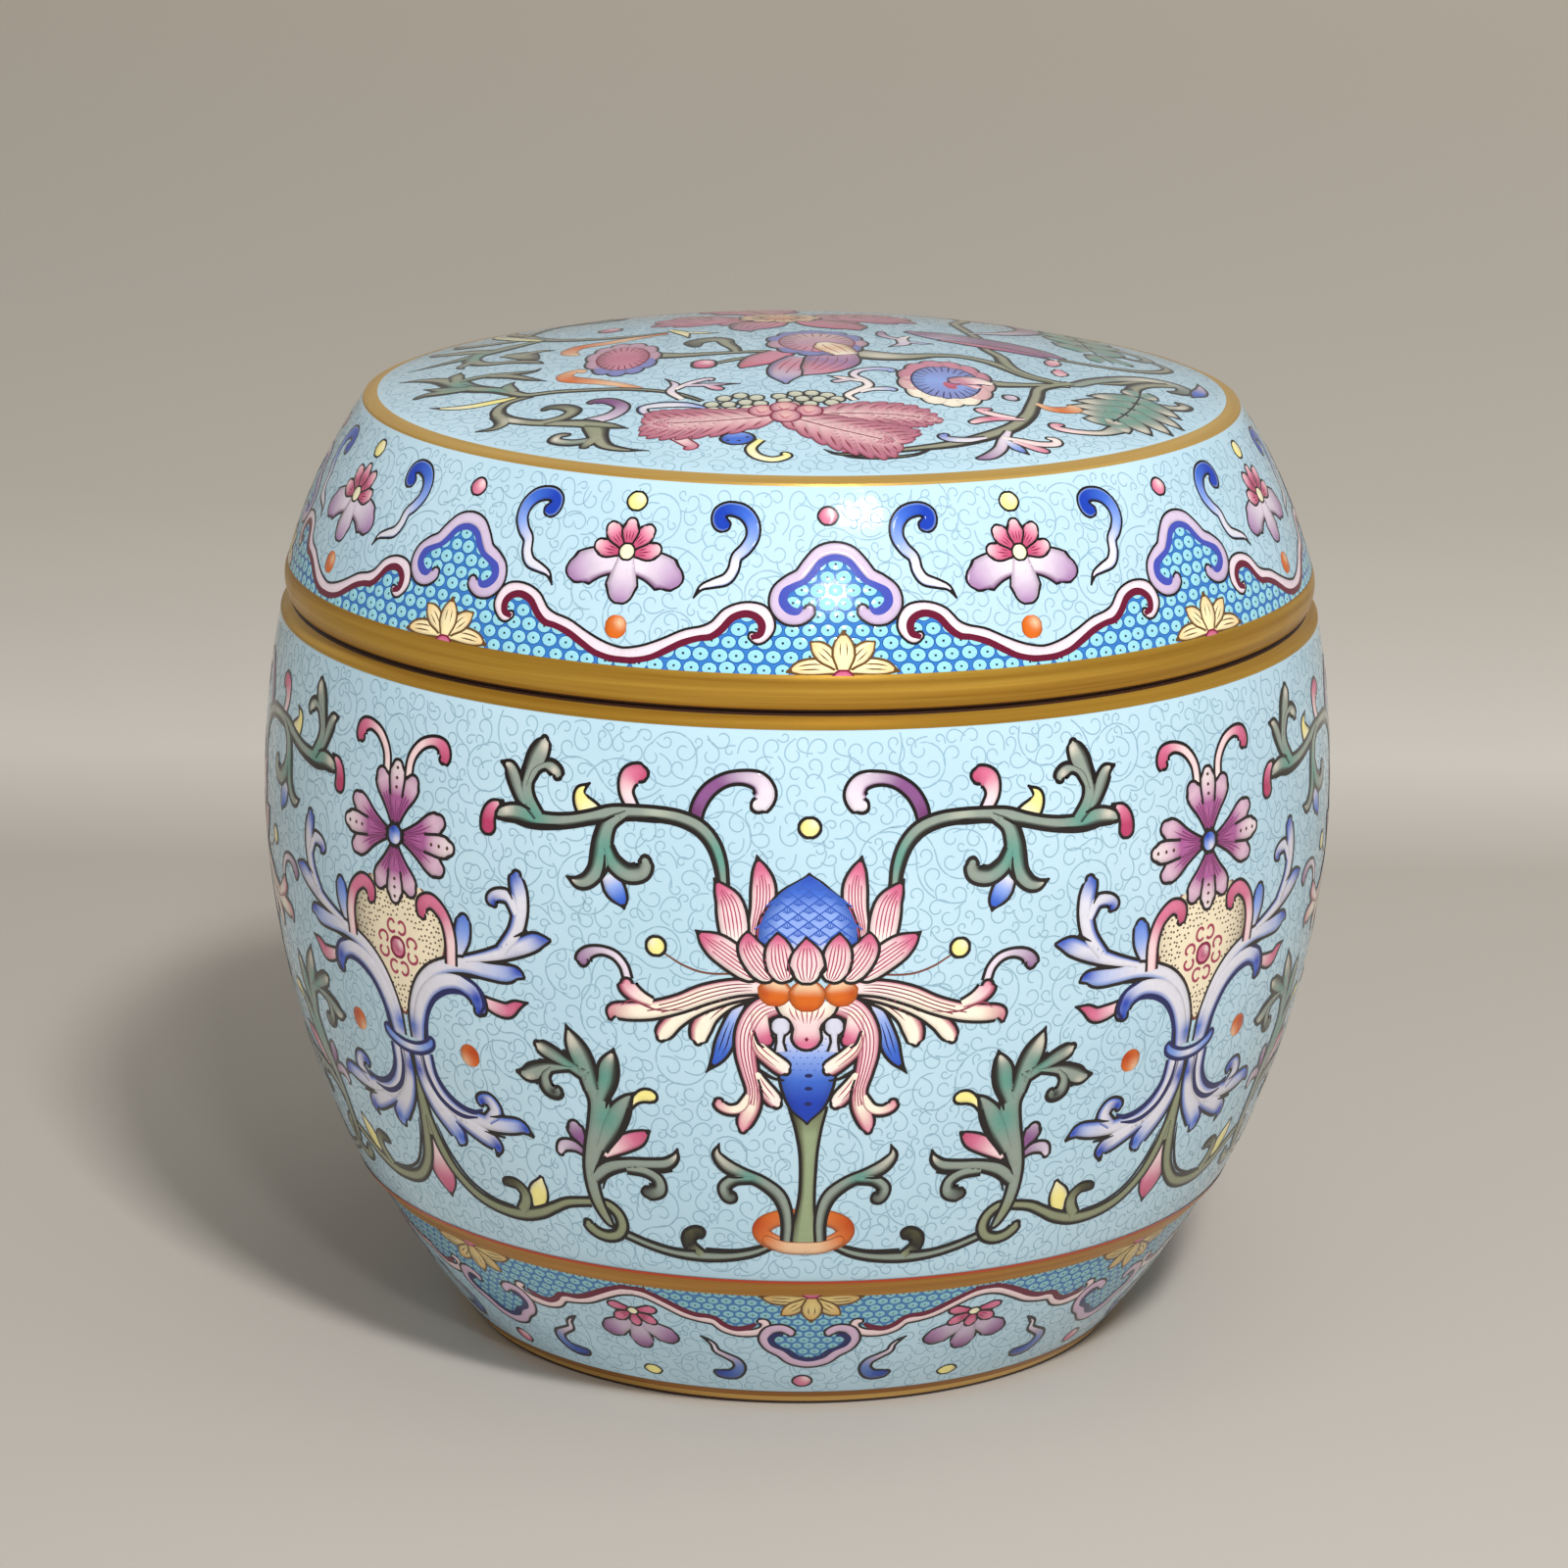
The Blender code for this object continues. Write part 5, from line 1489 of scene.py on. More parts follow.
def top_stems(art):
    """Stems and leaves on the top of the lid, seen from above with the front at the bottom."""
    stem = srgb(146, 146, 124)
    green = dict(paint=[stem], line=0.5)
    dark = (LEAF_DARK, 0.82)
    tip = [stem, stem, LEAF_DARK]
    # Left: yellow blade, orange curl and purple curl behind the stems
    art.single([(-56.2, -24.2, 0.3), (-53.2, -26.4, 1.6), (-49.8, -27.6, 2.4), (-45.7, -27.4, 2.4),
                (-42.3, -26.8, 1.2)], [YELLOW, YELLOW_PALE, YELLOW, YELLOW], "v-", 0.36)
    orange = dict(paint=[ORANGE, ORANGE_PALE, ORANGE, ORANGE_PALE], ends="-o", line=0.1)
    art.single([(-22.8, -31.8, 0.8), (-25.3, -28.9, 1.6), (-28.6, -26.0, 2.0), (-31.9, -23.5, 2.6),
                (-35.3, -21.0, 3.0), (-35.9, -18.3, 2.6), (-34.2, -16.8, 2.2), (-32.8, -18.1, 1.4)],
               ink="orange_ink", **orange)
    art.single([(-21.0, 5.5, 1.6), (-25.0, 4.0, 2.4), (-30.0, 1.6, 3.0), (-34.5, 0.4, 3.2),
                (-36.0, -3.0, 2.8), (-34.5, -6.0, 1.6)], ink="orange_ink", **orange)
    art.single([(-32.3, -43.0, 3.4), (-28.2, -41.0, 3.2), (-26.7, -37.7, 2.8), (-28.6, -34.6, 2.8),
                (-30.9, -34.1, 2.4), (-31.7, -35.2, 1.6)], [LILAC_PALE, LILAC, PURPLE, PURPLE_DEEP],
               "-o", 0.42)
    # Lower left branch with its curls
    art.group([
        stroke([(-40.5, -27.4, 1.8), (-43.8, -28.8, 2.2), (-45.3, -31.6, 2.5), (-45.0, -34.8, 2.7),
                (-43.0, -37.6, 2.7), (-39.8, -40.0, 2.6), (-35.7, -41.8, 2.8), (-31.5, -43.5, 3.4),
                (-30.3, -46.0, 4.0), (-29.8, -49.3, 3.2), (-28.6, -52.7, 2.4), (-25.7, -54.8, 1.5),
                (-22.1, -55.8, 0.2)], ends="-v", left=(LEAF_DARK, 0.67), **green),
        stroke([(-45.4, -34.5, 2.6), (-44.4, -38.0, 2.7), (-45.6, -40.0, 2.0), (-48.4, -40.1, 0.5)],
               tip, "-v", 0.42, right=dark),
        stroke([(-38.4, -40.8, 2.6), (-35.2, -39.6, 2.8), (-33.9, -37.2, 2.8), (-35.5, -34.9, 2.6),
                (-37.6, -34.4, 2.2), (-38.7, -35.6, 1.6)], tip, "-o", 0.42, right=dark),
        stroke([(-31.8, -43.6, 2.8), (-28.4, -45.2, 2.4), (-25.4, -47.0, 0.3)], tip, "-v", 0.42,
               right=dark),
        stroke([(-30.6, -50.2, 2.6), (-33.8, -50.2, 2.6), (-36.2, -48.6, 2.4), (-35.6, -46.8, 2.0),
                (-33.8, -47.2, 1.6)], [LEAF, LEAF, LEAF_PALE, LEAF_DARK], "-o", 0.42, left=dark),
        stroke([(-30.3, -49.5, 2.6), (-31.6, -52.0, 2.0), (-31.2, -53.0, 1.2)], tip, "-o", 0.42)],
        spots=[(-31.0, -46.5, 2.0, OLIVE), (-42.6, -37.6, 1.6, LEAF_PALE)])
    # Left main stem and the spiky leaf
    art.group([
        stroke([(-14.8, -37.7, 1.2), (-18.6, -33.7, 1.4), (-22.3, -31.4, 1.5), (-27.3, -29.3, 1.6),
                (-32.3, -28.1, 1.7), (-37.3, -27.0, 1.9), (-41.5, -26.6, 2.3), (-44.0, -23.9, 2.6),
                (-46.1, -21.4, 2.8), (-49.0, -18.9, 3.4), (-51.5, -16.0, 4.2), (-53.4, -11.8, 4.2),
                (-55.7, -8.1, 3.0), (-59.0, -4.8, 1.8), (-62.4, -2.6, 0.2)], ends="-v",
               left=(LEAF_DARK, 0.67), **green),
        stroke([(-51.0, -16.8, 2.8), (-54.8, -14.8, 2.6), (-57.9, -12.1, 0.3)], tip, "-v", 0.42,
               right=dark),
        stroke([(-50.4, -17.8, 2.6), (-54.0, -17.0, 3.0), (-57.2, -16.2, 2.6), (-59.1, -17.4, 1.6)],
               tip, "-o", 0.42, left=dark),
        stroke([(-53.0, -11.0, 2.8), (-53.2, -7.5, 2.8), (-52.6, -5.0, 0.4)], tip, "-v", 0.42,
               left=dark),
        stroke([(-52.4, -11.6, 2.6), (-48.6, -11.2, 2.6), (-44.4, -12.6, 2.2), (-41.2, -13.2, 1.8),
                (-39.8, -11.8, 0.3)], tip, "-v", 0.42, right=dark),
        stroke([(-47.6, -11.8, 2.4), (-44.4, -14.3, 2.4), (-41.3, -17.9, 1.6), (-38.6, -20.4, 0.2)],
               tip, "-v", 0.42, right=dark),
        stroke([(-43.6, -23.6, 2.2), (-44.6, -20.4, 2.4), (-43.6, -18.0, 0.4)], tip, "-v", 0.42)],
        spots=[(-51.6, -14.6, 3.3, LEAF_TEAL), (-46.6, -21.6, 2.4, LEAF_TEAL)],
        lines=[("black", [(-46.2, -20.0, 0.1), (-49.4, -17.0, 0.4), (-52.0, -13.6, 0.1)])])
    # Back left leaf
    art.group([
        stroke([(-21.0, 6.5, 1.6), (-26.0, 5.2, 2.0), (-32.0, 6.2, 2.2), (-38.0, 10.0, 2.4),
                (-42.0, 16.0, 2.6), (-44.4, 25.0, 2.4), (-46.6, 33.0, 1.8), (-46.0, 42.0, 0.4)],
               ends="-v", left=dark, **green),
        stroke([(-40.5, 13.0, 2.4), (-45.5, 10.4, 4.6), (-50.0, 8.0, 4.6), (-55.0, 6.2, 3.0),
                (-61.5, 5.2, 0.3)], tip, "-v", 0.42, left=dark),
        stroke([(-50.5, 9.0, 3.6), (-51.4, 3.2, 3.2), (-49.0, -1.8, 2.6), (-44.8, -3.9, 2.2),
                (-41.0, -6.8, 1.8), (-39.6, -9.0, 0.2)], ends="-v", right=(LEAF_DARK, 0.67), **green),
        stroke([(-51.0, 2.6, 2.6), (-52.8, -0.4, 1.8), (-52.2, -2.6, 0.3)], tip, "-v", 0.42),
        stroke([(-46.6, 3.0, 2.0), (-43.8, 1.0, 4.4), (-42.0, -2.6, 3.4), (-40.6, -5.2, 0.6)], tip,
               "-v", 0.42, left=dark),
        stroke([(-43.6, 1.2, 2.2), (-40.6, 1.6, 2.0), (-38.2, 0.4, 0.3)], tip, "-v", 0.42),
        stroke([(-49.0, 9.8, 3.0), (-53.6, 14.6, 3.4), (-57.6, 18.0, 2.4), (-58.6, 21.0, 1.2)], tip,
               "-o", 0.42, right=dark),
        stroke([(-43.0, 17.0, 2.4), (-48.6, 19.0, 3.0), (-53.8, 23.0, 3.0), (-55.4, 28.6, 0.4)], tip,
               "-v", 0.42, left=dark)],
        spots=[(-50.4, 6.0, 3.6, LEAF_TEAL), (-43.0, 15.0, 3.6, LEAF_TEAL)])
    art.single([(-41.0, 12.6, 1.6), (-44.6, 19.0, 2.4), (-48.4, 29.0, 2.2), (-49.6, 36.0, 0.3)],
               [YELLOW, YELLOW_PALE, YELLOW], "-v", 0.36)
    # Stem through the middle, from the left bloom to the right
    art.group([
        stroke([(-22.3, -11.8, 4.4), (-19.0, -12.7, 3.2), (-15.7, -12.7, 2.6), (-10.7, -12.3, 2.0),
                (-4.8, -12.0, 1.8)], ends="--", right=(LEAF_DARK, 0.72), **green),
        stroke([(-10.0, -12.0, 1.8), (-10.4, -9.4, 2.2), (-11.5, -6.2, 2.6), (-12.2, -3.1, 3.2),
                (-14.4, -2.2, 3.8), (-16.6, -4.2, 3.6), (-16.2, -7.8, 1.8)], tip, "-o", 0.42,
               right=dark),
        stroke([(-6.0, -15.4, 1.4), (-10.2, -16.8, 1.8), (-13.4, -19.0, 1.4)], ends="--", **green)])
    art.group([
        stroke([(7.6, -12.4, 6.4), (12.0, -13.3, 5.8), (16.0, -12.7, 4.4), (20.0, -10.4, 2.8),
                (24.0, -9.4, 2.6), (28.0, -10.8, 2.8), (31.0, -13.6, 3.0), (34.4, -17.2, 2.8),
                (39.0, -18.4, 2.6)], ends="--", right=(LEAF_DARK, 0.62), **green),
        stroke([(26.6, 8.0, 1.8), (27.4, 3.0, 2.0), (28.6, -2.2, 2.4), (30.4, -6.4, 2.6),
                (31.0, -10.2, 2.8), (32.4, -14.0, 2.6), (35.0, -16.6, 2.4), (39.0, -18.2, 2.4)],
               ends="--", right=(LEAF_DARK, 0.72), **green),
        stroke([(25.4, -21.6, 4.6), (28.6, -23.7, 3.8), (32.7, -22.7, 2.6), (36.4, -20.8, 2.2),
                (40.4, -19.0, 2.0)], ends="--", right=(LEAF_DARK, 0.67), **green),
        stroke([(38.0, -18.0, 2.4), (41.2, -17.6, 2.6), (44.3, -13.2, 2.8), (48.5, -8.2, 3.0),
                (52.7, -4.4, 3.2), (56.8, -3.0, 3.4), (59.1, -5.2, 3.4), (58.4, -8.3, 2.8),
                (56.0, -9.9, 1.8)], [LEAF, LEAF, LEAF, LEAF_PALE, LEAF, LEAF_DARK], "-o", 0.42,
               left=(LEAF_DARK, 0.67)),
        stroke([(43.0, -15.4, 0.6), (48.4, -11.6, 2.0), (51.6, -7.4, 2.0), (54.6, -5.4, 0.6)],
               ends="vv", right=(LEAF_DARK, 0.82), **green),
        stroke([(41.0, -17.2, 2.6), (38.0, -20.2, 2.4), (35.8, -23.4, 2.4), (35.2, -27.7, 2.5),
                (34.4, -32.7, 2.6), (33.4, -37.7, 2.8), (31.0, -43.2, 3.0), (26.8, -48.3, 3.0),
                (21.8, -52.4, 2.6), (15.2, -55.6, 1.8), (9.3, -57.9, 1.4), (5.2, -58.3, 1.1),
                (3.1, -56.8, 0.3)], ends="-v", left=(LEAF_DARK, 0.72), **green),
        stroke([(19.4, -54.0, 0.4), (16.4, -57.2, 1.0), (12.0, -58.9, 1.2), (7.8, -59.3, 0.9),
                (5.0, -58.4, 0.3)], ends="vv", **green)],
        spots=[(38.0, -19.0, 2.0, OLIVE), (12.0, -13.0, 3.4, LEAF_PALE), (31.2, -10.0, 1.6, OLIVE)])
    art.single([(39.6, -1.6, 2.0), (46.8, -1.0, 2.0), (52.9, 2.0, 2.2), (56.2, 6.2, 2.2),
                (57.4, 11.0, 2.0), (55.0, 15.4, 1.8)], ends="-o", right=(LEAF_DARK, 0.72), **green)
    # Tall leaves at the right
    art.single([(57.0, -4.6, 2.6), (53.6, -7.6, 2.6), (51.0, -12.0, 2.6), (50.0, -17.0, 3.0)],
               ends="--", right=(LEAF_DARK, 0.72), **green)
    art.single([(50.4, -20.6, 3.2), (54.0, -20.6, 3.2), (57.4, -19.0, 2.8), (58.4, -16.6, 2.4),
                (56.6, -15.8, 1.8)], [LEAF, LEAF, LEAF_PALE, LEAF_DARK], "-o", 0.42, right=dark)
    feathered(art,
              [(51.6, -14.0, 3.0), (51.2, -18.0, 13.0), (50.4, -22.0, 17.0), (49.4, -26.0, 17.0),
               (48.0, -30.0, 13.0), (46.4, -33.6, 8.0), (45.2, -36.0, 2.0)], 6, 0.6,
              [LEAF, LEAF_TEAL, LEAF, LEAF_PALE, LEAF_DARK], 0.46, ends="-v", rib="black")
    art.single([(47.0, -36.6, 3.2), (44.6, -39.6, 2.2), (41.0, -41.0, 2.2), (38.1, -41.0, 2.4),
                (37.4, -39.8, 2.2), (39.0, -39.0, 1.6)], [LEAF, LEAF_PALE, PINK_PALE, PINK], "-o", 0.42)
    feathered(art,
              [(48.6, 4.0, 3.0), (46.6, 9.0, 9.0), (45.2, 16.0, 12.0), (44.4, 24.0, 12.0),
               (43.6, 32.0, 10.0), (42.0, 40.0, 6.0), (40.4, 46.0, 1.4)], 6, 0.7,
              [LEAF, LEAF_TEAL, LEAF, LEAF_DARK], 0.46, ends="-v", rib="black")
    art.single([(50.0, 22.0, 3.0), (53.4, 19.8, 2.6), (54.6, 15.4, 2.4), (52.2, 12.6, 2.0),
                (50.2, 14.0, 1.6)], [LEAF, LEAF, LEAF_DARK], "-o", 0.42)
    # Stems that run to the back
    art.group([
        stroke([(27.4, 8.0, 2.2), (25.6, 16.0, 2.2), (24.4, 25.0, 2.2), (26.0, 34.0, 2.2),
                (24.0, 43.0, 2.2), (17.0, 50.0, 2.0), (9.0, 53.0, 1.6), (1.0, 52.0, 0.4)], ends="-v",
               right=(LEAF_DARK, 0.72), **green),
        stroke([(25.4, 38.0, 1.8), (31.0, 42.6, 2.4), (33.4, 48.0, 2.4), (31.0, 52.2, 2.2),
                (27.6, 51.0, 1.6)], tip, "-o", 0.42, left=dark),
        stroke([(18.6, 49.0, 1.8), (18.0, 55.0, 2.4), (12.6, 59.6, 2.2), (7.6, 60.0, 0.4)], tip, "-v",
               0.42, right=dark)])
    art.group([
        stroke([(-44.0, 22.0, 2.4), (-41.0, 31.0, 2.4), (-35.0, 39.0, 2.4), (-27.0, 45.0, 2.2),
                (-17.0, 49.6, 1.8), (-8.0, 50.4, 0.4)], ends="-v", right=(LEAF_DARK, 0.72), **green),
        stroke([(-30.0, 43.0, 1.8), (-32.0, 49.0, 2.6), (-28.0, 54.4, 2.4), (-22.0, 56.0, 0.4)], tip,
               "-v", 0.42, right=dark),
        stroke([(-38.0, 35.6, 2.2), (-33.0, 33.0, 2.6), (-29.0, 35.4, 2.4), (-30.4, 38.6, 1.6)], tip,
               "-o", 0.42, right=dark)])


def top_sprigs(art):
    """Small tendrils, buds and curls on the top of the lid."""
    pale = dict(paint=[WHITE, LILAC_PALE, LILAC], line=0.36)
    art.group([
        stroke([(-17.8, -36.4, 1.6), (-19.6, -32.7, 1.9), (-19.0, -29.3, 1.6), (-20.7, -25.8, 0.2)],
               ends="-v", **pale),
        stroke([(-19.0, -31.6, 1.6), (-16.8, -28.9, 1.8), (-14.0, -27.3, 1.8), (-13.6, -28.6, 1.0)],
               ends="-o", **pale),
        stroke([(-17.6, -30.0, 1.4), (-13.4, -30.2, 1.8), (-9.2, -30.1, 0.3)], [LILAC_PALE, PURPLE],
               "-v", 0.36),
        stroke([(-15.0, -29.8, 1.2), (-13.0, -31.8, 2.2), (-11.6, -32.8, 1.8)], [LILAC_PALE, PINK],
               "-o", 0.36)])
    art.single([(-14.4, -40.6, 1.4), (-17.3, -38.9, 2.4), (-20.7, -38.3, 2.8), (-23.4, -38.9, 2.2),
                (-23.2, -41.2, 1.8), (-21.4, -41.8, 1.2)], [BLUE_LIGHT, BLUE_PALE, BLUE_PALE, LILAC],
               "-o", 0.42, right=(BLUE, 0.4))
    art.group([
        stroke([(7.9, -37.4, 1.6), (6.8, -35.2, 1.8), (8.3, -32.7, 2.0), (9.9, -30.2, 2.0),
                (9.3, -27.7, 2.0), (7.7, -25.2, 1.8), (8.5, -22.7, 1.9), (10.6, -21.3, 2.0),
                (13.0, -21.2, 2.4), (13.6, -22.7, 2.0)], [WHITE, WHITE, LILAC_PALE, BLUE_LIGHT], "-o",
               0.38),
        stroke([(9.2, -28.2, 1.6), (6.2, -27.0, 2.0), (3.6, -26.0, 0.3)], [WHITE, PINK_PALE], "-v",
               0.38),
        stroke([(7.8, -27.4, 1.4), (5.6, -28.4, 2.0), (4.4, -29.4, 2.0)], [LILAC_PALE, LILAC], "-o",
               0.38),
        stroke([(8.6, -33.4, 1.6), (10.4, -31.9, 1.9), (13.0, -31.3, 2.2), (14.0, -32.4, 1.6)],
               [WHITE, BLUE_PALE, BLUE_LIGHT], "-o", 0.38)])
    # Pink ball with a painted highlight: a pale spot to the right and back
    art.group([dot(-14.9, -18.9, 4.2, 5.6, [PINK_DEEP, PINK, PINK])],
              spots=[(-14.4, -18.0, 1.0, PINK_PALE)])
    # Right: balls, curls and the twig under the main stem
    # Lilac ball with a painted highlight: a pale spot to the right and back
    art.group([dot(31.2, -30.0, 3.0, 3.2, [LILAC])], spots=[(31.8, -29.4, 0.8, LILAC_PALE)])
    art.single([(35.0, -31.2, 1.2), (37.3, -32.7, 2.4), (40.4, -31.4, 2.8), (40.6, -29.2, 2.2)],
               [ORANGE_PALE, ORANGE, ORANGE_PALE], "-o", 0.1, ink="orange_ink")
    twig = dict(ends="-o", line=0.4)
    art.group([
        stroke([(32.9, -39.3, 1.4), (29.6, -40.0, 2.2), (26.8, -41.4, 2.4), (24.6, -43.7, 1.8)],
               [PINK_PALE, PINK, PINK_PALE], **twig),
        stroke([(31.6, -39.1, 1.6), (28.4, -38.7, 2.4), (26.4, -37.5, 2.2), (28.3, -36.3, 1.5)],
               [PINK_PALE, PINK_PALE, PINK], **twig)])
    art.single([(27.0, -48.6, 1.4), (24.3, -50.2, 2.2), (21.8, -50.6, 2.4), (20.6, -49.8, 2.0),
                (21.4, -48.5, 1.4)], [LILAC_PALE, BLUE_PALE, BLUE], **twig)
    art.group([
        stroke([(30.4, -45.0, 1.6), (29.6, -48.4, 2.2), (28.9, -52.2, 2.4), (27.3, -55.2, 2.4),
                (25.2, -56.8, 1.2)], [LILAC_PALE, LILAC_PALE, LILAC, PURPLE], **twig),
        stroke([(29.4, -47.8, 1.6), (31.8, -48.1, 2.2), (34.8, -48.4, 2.4), (37.2, -47.4, 2.2),
                (37.2, -45.8, 2.0), (35.6, -45.6, 1.4)], [WHITE, PINK_PALE, WHITE], **twig),
        stroke([(31.0, -48.6, 1.8), (34.2, -50.2, 2.4), (36.4, -51.0, 2.2)], [PINK_PALE, PINK],
               **twig),
        stroke([(30.0, -49.0, 2.0), (31.6, -51.2, 2.4), (33.2, -53.0, 0.4)],
               [BLUE_PALE, BLUE_LIGHT, BLUE_DEEP], "-v", 0.4)])
    # Sprigs further back
    art.single([(39.0, -2.2, 1.2), (38.6, -5.0, 3.0), (38.1, -8.0, 1.6)], [PINK_PALE, PINK], "-o", 0.36)
    art.single([(39.2, -9.2, 1.2), (39.4, -11.6, 3.0), (39.1, -14.0, 1.6)], [PINK, PINK_PALE], "-o",
               0.36)
    art.group([
        stroke([(16.4, 3.0, 1.2), (15.4, 0.4, 2.2), (15.6, -3.4, 2.4), (13.2, -6.6, 0.4)], ends="-v",
               **pale),
        stroke([(15.6, -0.6, 1.4), (12.6, 2.2, 2.2), (12.2, 6.4, 1.4)], [LILAC_PALE, PURPLE], "-o",
               0.36),
        stroke([(15.8, -1.8, 1.2), (18.2, -2.0, 1.8), (20.4, -1.6, 0.3)], [LILAC_PALE, BLUE_LIGHT],
               "-v", 0.36)])
    art.group([
        stroke([(-20.6, 8.4, 1.4), (-18.6, 5.0, 2.4), (-17.5, -0.2, 0.4)], [YELLOW, YELLOW_PALE], "-v",
               0.36),
        stroke([(-18.8, 5.4, 1.2), (-15.8, 4.2, 1.8), (-12.8, 3.2, 0.3)], [YELLOW_PALE, YELLOW], "-v",
               0.36)])
    # Pink ball with a painted highlight: a pale spot to the right and back
    art.group([dot(-30.2, 14.6, 4.2, 5.2, [PINK_DEEP, PINK])], spots=[(-29.6, 15.6, 1.0, PINK_PALE)])
    art.single([(61.6, 3.0, 0.3), (61.8, -2.0, 2.2), (61.0, -6.2, 2.8), (59.8, -9.8, 0.4)],
               [LILAC_PALE, LILAC, BLUE, BLUE_DEEP], "vv", 0.42)
    art.single([(26.0, 12.0, 1.2), (32.0, 18.0, 3.0), (36.0, 27.0, 4.4), (35.0, 36.0, 3.4),
                (31.6, 41.0, 0.4)], [LILAC_PALE, LILAC, PURPLE, PURPLE_DEEP], "-v", 0.42)
    # Yellow, pink and orange balls, each with a painted highlight: a pale spot to the right and back
    art.group([dot(-2.0, 57.6, 3.6, 4.0, [YELLOW])], spots=[(-1.4, 58.4, 0.9, YELLOW_PALE)])
    art.group([dot(39.0, 49.0, 3.6, 3.6, [PINK])], spots=[(39.6, 49.6, 0.9, PINK_PALE)])
    art.group([dot(-40.6, 44.6, 3.4, 3.6, [ORANGE], 0.0)], spots=[(-40.0, 45.2, 0.8, ORANGE_PALE)])


def top_blooms(art):
    """The feathered bloom at the front and the shell-like blooms behind it."""
    # Shell-like blooms
    mauve = srgb(186, 146, 166)
    violet = srgb(120, 124, 184)
    rose = srgb(198, 128, 148)
    frilled(art, (-27.4, -11.6), (11.6, 21.0), (mauve, mauve, violet),
            [rose, srgb(188, 106, 134), rose], 11, 0.72, "crimson")
    frilled(art, (21.6, -25.6), (14.6, 23.0), (rose, srgb(216, 172, 174), CREAM),
            [violet, BLUE_LIGHT, violet], 13, 0.74, "navy")
    art.single([(26.6, -27.2, 2.0), (24.2, -25.4, 2.2), (22.2, -26.6, 2.2), (22.6, -29.0, 1.6)],
               [PINK_PALE, PINK, PINK_DEEP], "-o", 0.3, ink="rose_ink")
    art.single([(28.6, -24.4, 2.0), (26.0, -23.6, 4.4), (23.6, -24.6, 4.2), (22.4, -26.4, 2.4)],
               [CREAM, PINK_PALE, rose, mauve], "-o", 0.34, ink="navy")
    # Middle bloom: blue and pink frills over a beige heart, with three lobes in front
    art.single([(-3.0, -12.6, 5.0), (-6.0, -17.0, 6.4), (-8.6, -20.6, 3.0), (-9.2, -22.2, 0.6)],
               [rose, rose, srgb(184, 92, 112)], "-v", 0.4, left=(PINK_DEEP, 0.3))
    art.single([(0.4, -16.0, 6.0), (-1.4, -21.0, 7.4), (-2.6, -26.0, 5.6), (-2.4, -30.6, 0.8)],
               [mauve, rose, LILAC, violet], "-v", 0.4, right=(violet, 0.35),
               veins=(3, "vein", 0.1, 0.7))
    art.single([(4.6, -13.0, 8.0), (4.4, -18.0, 9.0), (2.2, -23.0, 6.0), (0.0, -26.2, 0.8)],
               [mauve, srgb(150, 112, 156), rose, mauve], "-v", 0.4, veins=(4, "vein", 0.1, 0.8))
    frilled(art, (2.2, -5.4), (15.4, 18.8), (violet, mauve, violet), [rose, mauve, srgb(206, 178, 172)],
            11, 0.78, "vein")
    art.single([(6.8, -13.6, 4.4), (4.6, -9.0, 6.0), (3.0, -5.4, 4.2)], [CREAM, ORANGE_PALE, CREAM],
               "-o", 0.32, veins=(2, "vein", 0.1, 0.9), ink="brown")
    # Back blooms
    art.single([(16.0, 8.0, 2.0), (20.0, 6.4, 6.4), (26.0, 4.6, 8.4), (32.0, 3.0, 8.0),
                (37.0, 1.4, 5.4), (41.0, -0.6, 1.2)],
               [srgb(140, 104, 140), LILAC, srgb(150, 112, 146), srgb(178, 132, 158),
                srgb(140, 96, 134)], "vo", 0.42, veins=(6, "purple_ink", 0.05, 0.95))
    art.single([(21.0, 2.2, 1.4), (28.0, 0.6, 3.0), (35.0, -0.8, 2.6), (39.0, -3.0, 0.6)],
               [rose, srgb(172, 96, 130), PURPLE], "vv", 0.4)
    dusky = [rose, srgb(184, 122, 142), srgb(156, 84, 116)]
    for spine in ([(-3.0, 18.0, 5.0), (-10.0, 17.0, 14.0), (-16.0, 18.6, 14.0), (-22.0, 21.0, 2.0)],
                  [(-3.0, 20.0, 5.0), (4.0, 21.0, 15.0), (10.0, 23.0, 14.0), (16.0, 26.0, 2.0)],
                  [(-5.0, 22.0, 5.0), (-7.0, 30.0, 15.0), (-9.0, 38.0, 13.0), (-11.0, 45.0, 2.0)]):
        feathered(art, spine, 5, 0.7, dusky, 0.32, "vein", ink="vein", mark="vein")
    art.single([(-3.0, 17.6, 4.0), (-6.6, 11.6, 9.0), (-8.4, 6.8, 6.0), (-8.0, 3.6, 0.6)],
               [rose, rose, srgb(146, 96, 134)], "-v", 0.4, veins=(4, "crimson", 0.1, 0.8))
    art.single([(-1.0, 17.6, 4.0), (3.6, 13.0, 9.6), (7.4, 9.0, 7.0), (9.0, 6.2, 0.8)],
               [rose, rose, srgb(168, 76, 104)], "-v", 0.4, veins=(4, "crimson", 0.1, 0.8))
    frilled(art, (-3.6, 19.6), (13.0, 13.0), (ORANGE_PALE, ORANGE_PALE, ORANGE_PALE),
            [ORANGE, ORANGE_PALE], 9, 0.5, "brown")
    # Seeds behind the front bloom
    for x, y in ((-13.4, -39.4), (-11.6, -36.9), (-9.2, -35.9), (-6.8, -36.9), (-13.2, -41.7),
                 (-10.9, -39.6), (-8.4, -38.9), (-6.2, -39.6), (-10.4, -42.0), (-8.0, -41.4),
                 (-3.4, -36.3), (-1.0, -35.2), (1.4, -34.8), (3.7, -35.6), (5.2, -37.2), (-2.6, -38.4),
                 (0.0, -37.4), (2.5, -37.5), (4.4, -38.9), (-1.4, -40.0), (1.2, -39.6)):
        art.group([dot(x, y, 2.8, 3.0, [srgb(176, 178, 158), srgb(208, 208, 188)], 0.38)])
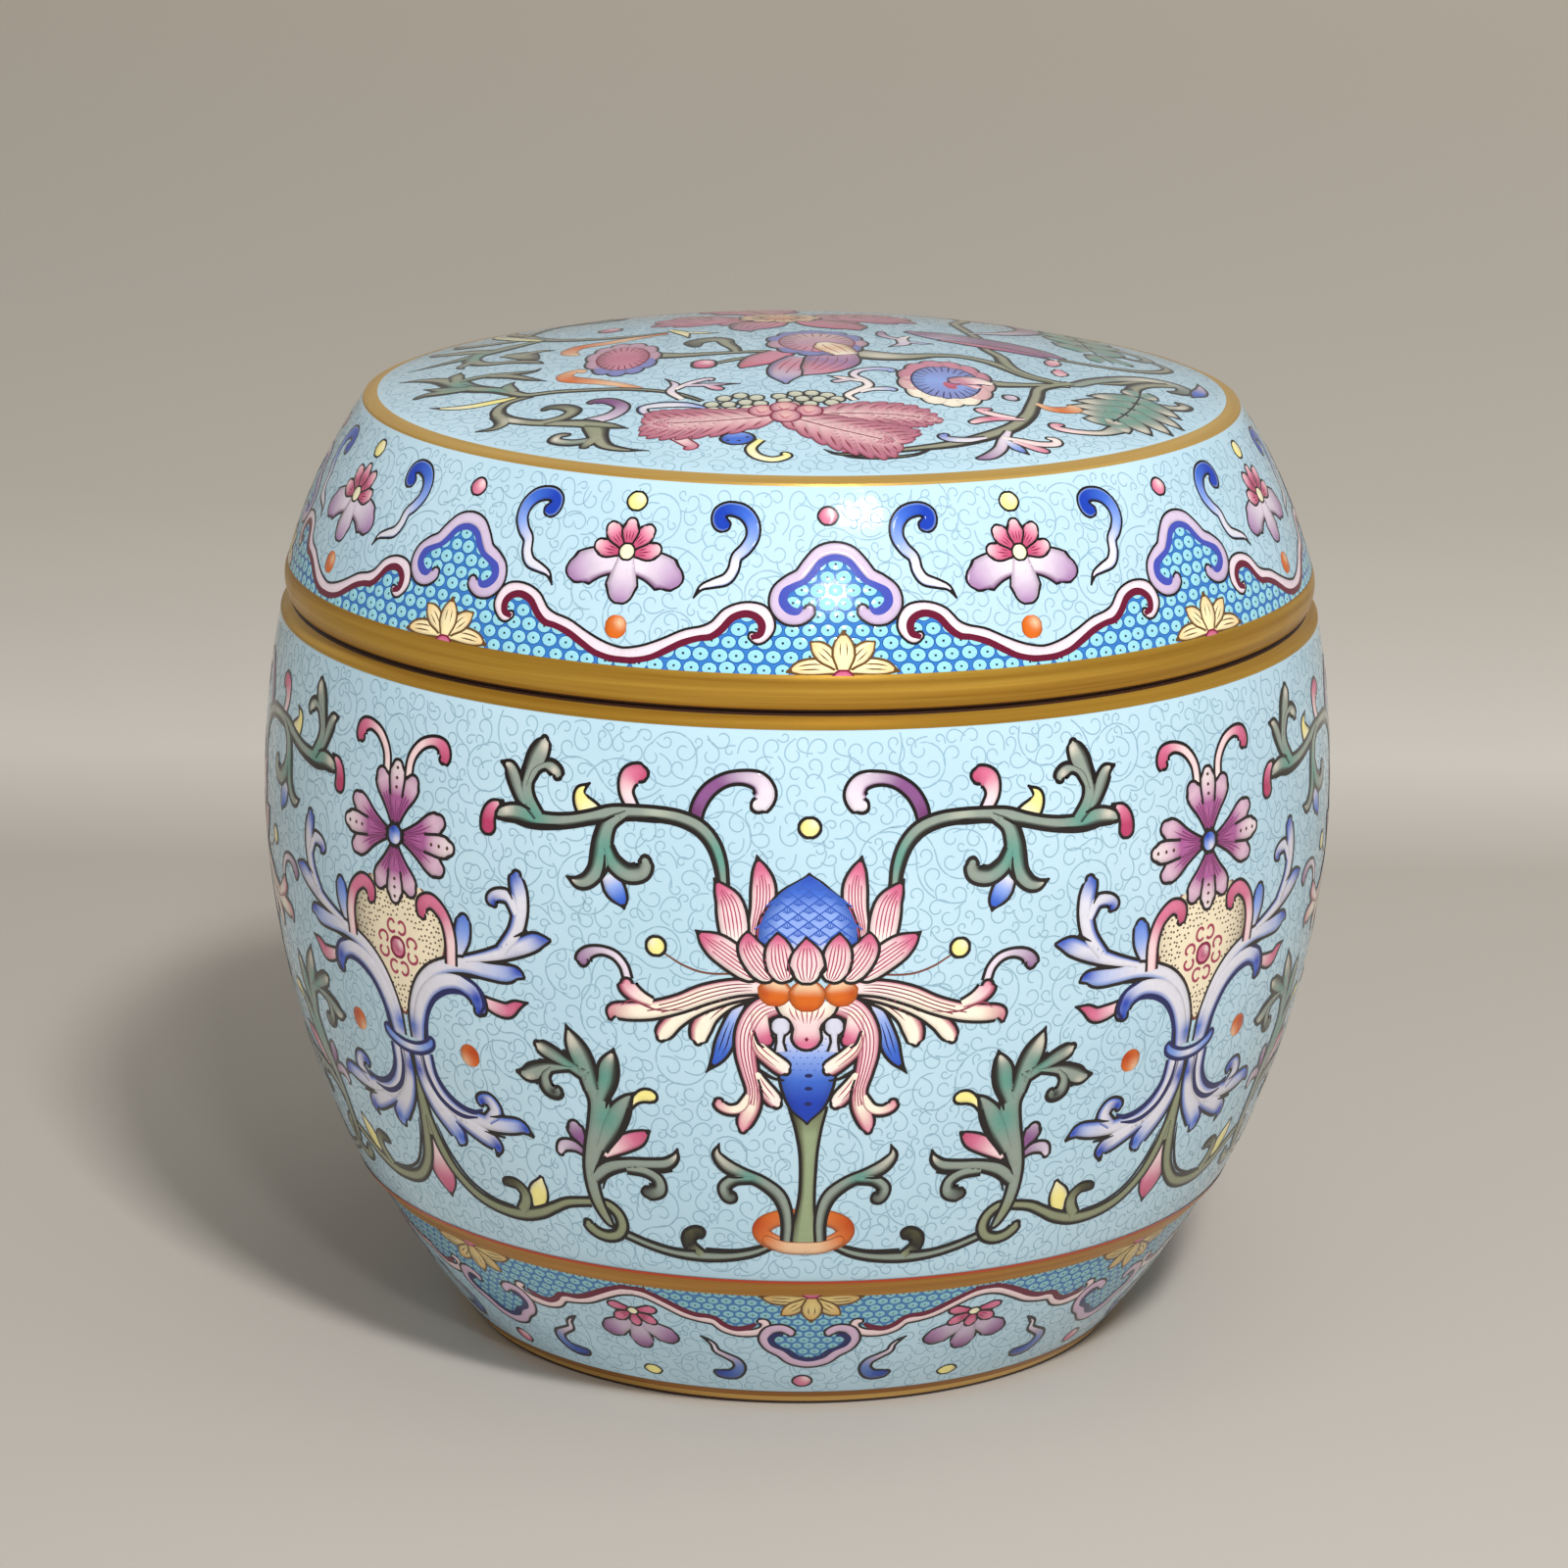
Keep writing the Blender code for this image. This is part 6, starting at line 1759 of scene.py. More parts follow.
    # Blue and yellow pieces under the front bloom
    art.group([dot(-9.4, -52.9, 5.6, 5.2, [BLUE, BLUE, BLUE_LIGHT])],
              lines=[("navy", [(x - 0.3, y, 0.2), (x, y, 0.6), (x + 0.3, y, 0.2)])
                     for x, y in ((-10.8, -53.6), (-9.2, -53.8), (-8.0, -52.6))])
    art.single([(7.6, -46.8, 4.0), (11.0, -47.6, 4.0), (13.6, -48.2, 2.2), (15.2, -48.6, 0.3)],
               [BLUE_DEEP, BLUE, BLUE_LIGHT], "-v", 0.42)
    art.single([(-6.0, -53.6, 1.8), (-7.4, -56.6, 2.1), (-6.5, -59.3, 2.2), (-4.2, -60.5, 2.2),
                (-2.2, -59.3, 2.0), (-2.9, -57.9, 1.5)], [YELLOW, YELLOW_PALE, YELLOW], "-o", 0.42)
    # Feathered petals of the front bloom
    blush = [srgb(224, 188, 188), srgb(196, 130, 144), srgb(164, 86, 112)]
    art.single([(-16.6, -48.4, 3.6), (-18.2, -50.8, 3.0), (-17.2, -53.2, 2.4), (-16.0, -55.2, 2.2),
                (-17.2, -56.2, 1.6)], [PINK, PINK_PALE, PINK_DEEP], "-o", 0.3, ink="crimson")
    art.single([(15.0, -40.8, 3.0), (17.0, -42.4, 2.6), (19.2, -43.6, 2.4), (20.6, -43.0, 1.8)],
               [PINK_PALE, PINK, PINK_DEEP], "-o", 0.3, ink="crimson")
    art.single([(6.0, -56.4, 2.6), (8.8, -56.9, 2.4), (11.4, -55.8, 2.2), (12.3, -54.4, 1.8)],
               [PINK, PINK_PALE, PINK_DEEP], "-o", 0.3, ink="crimson")
    for spine in ([(-4.0, -44.6, 8.0), (-8.0, -45.6, 11.0), (-12.0, -46.2, 12.0), (-16.0, -46.4, 11.4),
                   (-19.8, -46.2, 7.8), (-22.4, -46.0, 2.4)],
                  [(0.6, -44.4, 5.0), (4.6, -43.6, 9.0), (9.0, -43.0, 10.0), (13.6, -42.8, 8.4),
                   (17.4, -43.2, 4.6), (20.6, -44.0, 1.0)],
                  [(-2.6, -44.6, 7.0), (0.6, -46.8, 11.0), (4.4, -49.2, 13.4), (8.4, -51.2, 13.0),
                   (11.6, -52.6, 8.6), (13.8, -53.6, 2.6)]):
        feathered(art, spine, 9, 0.8, blush, 0.26, "vein", ink="vein", mark="vein")
    # Curled petals at its middle
    for x, y, size in ((-5.9, -42.6, 4.4), (-2.6, -41.4, 4.6), (1.0, -42.6, 4.4), (-2.4, -44.8, 4.8)):
        art.group([dot(x, y, size, size * 1.1, [rose, srgb(222, 176, 172), srgb(206, 150, 148)], 0.34,
                       left=(rose, 0.6), right=(rose, 0.6))], ink="crimson",
                  lines=[("rose_ink", [(x - 1.0, y + 0.8, 0.1), (x - 0.2, y - 0.9, 0.4),
                                       (x + 1.0, y + 0.2, 0.1)])])


# The scale field and the borders around the lid and the foot
CELL_PITCH = 2.62
CELL_RISE = 1.92
CELL_BLUE_LID = srgb(50, 116, 188)
CELL_PALE_LID = srgb(146, 206, 220)
CELL_BLUE_FOOT = srgb(70, 124, 172)
CELL_PALE_FOOT = srgb(132, 184, 194)
RUYI_TONES = [srgb(190, 170, 200), srgb(206, 190, 214), srgb(190, 170, 200)]
LID_AXIS = 3.8
LID_RUYI_SHIFT = 1.5
FOOT_AXIS = 2.0
FOOT_RUYI_SHIFT = 0.9
FOOT_CELL_SIZE = 0.76


class GroundScroll:
    """Fine scrolls incised all over the ground: open rings, curls along them, and loose curls."""

    CELL = 0.25
    # A curl: its points, their distance and the room that its eye needs
    CURL_STEPS = 15
    CURL_STEP = 0.47
    EYE_START = 8
    EYE_ROOM = 1.1
    # A ring: the distance of its points and the length of its tail
    RING_STEP = 0.5
    RING_TAIL = 11.0
    # How often a place is tried: for rings in all, for curls on each square millimetre
    RING_TRIES = 900
    CURL_TRIES = 1.6
    # The drawn lines: widths, height, the tilt of their sides, and when enamel hides them
    VINE_WIDTH = 0.21
    CURL_WIDTH = 0.19
    TIP_HALF = 0.04
    LIFT = 0.009
    TILT = 0.30
    HIDDEN_SHARE = 0.65

    def __init__(self, width, low, high, seed, blocked=None):
        self.width = width
        self.low = low
        self.shape = (int(round(width / self.CELL)), int((high - low) / self.CELL))
        self.pitch = width / self.shape[0]
        self.random = random.Random(seed)
        self.taken = np.zeros(self.shape, bool)
        if blocked:
            x, y = np.meshgrid((np.arange(self.shape[0]) + 0.5) * self.pitch,
                               low + (np.arange(self.shape[1]) + 0.5) * self.CELL, indexing="ij")
            self.taken = blocked(x, y)
        self.curls = []
        self.vines = []
        reach = np.arange(-6, 7) * self.CELL
        x, y = (value.ravel() for value in np.meshgrid(reach, reach))
        keep = np.hypot(x, y) < self.EYE_ROOM
        self.disc = np.stack([x[keep], y[keep]], -1)
        self.template = self.curl_template()
        self.eye = self.template[self.EYE_START:].mean(0)

    def curl_template(self):
        """A curl that leaves along +x and winds up to the left by more than a turn."""
        heading = -0.35
        point = np.zeros(2)
        points = [point]
        for i in range(self.CURL_STEPS):
            share = i / self.CURL_STEPS
            heading += self.CURL_STEP * (0.06 + 0.68 * min(share * 2.2, 1.0) + 0.70 * share ** 3)
            point = point + self.CURL_STEP * np.array([math.cos(heading), math.sin(heading)])
            points.append(point)
        return np.array(points)

    def cells(self, points):
        """Cells under points on the closed band, and which points are between its edges."""
        x = np.floor(points[:, 0] / self.pitch).astype(int) % self.shape[0]
        y = np.floor((points[:, 1] - self.low) / self.CELL).astype(int)
        inside = (y >= 0) & (y < self.shape[1])
        return x, np.clip(y, 0, self.shape[1] - 1), inside

    def free(self, points):
        """Whether all the points are on the band and nothing is there yet."""
        x, y, inside = self.cells(points)
        return inside.all() and not self.taken[x, y].any()

    def take(self, points):
        """Mark the cells under the points as taken."""
        x, y, inside = self.cells(points)
        self.taken[x[inside], y[inside]] = True

    def curl(self, root, heading, side, size):
        """Place one curl if its eye and its tail have room."""
        sine = math.sin(heading)
        cosine = math.cos(heading)
        turn = np.array([[cosine, sine], [-sine, cosine]])
        points = root + (self.template * (size, size * side)) @ turn
        eye = root + (self.eye * (size, size * side)) @ turn
        if self.free(eye + self.disc * size) and self.free(points[3:]):
            self.take(eye + self.disc * size)
            self.take(points)
            self.curls.append(points)

    def ring(self, x, y, radius):
        """An open ring with a tail that swings out until it meets another vine."""
        side = self.random.choice((-1.0, 1.0))
        heading = self.random.uniform(0.0, math.tau)
        sweep = self.random.uniform(4.2, 5.4)
        point = np.array([x + radius * math.sin(heading) * side, y - radius * math.cos(heading) * side])
        points = [point]
        travelled = 0.0
        while travelled < sweep * radius + self.RING_TAIL:
            on_ring = travelled < sweep * radius
            share = min(travelled / (sweep * radius), 1.0)
            bend = (1.25 - 0.25 * share) / radius if on_ring else -0.75 / radius
            heading += side * bend * self.RING_STEP
            point = point + self.RING_STEP * np.array([math.cos(heading), math.sin(heading)])
            travelled += self.RING_STEP
            if len(points) > 6 and not self.free(point[None]):
                break
            points.append(point)
        points = np.array(points[::-1])
        if len(points) < 12:
            return
        self.vines.append(points)
        self.take(points)
        self.take(points + (0.0, 0.2))
        self.take(points + (0.2, 0.0))

    def across(self, run):
        """The shorter way around the band between two places that lie a run apart."""
        return (run + self.width / 2.0) % self.width - self.width / 2.0

    def grow(self, spread):
        """Fill the band: rings first, then curls along them, then curls wherever there is room."""
        high = self.low + self.shape[1] * self.CELL
        rings = []
        for _ in range(self.RING_TRIES):
            x = self.random.uniform(0.0, self.width)
            y = self.random.uniform(self.low + 2.0, high - 2.0)
            radius = self.random.uniform(3.4, 5.0)
            if all(math.hypot(self.across(x - a), y - b) > radius + r + spread for a, b, r in rings):
                rings.append((x, y, radius))
                self.ring(x, y, radius)
        for points in list(self.vines):
            for i in range(2, len(points) - 2):
                heading = math.atan2(*(points[i + 1] - points[i - 1])[::-1])
                side = 1.0 if i % 4 < 2 else -1.0
                self.curl(points[i], heading, side, self.random.uniform(0.86, 1.1))
        tries = int(self.width * (high - self.low) * self.CURL_TRIES)
        for size in (1.0, 0.84, 0.66, 0.5):
            for _ in range(tries):
                root = np.array([self.random.uniform(0.0, self.width), self.random.uniform(self.low, high)])
                self.curl(root, self.random.uniform(0.0, math.tau), self.random.choice((-1.0, 1.0)), size)

    def patch(self, hidden, offset=0.0):
        """All lines as narrow quads, without those that lie mostly under enamel."""
        out = Patch()
        for points in self.vines:
            points = points[::2]
            for part in [points[i:i + 6] for i in range(0, len(points) - 1, 5)]:
                if len(part) > 1 and hidden(part).mean() < self.HIDDEN_SHARE:
                    self.add_line(out, part + (offset, 0.0), self.VINE_WIDTH)
        for points in self.curls:
            if hidden(points).mean() < self.HIDDEN_SHARE:
                self.add_line(out, np.delete(points, 1, axis=0) + (offset, 0.0), self.CURL_WIDTH)
        return out

    def add_line(self, out, points, width):
        """One thin line, tapering at its end, with normals that dip like a scratch."""
        run = unit(np.gradient(points, axis=0))
        left = np.stack([-run[:, 1], run[:, 0]], -1)
        half = np.full(len(points), width / 2.0)
        half[-1] = self.TIP_HALF
        flat = np.stack([points - left * half[:, None], points + left * half[:, None]], 1).reshape(-1, 2)
        tilt = np.stack([left, -left], 1).reshape(-1, 2) * self.TILT
        quads = grid_quads(np.arange(len(flat)).reshape(-1, 2))
        out.add(flat, self.LIFT, tilt, np.zeros((len(flat), 5)), quads, (1.0, 1.0))


# The lotus stands this far along the belly from the front, the pods at these angles
LOTUS_AXIS = 1.7
POD_TURNS = [math.radians(angle) for angle in (46.6, 136.6, 226.6, -45.2)]
# Both places of a pod within its quarter of the belly, in degrees
POD_PLACES = (46.6, 44.8)
# The ends of the scrolls lie this many levels up, over the stems from the pods
POD_STEM_LEVEL = 2
# Half the angle of the repeat at the front of the foot, and of the six others
FOOT_FRONT_HALF = math.radians(23.7)
FOOT_SIDE_HALF = math.radians(26.05)


# Inks by the names that the drawing uses, with the names and colours of their materials
INKS = {
    "black": ("outline_black", INK_BLACK),
    "brown": ("outline_brown", INK_BROWN),
    "umber": ("outline_umber", srgb(78, 50, 40)),
    "vein": ("petal_vein", VEIN),
    "claret": ("outline_claret", srgb(98, 10, 44)),
    "crimson": ("outline_crimson", CRIMSON),
    "rose_ink": ("outline_rose", srgb(186, 96, 112)),
    "rose_vein": ("petal_rose_vein", srgb(164, 68, 98)),
    "rosette_ink": ("outline_rosette", srgb(158, 58, 84)),
    "plum_ink": ("outline_plum", srgb(116, 46, 96)),
    "purple_ink": ("outline_purple", PURPLE_DEEP),
    "navy": ("outline_navy", NAVY),
    "bud_blue": ("outline_blue", srgb(48, 88, 180)),
    "orange_ink": ("outline_orange", srgb(150, 70, 20)),
    "royal": ("outline_royal", srgb(62, 74, 168)),
    "cell_blue": ("outline_cell", srgb(22, 80, 152)),
    "dark_dot": ("cell_dot", srgb(24, 34, 60)),
    "gold_brown": ("outline_gold_brown", srgb(96, 66, 30)),
}
MATERIALS = {"enamel": painted_enamel("painted_enamel")}
for ink, (material_name, colour) in INKS.items():
    MATERIALS[ink] = plain_enamel(material_name, colour)
GROUND_LINE = plain_enamel("incised_line", SKY_LINE)
SKY_GLAZE = ground_glaze("sky_glaze", SKY, SKY_DEEP)
INSIDE_GLAZE = ground_glaze("inside_glaze", srgb(150, 206, 208), srgb(140, 198, 202))
GILT = gilt("worn_gilt", srgb(202, 158, 62), srgb(164, 118, 34))
GILT_RING = gilt("ring_gilt", srgb(230, 190, 108), srgb(202, 158, 78))
GILT_WAIST = gilt("waist_worn_gilt", srgb(198, 144, 62), srgb(164, 106, 40))
GILT_DARK = gilt("foot_gilt", srgb(170, 116, 52), srgb(136, 84, 30))
GILT_EDGE = plain_enamel("gilt_edge_red", srgb(168, 62, 28))
# Painted shade: a dark brown that stands for the shadow in the gap under the lid and under the foot's edge
GAP_SHADE = plain_enamel("painted_gap_shade", srgb(52, 26, 14), 0.4, 0.6)
BARE = bare_porcelain("bare_foot_ring")


def inset_run(points, amount):
    """A run of (radius, level) moved towards the inside of the wall."""
    points = np.array(points, float)
    run = np.gradient(points[:, 0])
    rise = np.gradient(points[:, 1])
    out = unit(np.stack([rise, -run], -1))
    out = np.where(out[:, :1] < 0.0, -out, out)
    return [tuple(point) for point in points - out * amount]


# Edges that turn by more than this are drawn sharp, in degrees
SHARP_ANGLE = 32.0
# Points on the turning axis stand off it by this much
AXIS_HOLE = 0.02


def turned(name, section, material, steps=TURN_STEPS):
    """A piece turned about the Z axis; the run of (radius, level) keeps the clay on its left."""
    section = np.array(section, float)
    count = len(section)
    angles = np.arange(steps) * math.tau / steps
    radius = section[:, 0][None, :]
    points = np.stack([radius * np.sin(angles)[:, None], -radius * np.cos(angles)[:, None],
                       np.broadcast_to(section[:, 1], (steps, count))], -1)
    index = np.arange(steps * count).reshape(steps, count)
    quads = grid_quads(np.vstack([index, index[:1]]))
    piece = make_piece(name, points.reshape(-1, 3), quads, material)
    piece.data.set_sharp_from_angle(angle=math.radians(SHARP_ANGLE))
    return piece


def jar_turning():
    """The jar itself: glazed outside, glazed inside, bare foot ring."""
    ring_inside = FOOT_RADIUS - FOOT_RING_WIDTH
    recess_edge = ring_inside - FOOT_RECESS_DRAFT
    collar_top = SEAT_LEVEL + COLLAR_HEIGHT
    collar_inside = COLLAR_RADIUS - COLLAR_THICKNESS
    floor_level = FOOT_RECESS + JAR_FLOOR
    foot = inset_run(foot_points(12), GROUND_INSET)[::-1]
    outside = foot + inset_run(belly_points(36), GROUND_INSET)
    edge = MOUTH_EDGE_RADIUS - GROUND_INSET
    outside += [(edge, SEAT_LEVEL - SEAT_ROUNDING), (edge - SEAT_ROUNDING, SEAT_LEVEL - 0.05),
                (COLLAR_RADIUS, SEAT_LEVEL - 0.05)]
    underside = [(AXIS_HOLE, FOOT_RECESS), (recess_edge - 0.5, FOOT_RECESS),
                 (recess_edge, FOOT_RECESS - 0.5), (ring_inside - 0.3, 1.6)]
    bare = [(ring_inside - 0.3, 1.6), (ring_inside, 0.0), (FOOT_RADIUS - 1.0, 0.0)]
    collar = [(COLLAR_RADIUS, SEAT_LEVEL), (COLLAR_RADIUS, collar_top - COLLAR_ROUNDING)]
    for i in range(1, 5):
        angle = math.pi / 8.0 * i
        collar.append((COLLAR_RADIUS - COLLAR_ROUNDING * (1.0 - math.cos(angle)),
                       collar_top - COLLAR_ROUNDING * (1.0 - math.sin(angle))))
    collar += [(2.0 * collar_inside + COLLAR_THICKNESS - radius, level) for radius, level in collar[:0:-1]]
    # The inside runs without a step at the waist
    wall = inset_run(foot_points(8)[1:][::-1] + belly_points(24), JAR_WALL)
    radii, levels = zip(*wall)
    fillet_top = floor_level + FLOOR_FILLET
    fillet_radius = np.interp(fillet_top, levels, radii)
    neck = (collar_inside, SEAT_LEVEL - NECK_DEPTH)
    neck_start = neck[1] - NECK_BLEND
    inside = collar + [neck]
    for i in range(1, 11):
        share = i / 10.0
        ease = share * share * (3.0 - 2.0 * share)
        radius = neck[0] + (np.interp(neck_start, levels, radii) - neck[0]) * ease
        inside.append((radius, neck[1] - NECK_BLEND * share))
    inside += [(radius, level) for radius, level in wall[::-1]
               if fillet_top + JAR_WALL / 2.0 < level < neck_start - JAR_WALL / 2.0]
    for i in range(7):
        angle = math.pi / 12.0 * i
        inside.append((fillet_radius - FLOOR_FILLET * (1.0 - math.cos(angle)),
                       fillet_top - FLOOR_FILLET * math.sin(angle)))
    inside.append((AXIS_HOLE, floor_level))
    pieces = [turned("jar_outside", outside, SKY_GLAZE),
              turned("jar_underside", underside, INSIDE_GLAZE, INSIDE_STEPS),
              turned("jar_foot_ring", bare, BARE),
              turned("jar_inside", inside, INSIDE_GLAZE, INSIDE_STEPS)]
    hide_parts("jar_body")


def lid_turning():
    """The lid: glazed outside and inside."""
    levels = np.linspace(LID_BOTTOM + RIM_EDGE_SETBACK, BEAD_TOP, 9)
    bead = [(bead_radius(level) - GROUND_INSET, level) for level in levels]
    steps = [1.0 - i / 20.0 for i in range(21)]
    dome = [(DOME_RADIUS * step + AXIS_HOLE, dome_level(DOME_RADIUS * step) - GROUND_INSET)
            for step in steps]
    outside = [(LID_BORE, LID_BOTTOM), (bead[0][0] - RIM_EDGE_SETBACK, LID_BOTTOM)]
    outside += bead + inset_run(shoulder_points(16), GROUND_INSET)[1:] + dome
    bore_top = SEAT_LEVEL + COLLAR_HEIGHT
    wall = [point for point in inset_run(shoulder_points(12), LID_WALL)
            if point[1] > bore_top + 1.0 and point[0] < LID_BORE]
    inner_edge = DOME_RADIUS - LID_WALL
    inside = [(inner_edge * step + AXIS_HOLE, dome_level(inner_edge * step) - LID_WALL)
              for step in steps[::-1]]
    inside += wall[::-1] + [(LID_BORE, bore_top), (LID_BORE, LID_BOTTOM)]
    pieces = [turned("lid_outside", outside, SKY_GLAZE),
              turned("lid_inside", inside, INSIDE_GLAZE, INSIDE_STEPS)]
    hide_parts("lid")


# Top of the gilding at the foot, and how far the bands of painted shade stand off their gilding
FOOT_GILT_TOP = 2.75
SHADE_BAND_LIFT = 0.02


def gilt_bands():
    """Gilding at the lid's ring and rim, the mouth, the waist and the foot, with bands of painted shade at
    the gap under the lid and at the foot's lower edge.
    """
    outward = GILT_LIFT - GROUND_INSET
    low = [point for point in inset_run(foot_points(60), -outward)
           if FOOT_EDGE < point[1] < FOOT_GILT_TOP][::-1]
    # Painted shade on the foot's lower edge, where it meets the floor
    foot_shade = [(FOOT_RADIUS - 1.0, 0.0), (FOOT_RADIUS - FOOT_EDGE, 0.0),
                 (FOOT_RADIUS - 0.1, FOOT_EDGE), low[0]]
    half = len(low) // 2
    foot_top = foot_points(16)[0]
    waist = [(foot_top[0] - 0.3 + outward, FOOT_HEIGHT - 0.45), (foot_top[0] + outward, FOOT_HEIGHT),
             (belly_radius(WAIST_TOP) + outward, WAIST_TOP),
             (belly_radius(WAIST_TOP + 0.5) + outward, WAIST_TOP + 0.5)]
    mouth = [(belly_radius(MOUTH_BAND_BOTTOM - 0.5) + outward, MOUTH_BAND_BOTTOM - 0.5),
             (belly_radius(MOUTH_BAND_BOTTOM) + outward, MOUTH_BAND_BOTTOM),
             (MOUTH_EDGE_RADIUS, SEAT_LEVEL - SEAT_ROUNDING),
             (MOUTH_EDGE_RADIUS - SEAT_ROUNDING, SEAT_LEVEL), (MOUTH_EDGE_RADIUS - 3.2, SEAT_LEVEL)]
    levels = np.linspace(LID_BOTTOM + RIM_EDGE_SETBACK, BEAD_TOP + 0.1, 14)
    rim = [(bead_radius(level) + outward, level) for level in levels]
    rim.insert(0, (rim[0][0] - RIM_EDGE_SETBACK, LID_BOTTOM + 0.02))
    ring = [(SHOULDER_TOP[0] + 0.16 + outward, SHOULDER_TOP[1] - 0.35),
            (SHOULDER_TOP[0] + outward, SHOULDER_TOP[1]),
            (DOME_RADIUS, DOME_EDGE_LEVEL + outward * 0.8),
            (DOME_RADIUS - 0.35, DOME_EDGE_LEVEL + 0.05 + outward)]
    edge_level = WAIST_TOP + 0.30
    edge = [(belly_radius(edge_level + step) + outward + 0.04, edge_level + step)
            for step in (0.0, 0.52)]
    # Painted shade: dark bands on either side of the gap under the lid
    lip = MOUTH_EDGE_RADIUS + SHADE_BAND_LIFT
    shaded_lip = [(lip, SEAT_LEVEL - SEAT_ROUNDING - 0.12),
                (lip, SEAT_LEVEL - SEAT_ROUNDING + SHADE_BAND_LIFT),
                (lip - SEAT_ROUNDING, SEAT_LEVEL + SHADE_BAND_LIFT), (lip - 1.6, SEAT_LEVEL + SHADE_BAND_LIFT)]
    rim_level = LID_BOTTOM + RIM_EDGE_SETBACK
    bead_edge = bead_radius(rim_level) + outward + SHADE_BAND_LIFT
    shaded_rim = [(bead_edge - RIM_EDGE_SETBACK, LID_BOTTOM + 0.01), (bead_edge, rim_level),
                (bead_edge + 0.04, rim_level + 0.16)]
    bands = [("foot_gilt", low[half:], GILT_DARK, "jar_glaze"),
             ("foot_pale_gilt", low[:half + 1], GILT_RING, "jar_glaze"),
             ("foot_painted_shade", foot_shade, GAP_SHADE, "jar_glaze"),
             ("waist_gilt", waist, GILT_WAIST, "jar_glaze"),
             ("waist_red_edge", edge, GILT_EDGE, "jar_glaze"),
             ("mouth_gilt", mouth, GILT, "jar_glaze"),
             ("mouth_painted_shade", shaded_lip, GAP_SHADE, "jar_glaze"),
             ("lid_rim_painted_shade", shaded_rim, GAP_SHADE, "lid_glaze"),
             ("lid_rim_gilt", rim, GILT, "lid_glaze"),
             ("lid_ring_gilt", ring, GILT_RING, "lid_glaze")]
    for name, section, material, slot in bands:
        turned(name, section, material)


FLOOR_REACH = 6.0
FLOOR_POINTS = 13
# The colour ramp of the paper ends this many metres behind the jar
RAMP_LENGTH = 2.0
# Tones of the paper by its distance behind the jar in metres. This is painted light: darker near the jar, a
# bright band where light falls behind it, and lighter far off
FLOOR_PAINTED_LIGHT = [(0.0, srgb(183, 177, 169)), (0.25, srgb(182, 176, 167)), (0.34, srgb(217, 211, 203)),
               (0.46, srgb(209, 203, 194)), (0.62, srgb(205, 199, 188)), (0.95, srgb(214, 206, 196)),
               (1.80, srgb(239, 229, 215))]


def stage():
    """Pale floor, long enough to fill the view from every side, with light and shade painted into its
    colour.
    """
    steps = np.linspace(-FLOOR_REACH, FLOOR_REACH, FLOOR_POINTS)
    points = [(x, y, 0.0) for y in steps for x in steps]
    corners = [FLOOR_POINTS * j + i for j in range(FLOOR_POINTS - 1) for i in range(FLOOR_POINTS - 1)]
    quads = [(corner, corner + 1, corner + FLOOR_POINTS + 1, corner + FLOOR_POINTS)
             for corner in corners]
    material, tree, shader = node_tree("studio_paper")
    place = tree.nodes.new("ShaderNodeTexCoord")
    depth = tree.nodes.new("ShaderNodeVectorMath")
    depth.operation = "DOT_PRODUCT"
    depth.inputs[1].default_value = (0.0, 1.0 / RAMP_LENGTH, 0.0)
    ramp = tree.nodes.new("ShaderNodeValToRGB")
    tree.links.new(place.outputs["Object"], depth.inputs[0])
    tree.links.new(depth.outputs["Value"], ramp.inputs["Fac"])
    # Painted light: the paper is a little lighter to the right, the side the daylight comes from
    sideways = tree.nodes.new("ShaderNodeSeparateXYZ")
    lighter = tree.nodes.new("ShaderNodeMapRange")
    lighter.inputs["From Min"].default_value = -0.4
    lighter.inputs["From Max"].default_value = 0.4
    lighter.inputs["To Min"].default_value = 0.92
    lighter.inputs["To Max"].default_value = 1.08
    scaled = tree.nodes.new("ShaderNodeVectorMath")
    scaled.operation = "SCALE"
    tree.links.new(place.outputs["Object"], sideways.inputs["Vector"])
    tree.links.new(sideways.outputs["X"], lighter.inputs["Value"])
    tree.links.new(ramp.outputs["Color"], scaled.inputs[0])
    tree.links.new(lighter.outputs["Result"], scaled.inputs["Scale"])
    tree.links.new(scaled.outputs["Vector"], shader.inputs["Base Color"])
    bands = ramp.color_ramp.elements
    bands[0].color = (*FLOOR_PAINTED_LIGHT[0][1], 1.0)
    bands[1].position = FLOOR_PAINTED_LIGHT[-1][0] / RAMP_LENGTH
    bands[1].color = (*FLOOR_PAINTED_LIGHT[-1][1], 1.0)
    for distance, tone in FLOOR_PAINTED_LIGHT[1:-1]:
        bands.new(distance / RAMP_LENGTH).color = (*tone, 1.0)
    add_gloss(tree, shader, 0.85, 0.95, 8.0)
    mesh = bpy.data.meshes.new("studio_floor")
    mesh.from_pydata(points, [], quads)
    mesh.materials.append(material)
    floor = bpy.data.objects.new("studio_floor", mesh)
    bpy.context.scene.collection.objects.link(floor)


# Height of the point that the lights look at, in metres
LIGHT_TARGET = 0.10


def softbox(name, azimuth, elevation, distance, size, power, mirrored=True):
    """An area light at an angle around the jar; azimuth 0 is in front, positive to the right."""
    around = math.radians(azimuth)
    above = math.radians(elevation)
    data = bpy.data.lights.new(name, "AREA")
    data.shape = "RECTANGLE"
    data.size, data.size_y = size
    data.energy = power
    light = bpy.data.objects.new(name, data)
    light.visible_glossy = mirrored
    light.visible_camera = False
    target = Vector((0.0, 0.0, LIGHT_TARGET))
    light.location = target + distance * Vector((math.sin(around) * math.cos(above),
                                                 -math.cos(around) * math.cos(above), math.sin(above)))
    light.rotation_euler = (target - light.location).to_track_quat("-Z", "Y").to_euler()
    bpy.context.scene.collection.objects.link(light)


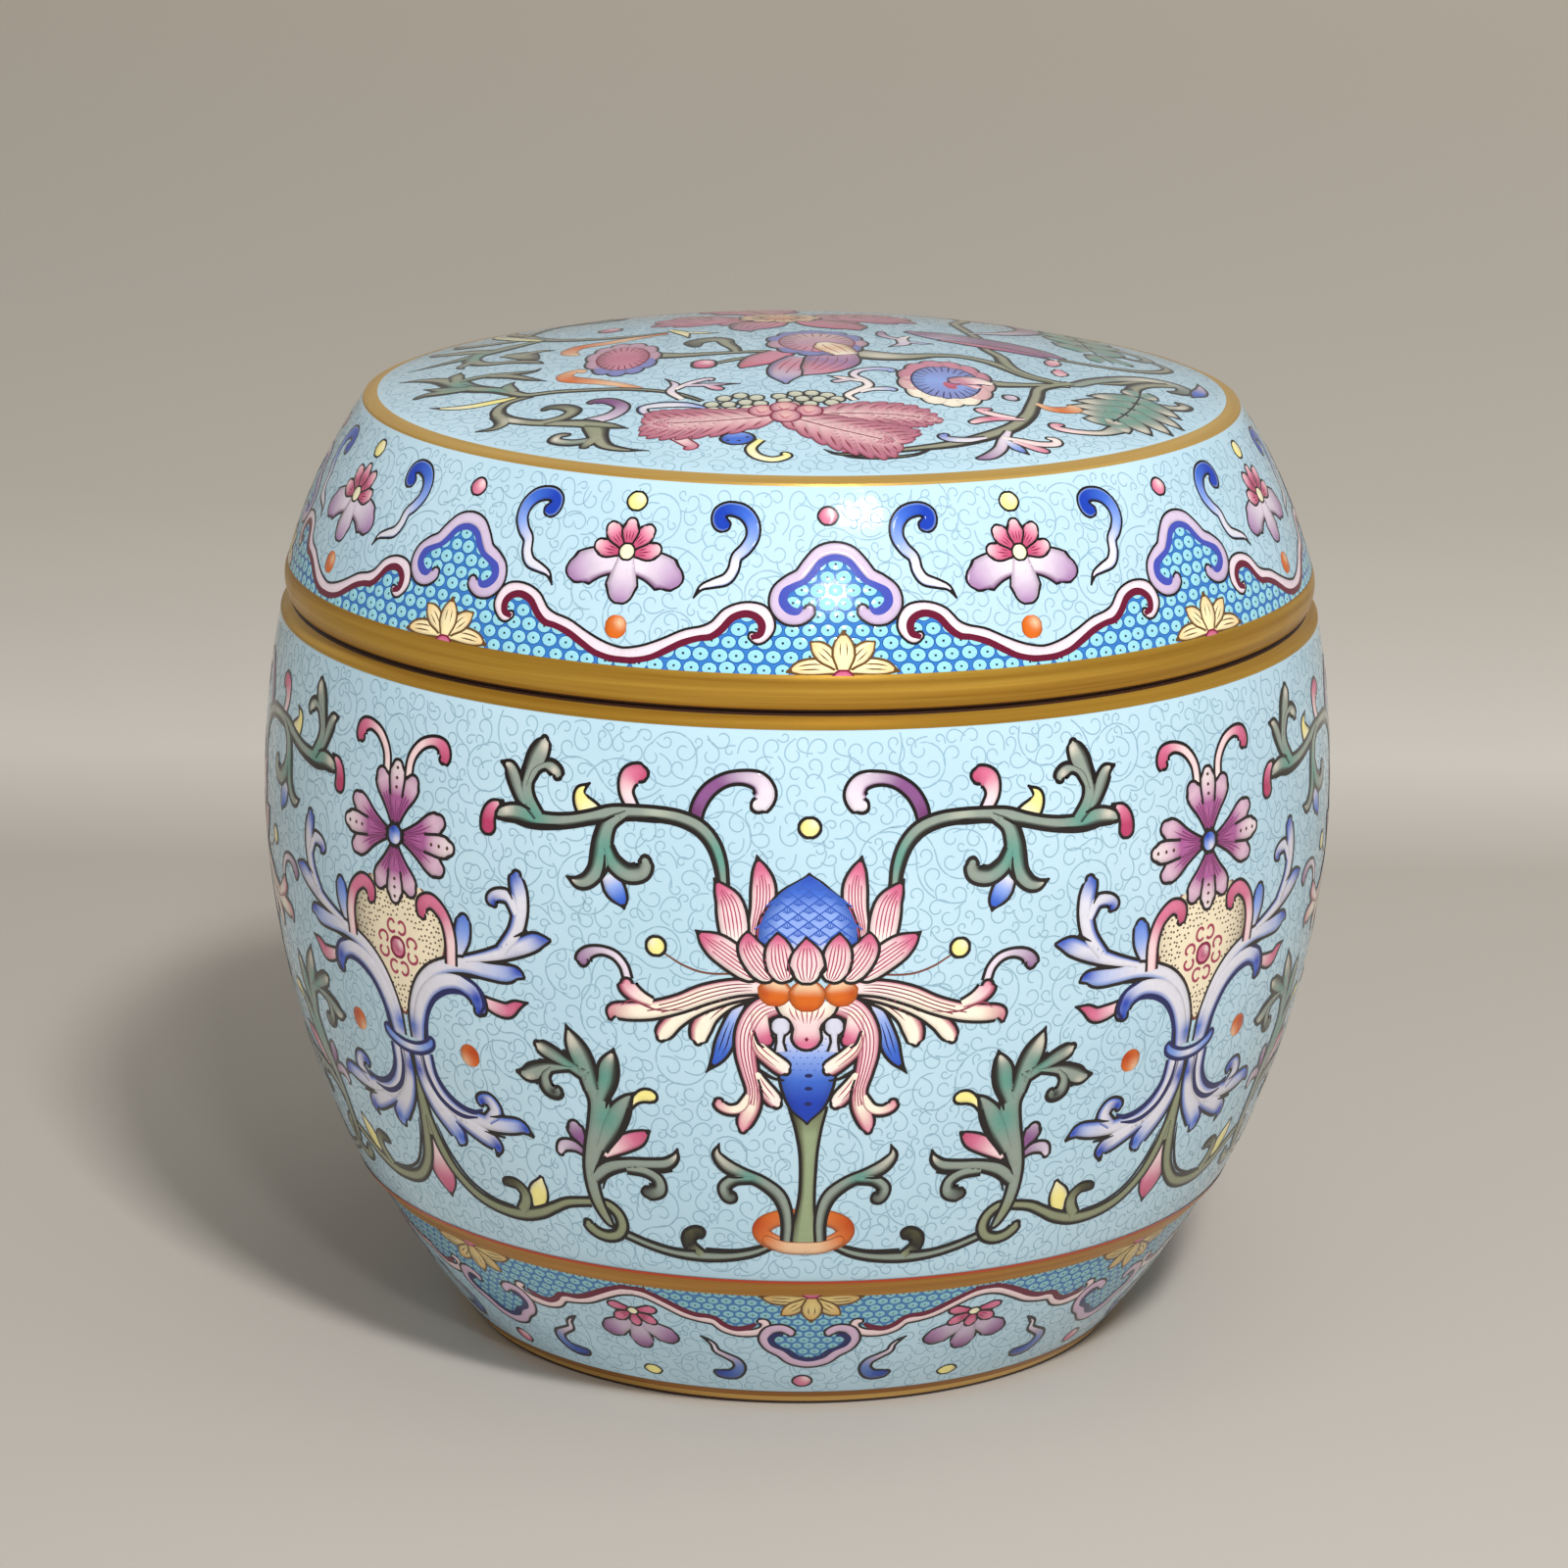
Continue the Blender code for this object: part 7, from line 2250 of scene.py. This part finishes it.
def lights():
    """Soft daylight from the front and a little to the right, with two small window glints."""
    softbox("daylight", 19.5, 45.5, 1.5, (0.17, 0.14), 16.2, False)
    softbox("low_fill", -12.0, 2.5, 3.2, (2.8, 0.5), 32.0, False)
    softbox("window_low", 8.0, 34.0, 1.5, (0.11, 0.08), 3.0)
    softbox("window_high", 17.5, 50.0, 1.4, (0.19, 0.13), 1.5)
    softbox("overhead", 70.0, 74.0, 1.3, (0.9, 0.9), 2.0, False)
    world = bpy.data.worlds.new("studio_world")
    world.use_nodes = True
    sky = world.node_tree.nodes["Background"]
    sky.inputs["Color"].default_value = (1.0, 0.97, 0.90, 1.0)
    sky.inputs["Strength"].default_value = 0.36
    bpy.context.scene.world = world


# The photograph's view: half its width and the focal length in its pixels, then millimetres
HALF_PICTURE = 800.0
FOCAL_LENGTH = 5500.0
CAMERA_TARGET = (-2.08, 0.0, 84.27)
CAMERA_DISTANCE = 852.5
CAMERA_PITCH = 15.0
CAMERA_ROLL = 0.63


def camera():
    """The photograph's view: a long lens, fifteen degrees down, turned a little."""
    data = bpy.data.cameras.new("camera")
    data.sensor_fit = "HORIZONTAL"
    data.angle = 2.0 * math.atan(HALF_PICTURE / FOCAL_LENGTH)
    view = bpy.data.objects.new("camera", data)
    target = Vector(CAMERA_TARGET) * MM
    pitch = math.radians(CAMERA_PITCH)
    distance = CAMERA_DISTANCE * MM
    view.location = target + distance * Vector((0.0, -math.cos(pitch), math.sin(pitch)))
    aim = (target - view.location).to_track_quat("-Z", "Y").to_matrix().to_4x4()
    roll = Matrix.Rotation(math.radians(CAMERA_ROLL), 4, "Z")
    view.matrix_world = Matrix.Translation(view.location) @ aim @ roll
    bpy.context.scene.collection.objects.link(view)
    bpy.context.scene.camera = view


def ground_pieces(prefix, scroll, wall, turns, hidden, offset=0.0):
    """Lay the ground scroll of one wall."""
    patch = scroll.patch(hidden, offset)
    for number, turn in enumerate(turns, 1):
        patch.lay(f"{prefix}_ground_{number}", wall, turn, GROUND_LINE, False)


def paint_belly():
    """Four lotus repeats with their scrolls and four pods between them."""
    quarters = [math.pi / 2.0 * i for i in range(4)]
    pods = Canvas((-36.0, 26.0), (36.0, 114.0))
    flower_pod(pods)
    pods.lay("belly_pod", BELLY, POD_TURNS, "jar_glaze")
    art = Canvas((-66.0, 26.0), (69.0, 114.0))
    # The scrolls end over the stems that come from the pods
    art.levels += POD_STEM_LEVEL
    upper_scroll(art)
    leaf_cluster(art)
    lotus_foot(art)
    lotus(art)
    art.lay("belly_lotus", BELLY, quarters, "jar_glaze")
    art.levels -= POD_STEM_LEVEL
    quarter = BELLY_RADIUS * math.pi / 2.0

    def hidden(points):
        """Under the lotus repeat, or under the pod at either of the places it can stand."""
        x = (points[:, 0] + quarter / 2.0) % quarter - quarter / 2.0
        x = np.where(x < LOTUS_AXIS - quarter / 2.0, x + quarter, x)
        under = art.covered(np.stack([x, points[:, 1]], -1))
        beside = np.ones(len(points), bool)
        for turn in POD_PLACES:
            shift = (points[:, 0] - BELLY_RADIUS * math.radians(turn) + quarter / 2.0) % quarter
            beside &= pods.covered(np.stack([shift - quarter / 2.0, points[:, 1]], -1))
        return under | beside

    scroll = GroundScroll(quarter, 26.6, 113.6, seed=11)
    scroll.grow(3.2)
    ground_pieces("belly", scroll, BELLY, quarters, hidden)


def paint_lid_side():
    """Eight repeats around the lid."""
    period = SHOULDER.reference * math.pi / 4.0
    art = Canvas((LID_AXIS - 0.5 * period - 3.0, -0.5), (LID_AXIS + 0.5 * period + 13.0, 29.0))
    lid_unit(art)
    art.lay("lid_side", SHOULDER, [math.pi / 4.0 * i for i in range(8)], "lid_glaze")

    def hidden(points):
        """Under a repeat or under the one beside it, which overlaps its edge."""
        x = (points[:, 0] - LID_AXIS + 0.5 * period) % period + LID_AXIS - 0.5 * period
        around = art.covered(np.stack([x, points[:, 1]], -1))
        return around | art.covered(np.stack([x + period, points[:, 1]], -1))

    scroll = GroundScroll(2.0 * period, 1.0, 27.4, seed=23)
    scroll.grow(3.0)
    quarters = [math.pi / 2.0 * i for i in range(4)]
    ground_pieces("lid_side", scroll, SHOULDER, quarters, hidden)


def paint_foot():
    """Seven repeats around the foot; the one in front is a little narrower than the others."""
    art = Canvas((FOOT_AXIS - 38.0, -26.0), (FOOT_AXIS + 30.0, 0.5))
    foot_unit(art)
    front = FOOT_AXIS / FOOT.reference
    turns = [front + FOOT_FRONT_HALF + FOOT_SIDE_HALF * (1.0 + 2.0 * i) for i in range(6)]
    art.lay("foot_front", FOOT, [0.0], "jar_glaze")
    art.lay("foot_side", FOOT_WIDE, [turn - FOOT_AXIS / FOOT_WIDE.reference for turn in turns],
            "jar_glaze")
    repeats = [(front, FOOT.reference)] + [(turn, FOOT_WIDE.reference) for turn in turns]

    def hidden(points):
        """Under any of the seven repeats."""
        angle = points[:, 0] / FOOT.reference
        out = np.zeros(len(points), bool)
        for turn, reference in repeats:
            away = (angle - turn + math.pi) % math.tau - math.pi
            out |= art.covered(np.stack([FOOT_AXIS + away * reference, points[:, 1]], -1))
        return out

    scroll = GroundScroll(FOOT.reference * math.tau, -25.0, -1.0, seed=37)
    scroll.grow(3.0)
    ground_pieces("foot", scroll, FOOT, [0.0], hidden)


def paint_lid_top():
    """The scrolls and blooms on the lid's dome, inside the gilt ring."""
    art = Canvas((-66.0, -66.0), (66.0, 66.0))
    top_stems(art)
    top_sprigs(art)
    top_blooms(art)
    art.lay("lid_top", TOP, [0.0], "lid_glaze")
    half = 68.0

    def outside(x, y):
        """Outside the gilt ring, in a square whose left edge is x = 0."""
        return np.hypot(x - half, y) > DOME_RADIUS - 0.9

    def hidden(points):
        """Under the painting of the lid's top."""
        return art.covered(points - (half, 0.0))

    scroll = GroundScroll(2.0 * half, -half, half, seed=53, blocked=outside)
    scroll.grow(3.2)
    ground_pieces("lid_top", scroll, TOP, [0.0], hidden, -half)


camera()
stage()
lights()
jar_turning()
lid_turning()
gilt_bands()
paint_belly()
paint_lid_side()
paint_foot()
paint_lid_top()

bpy.context.scene.view_settings.view_transform = "Standard"
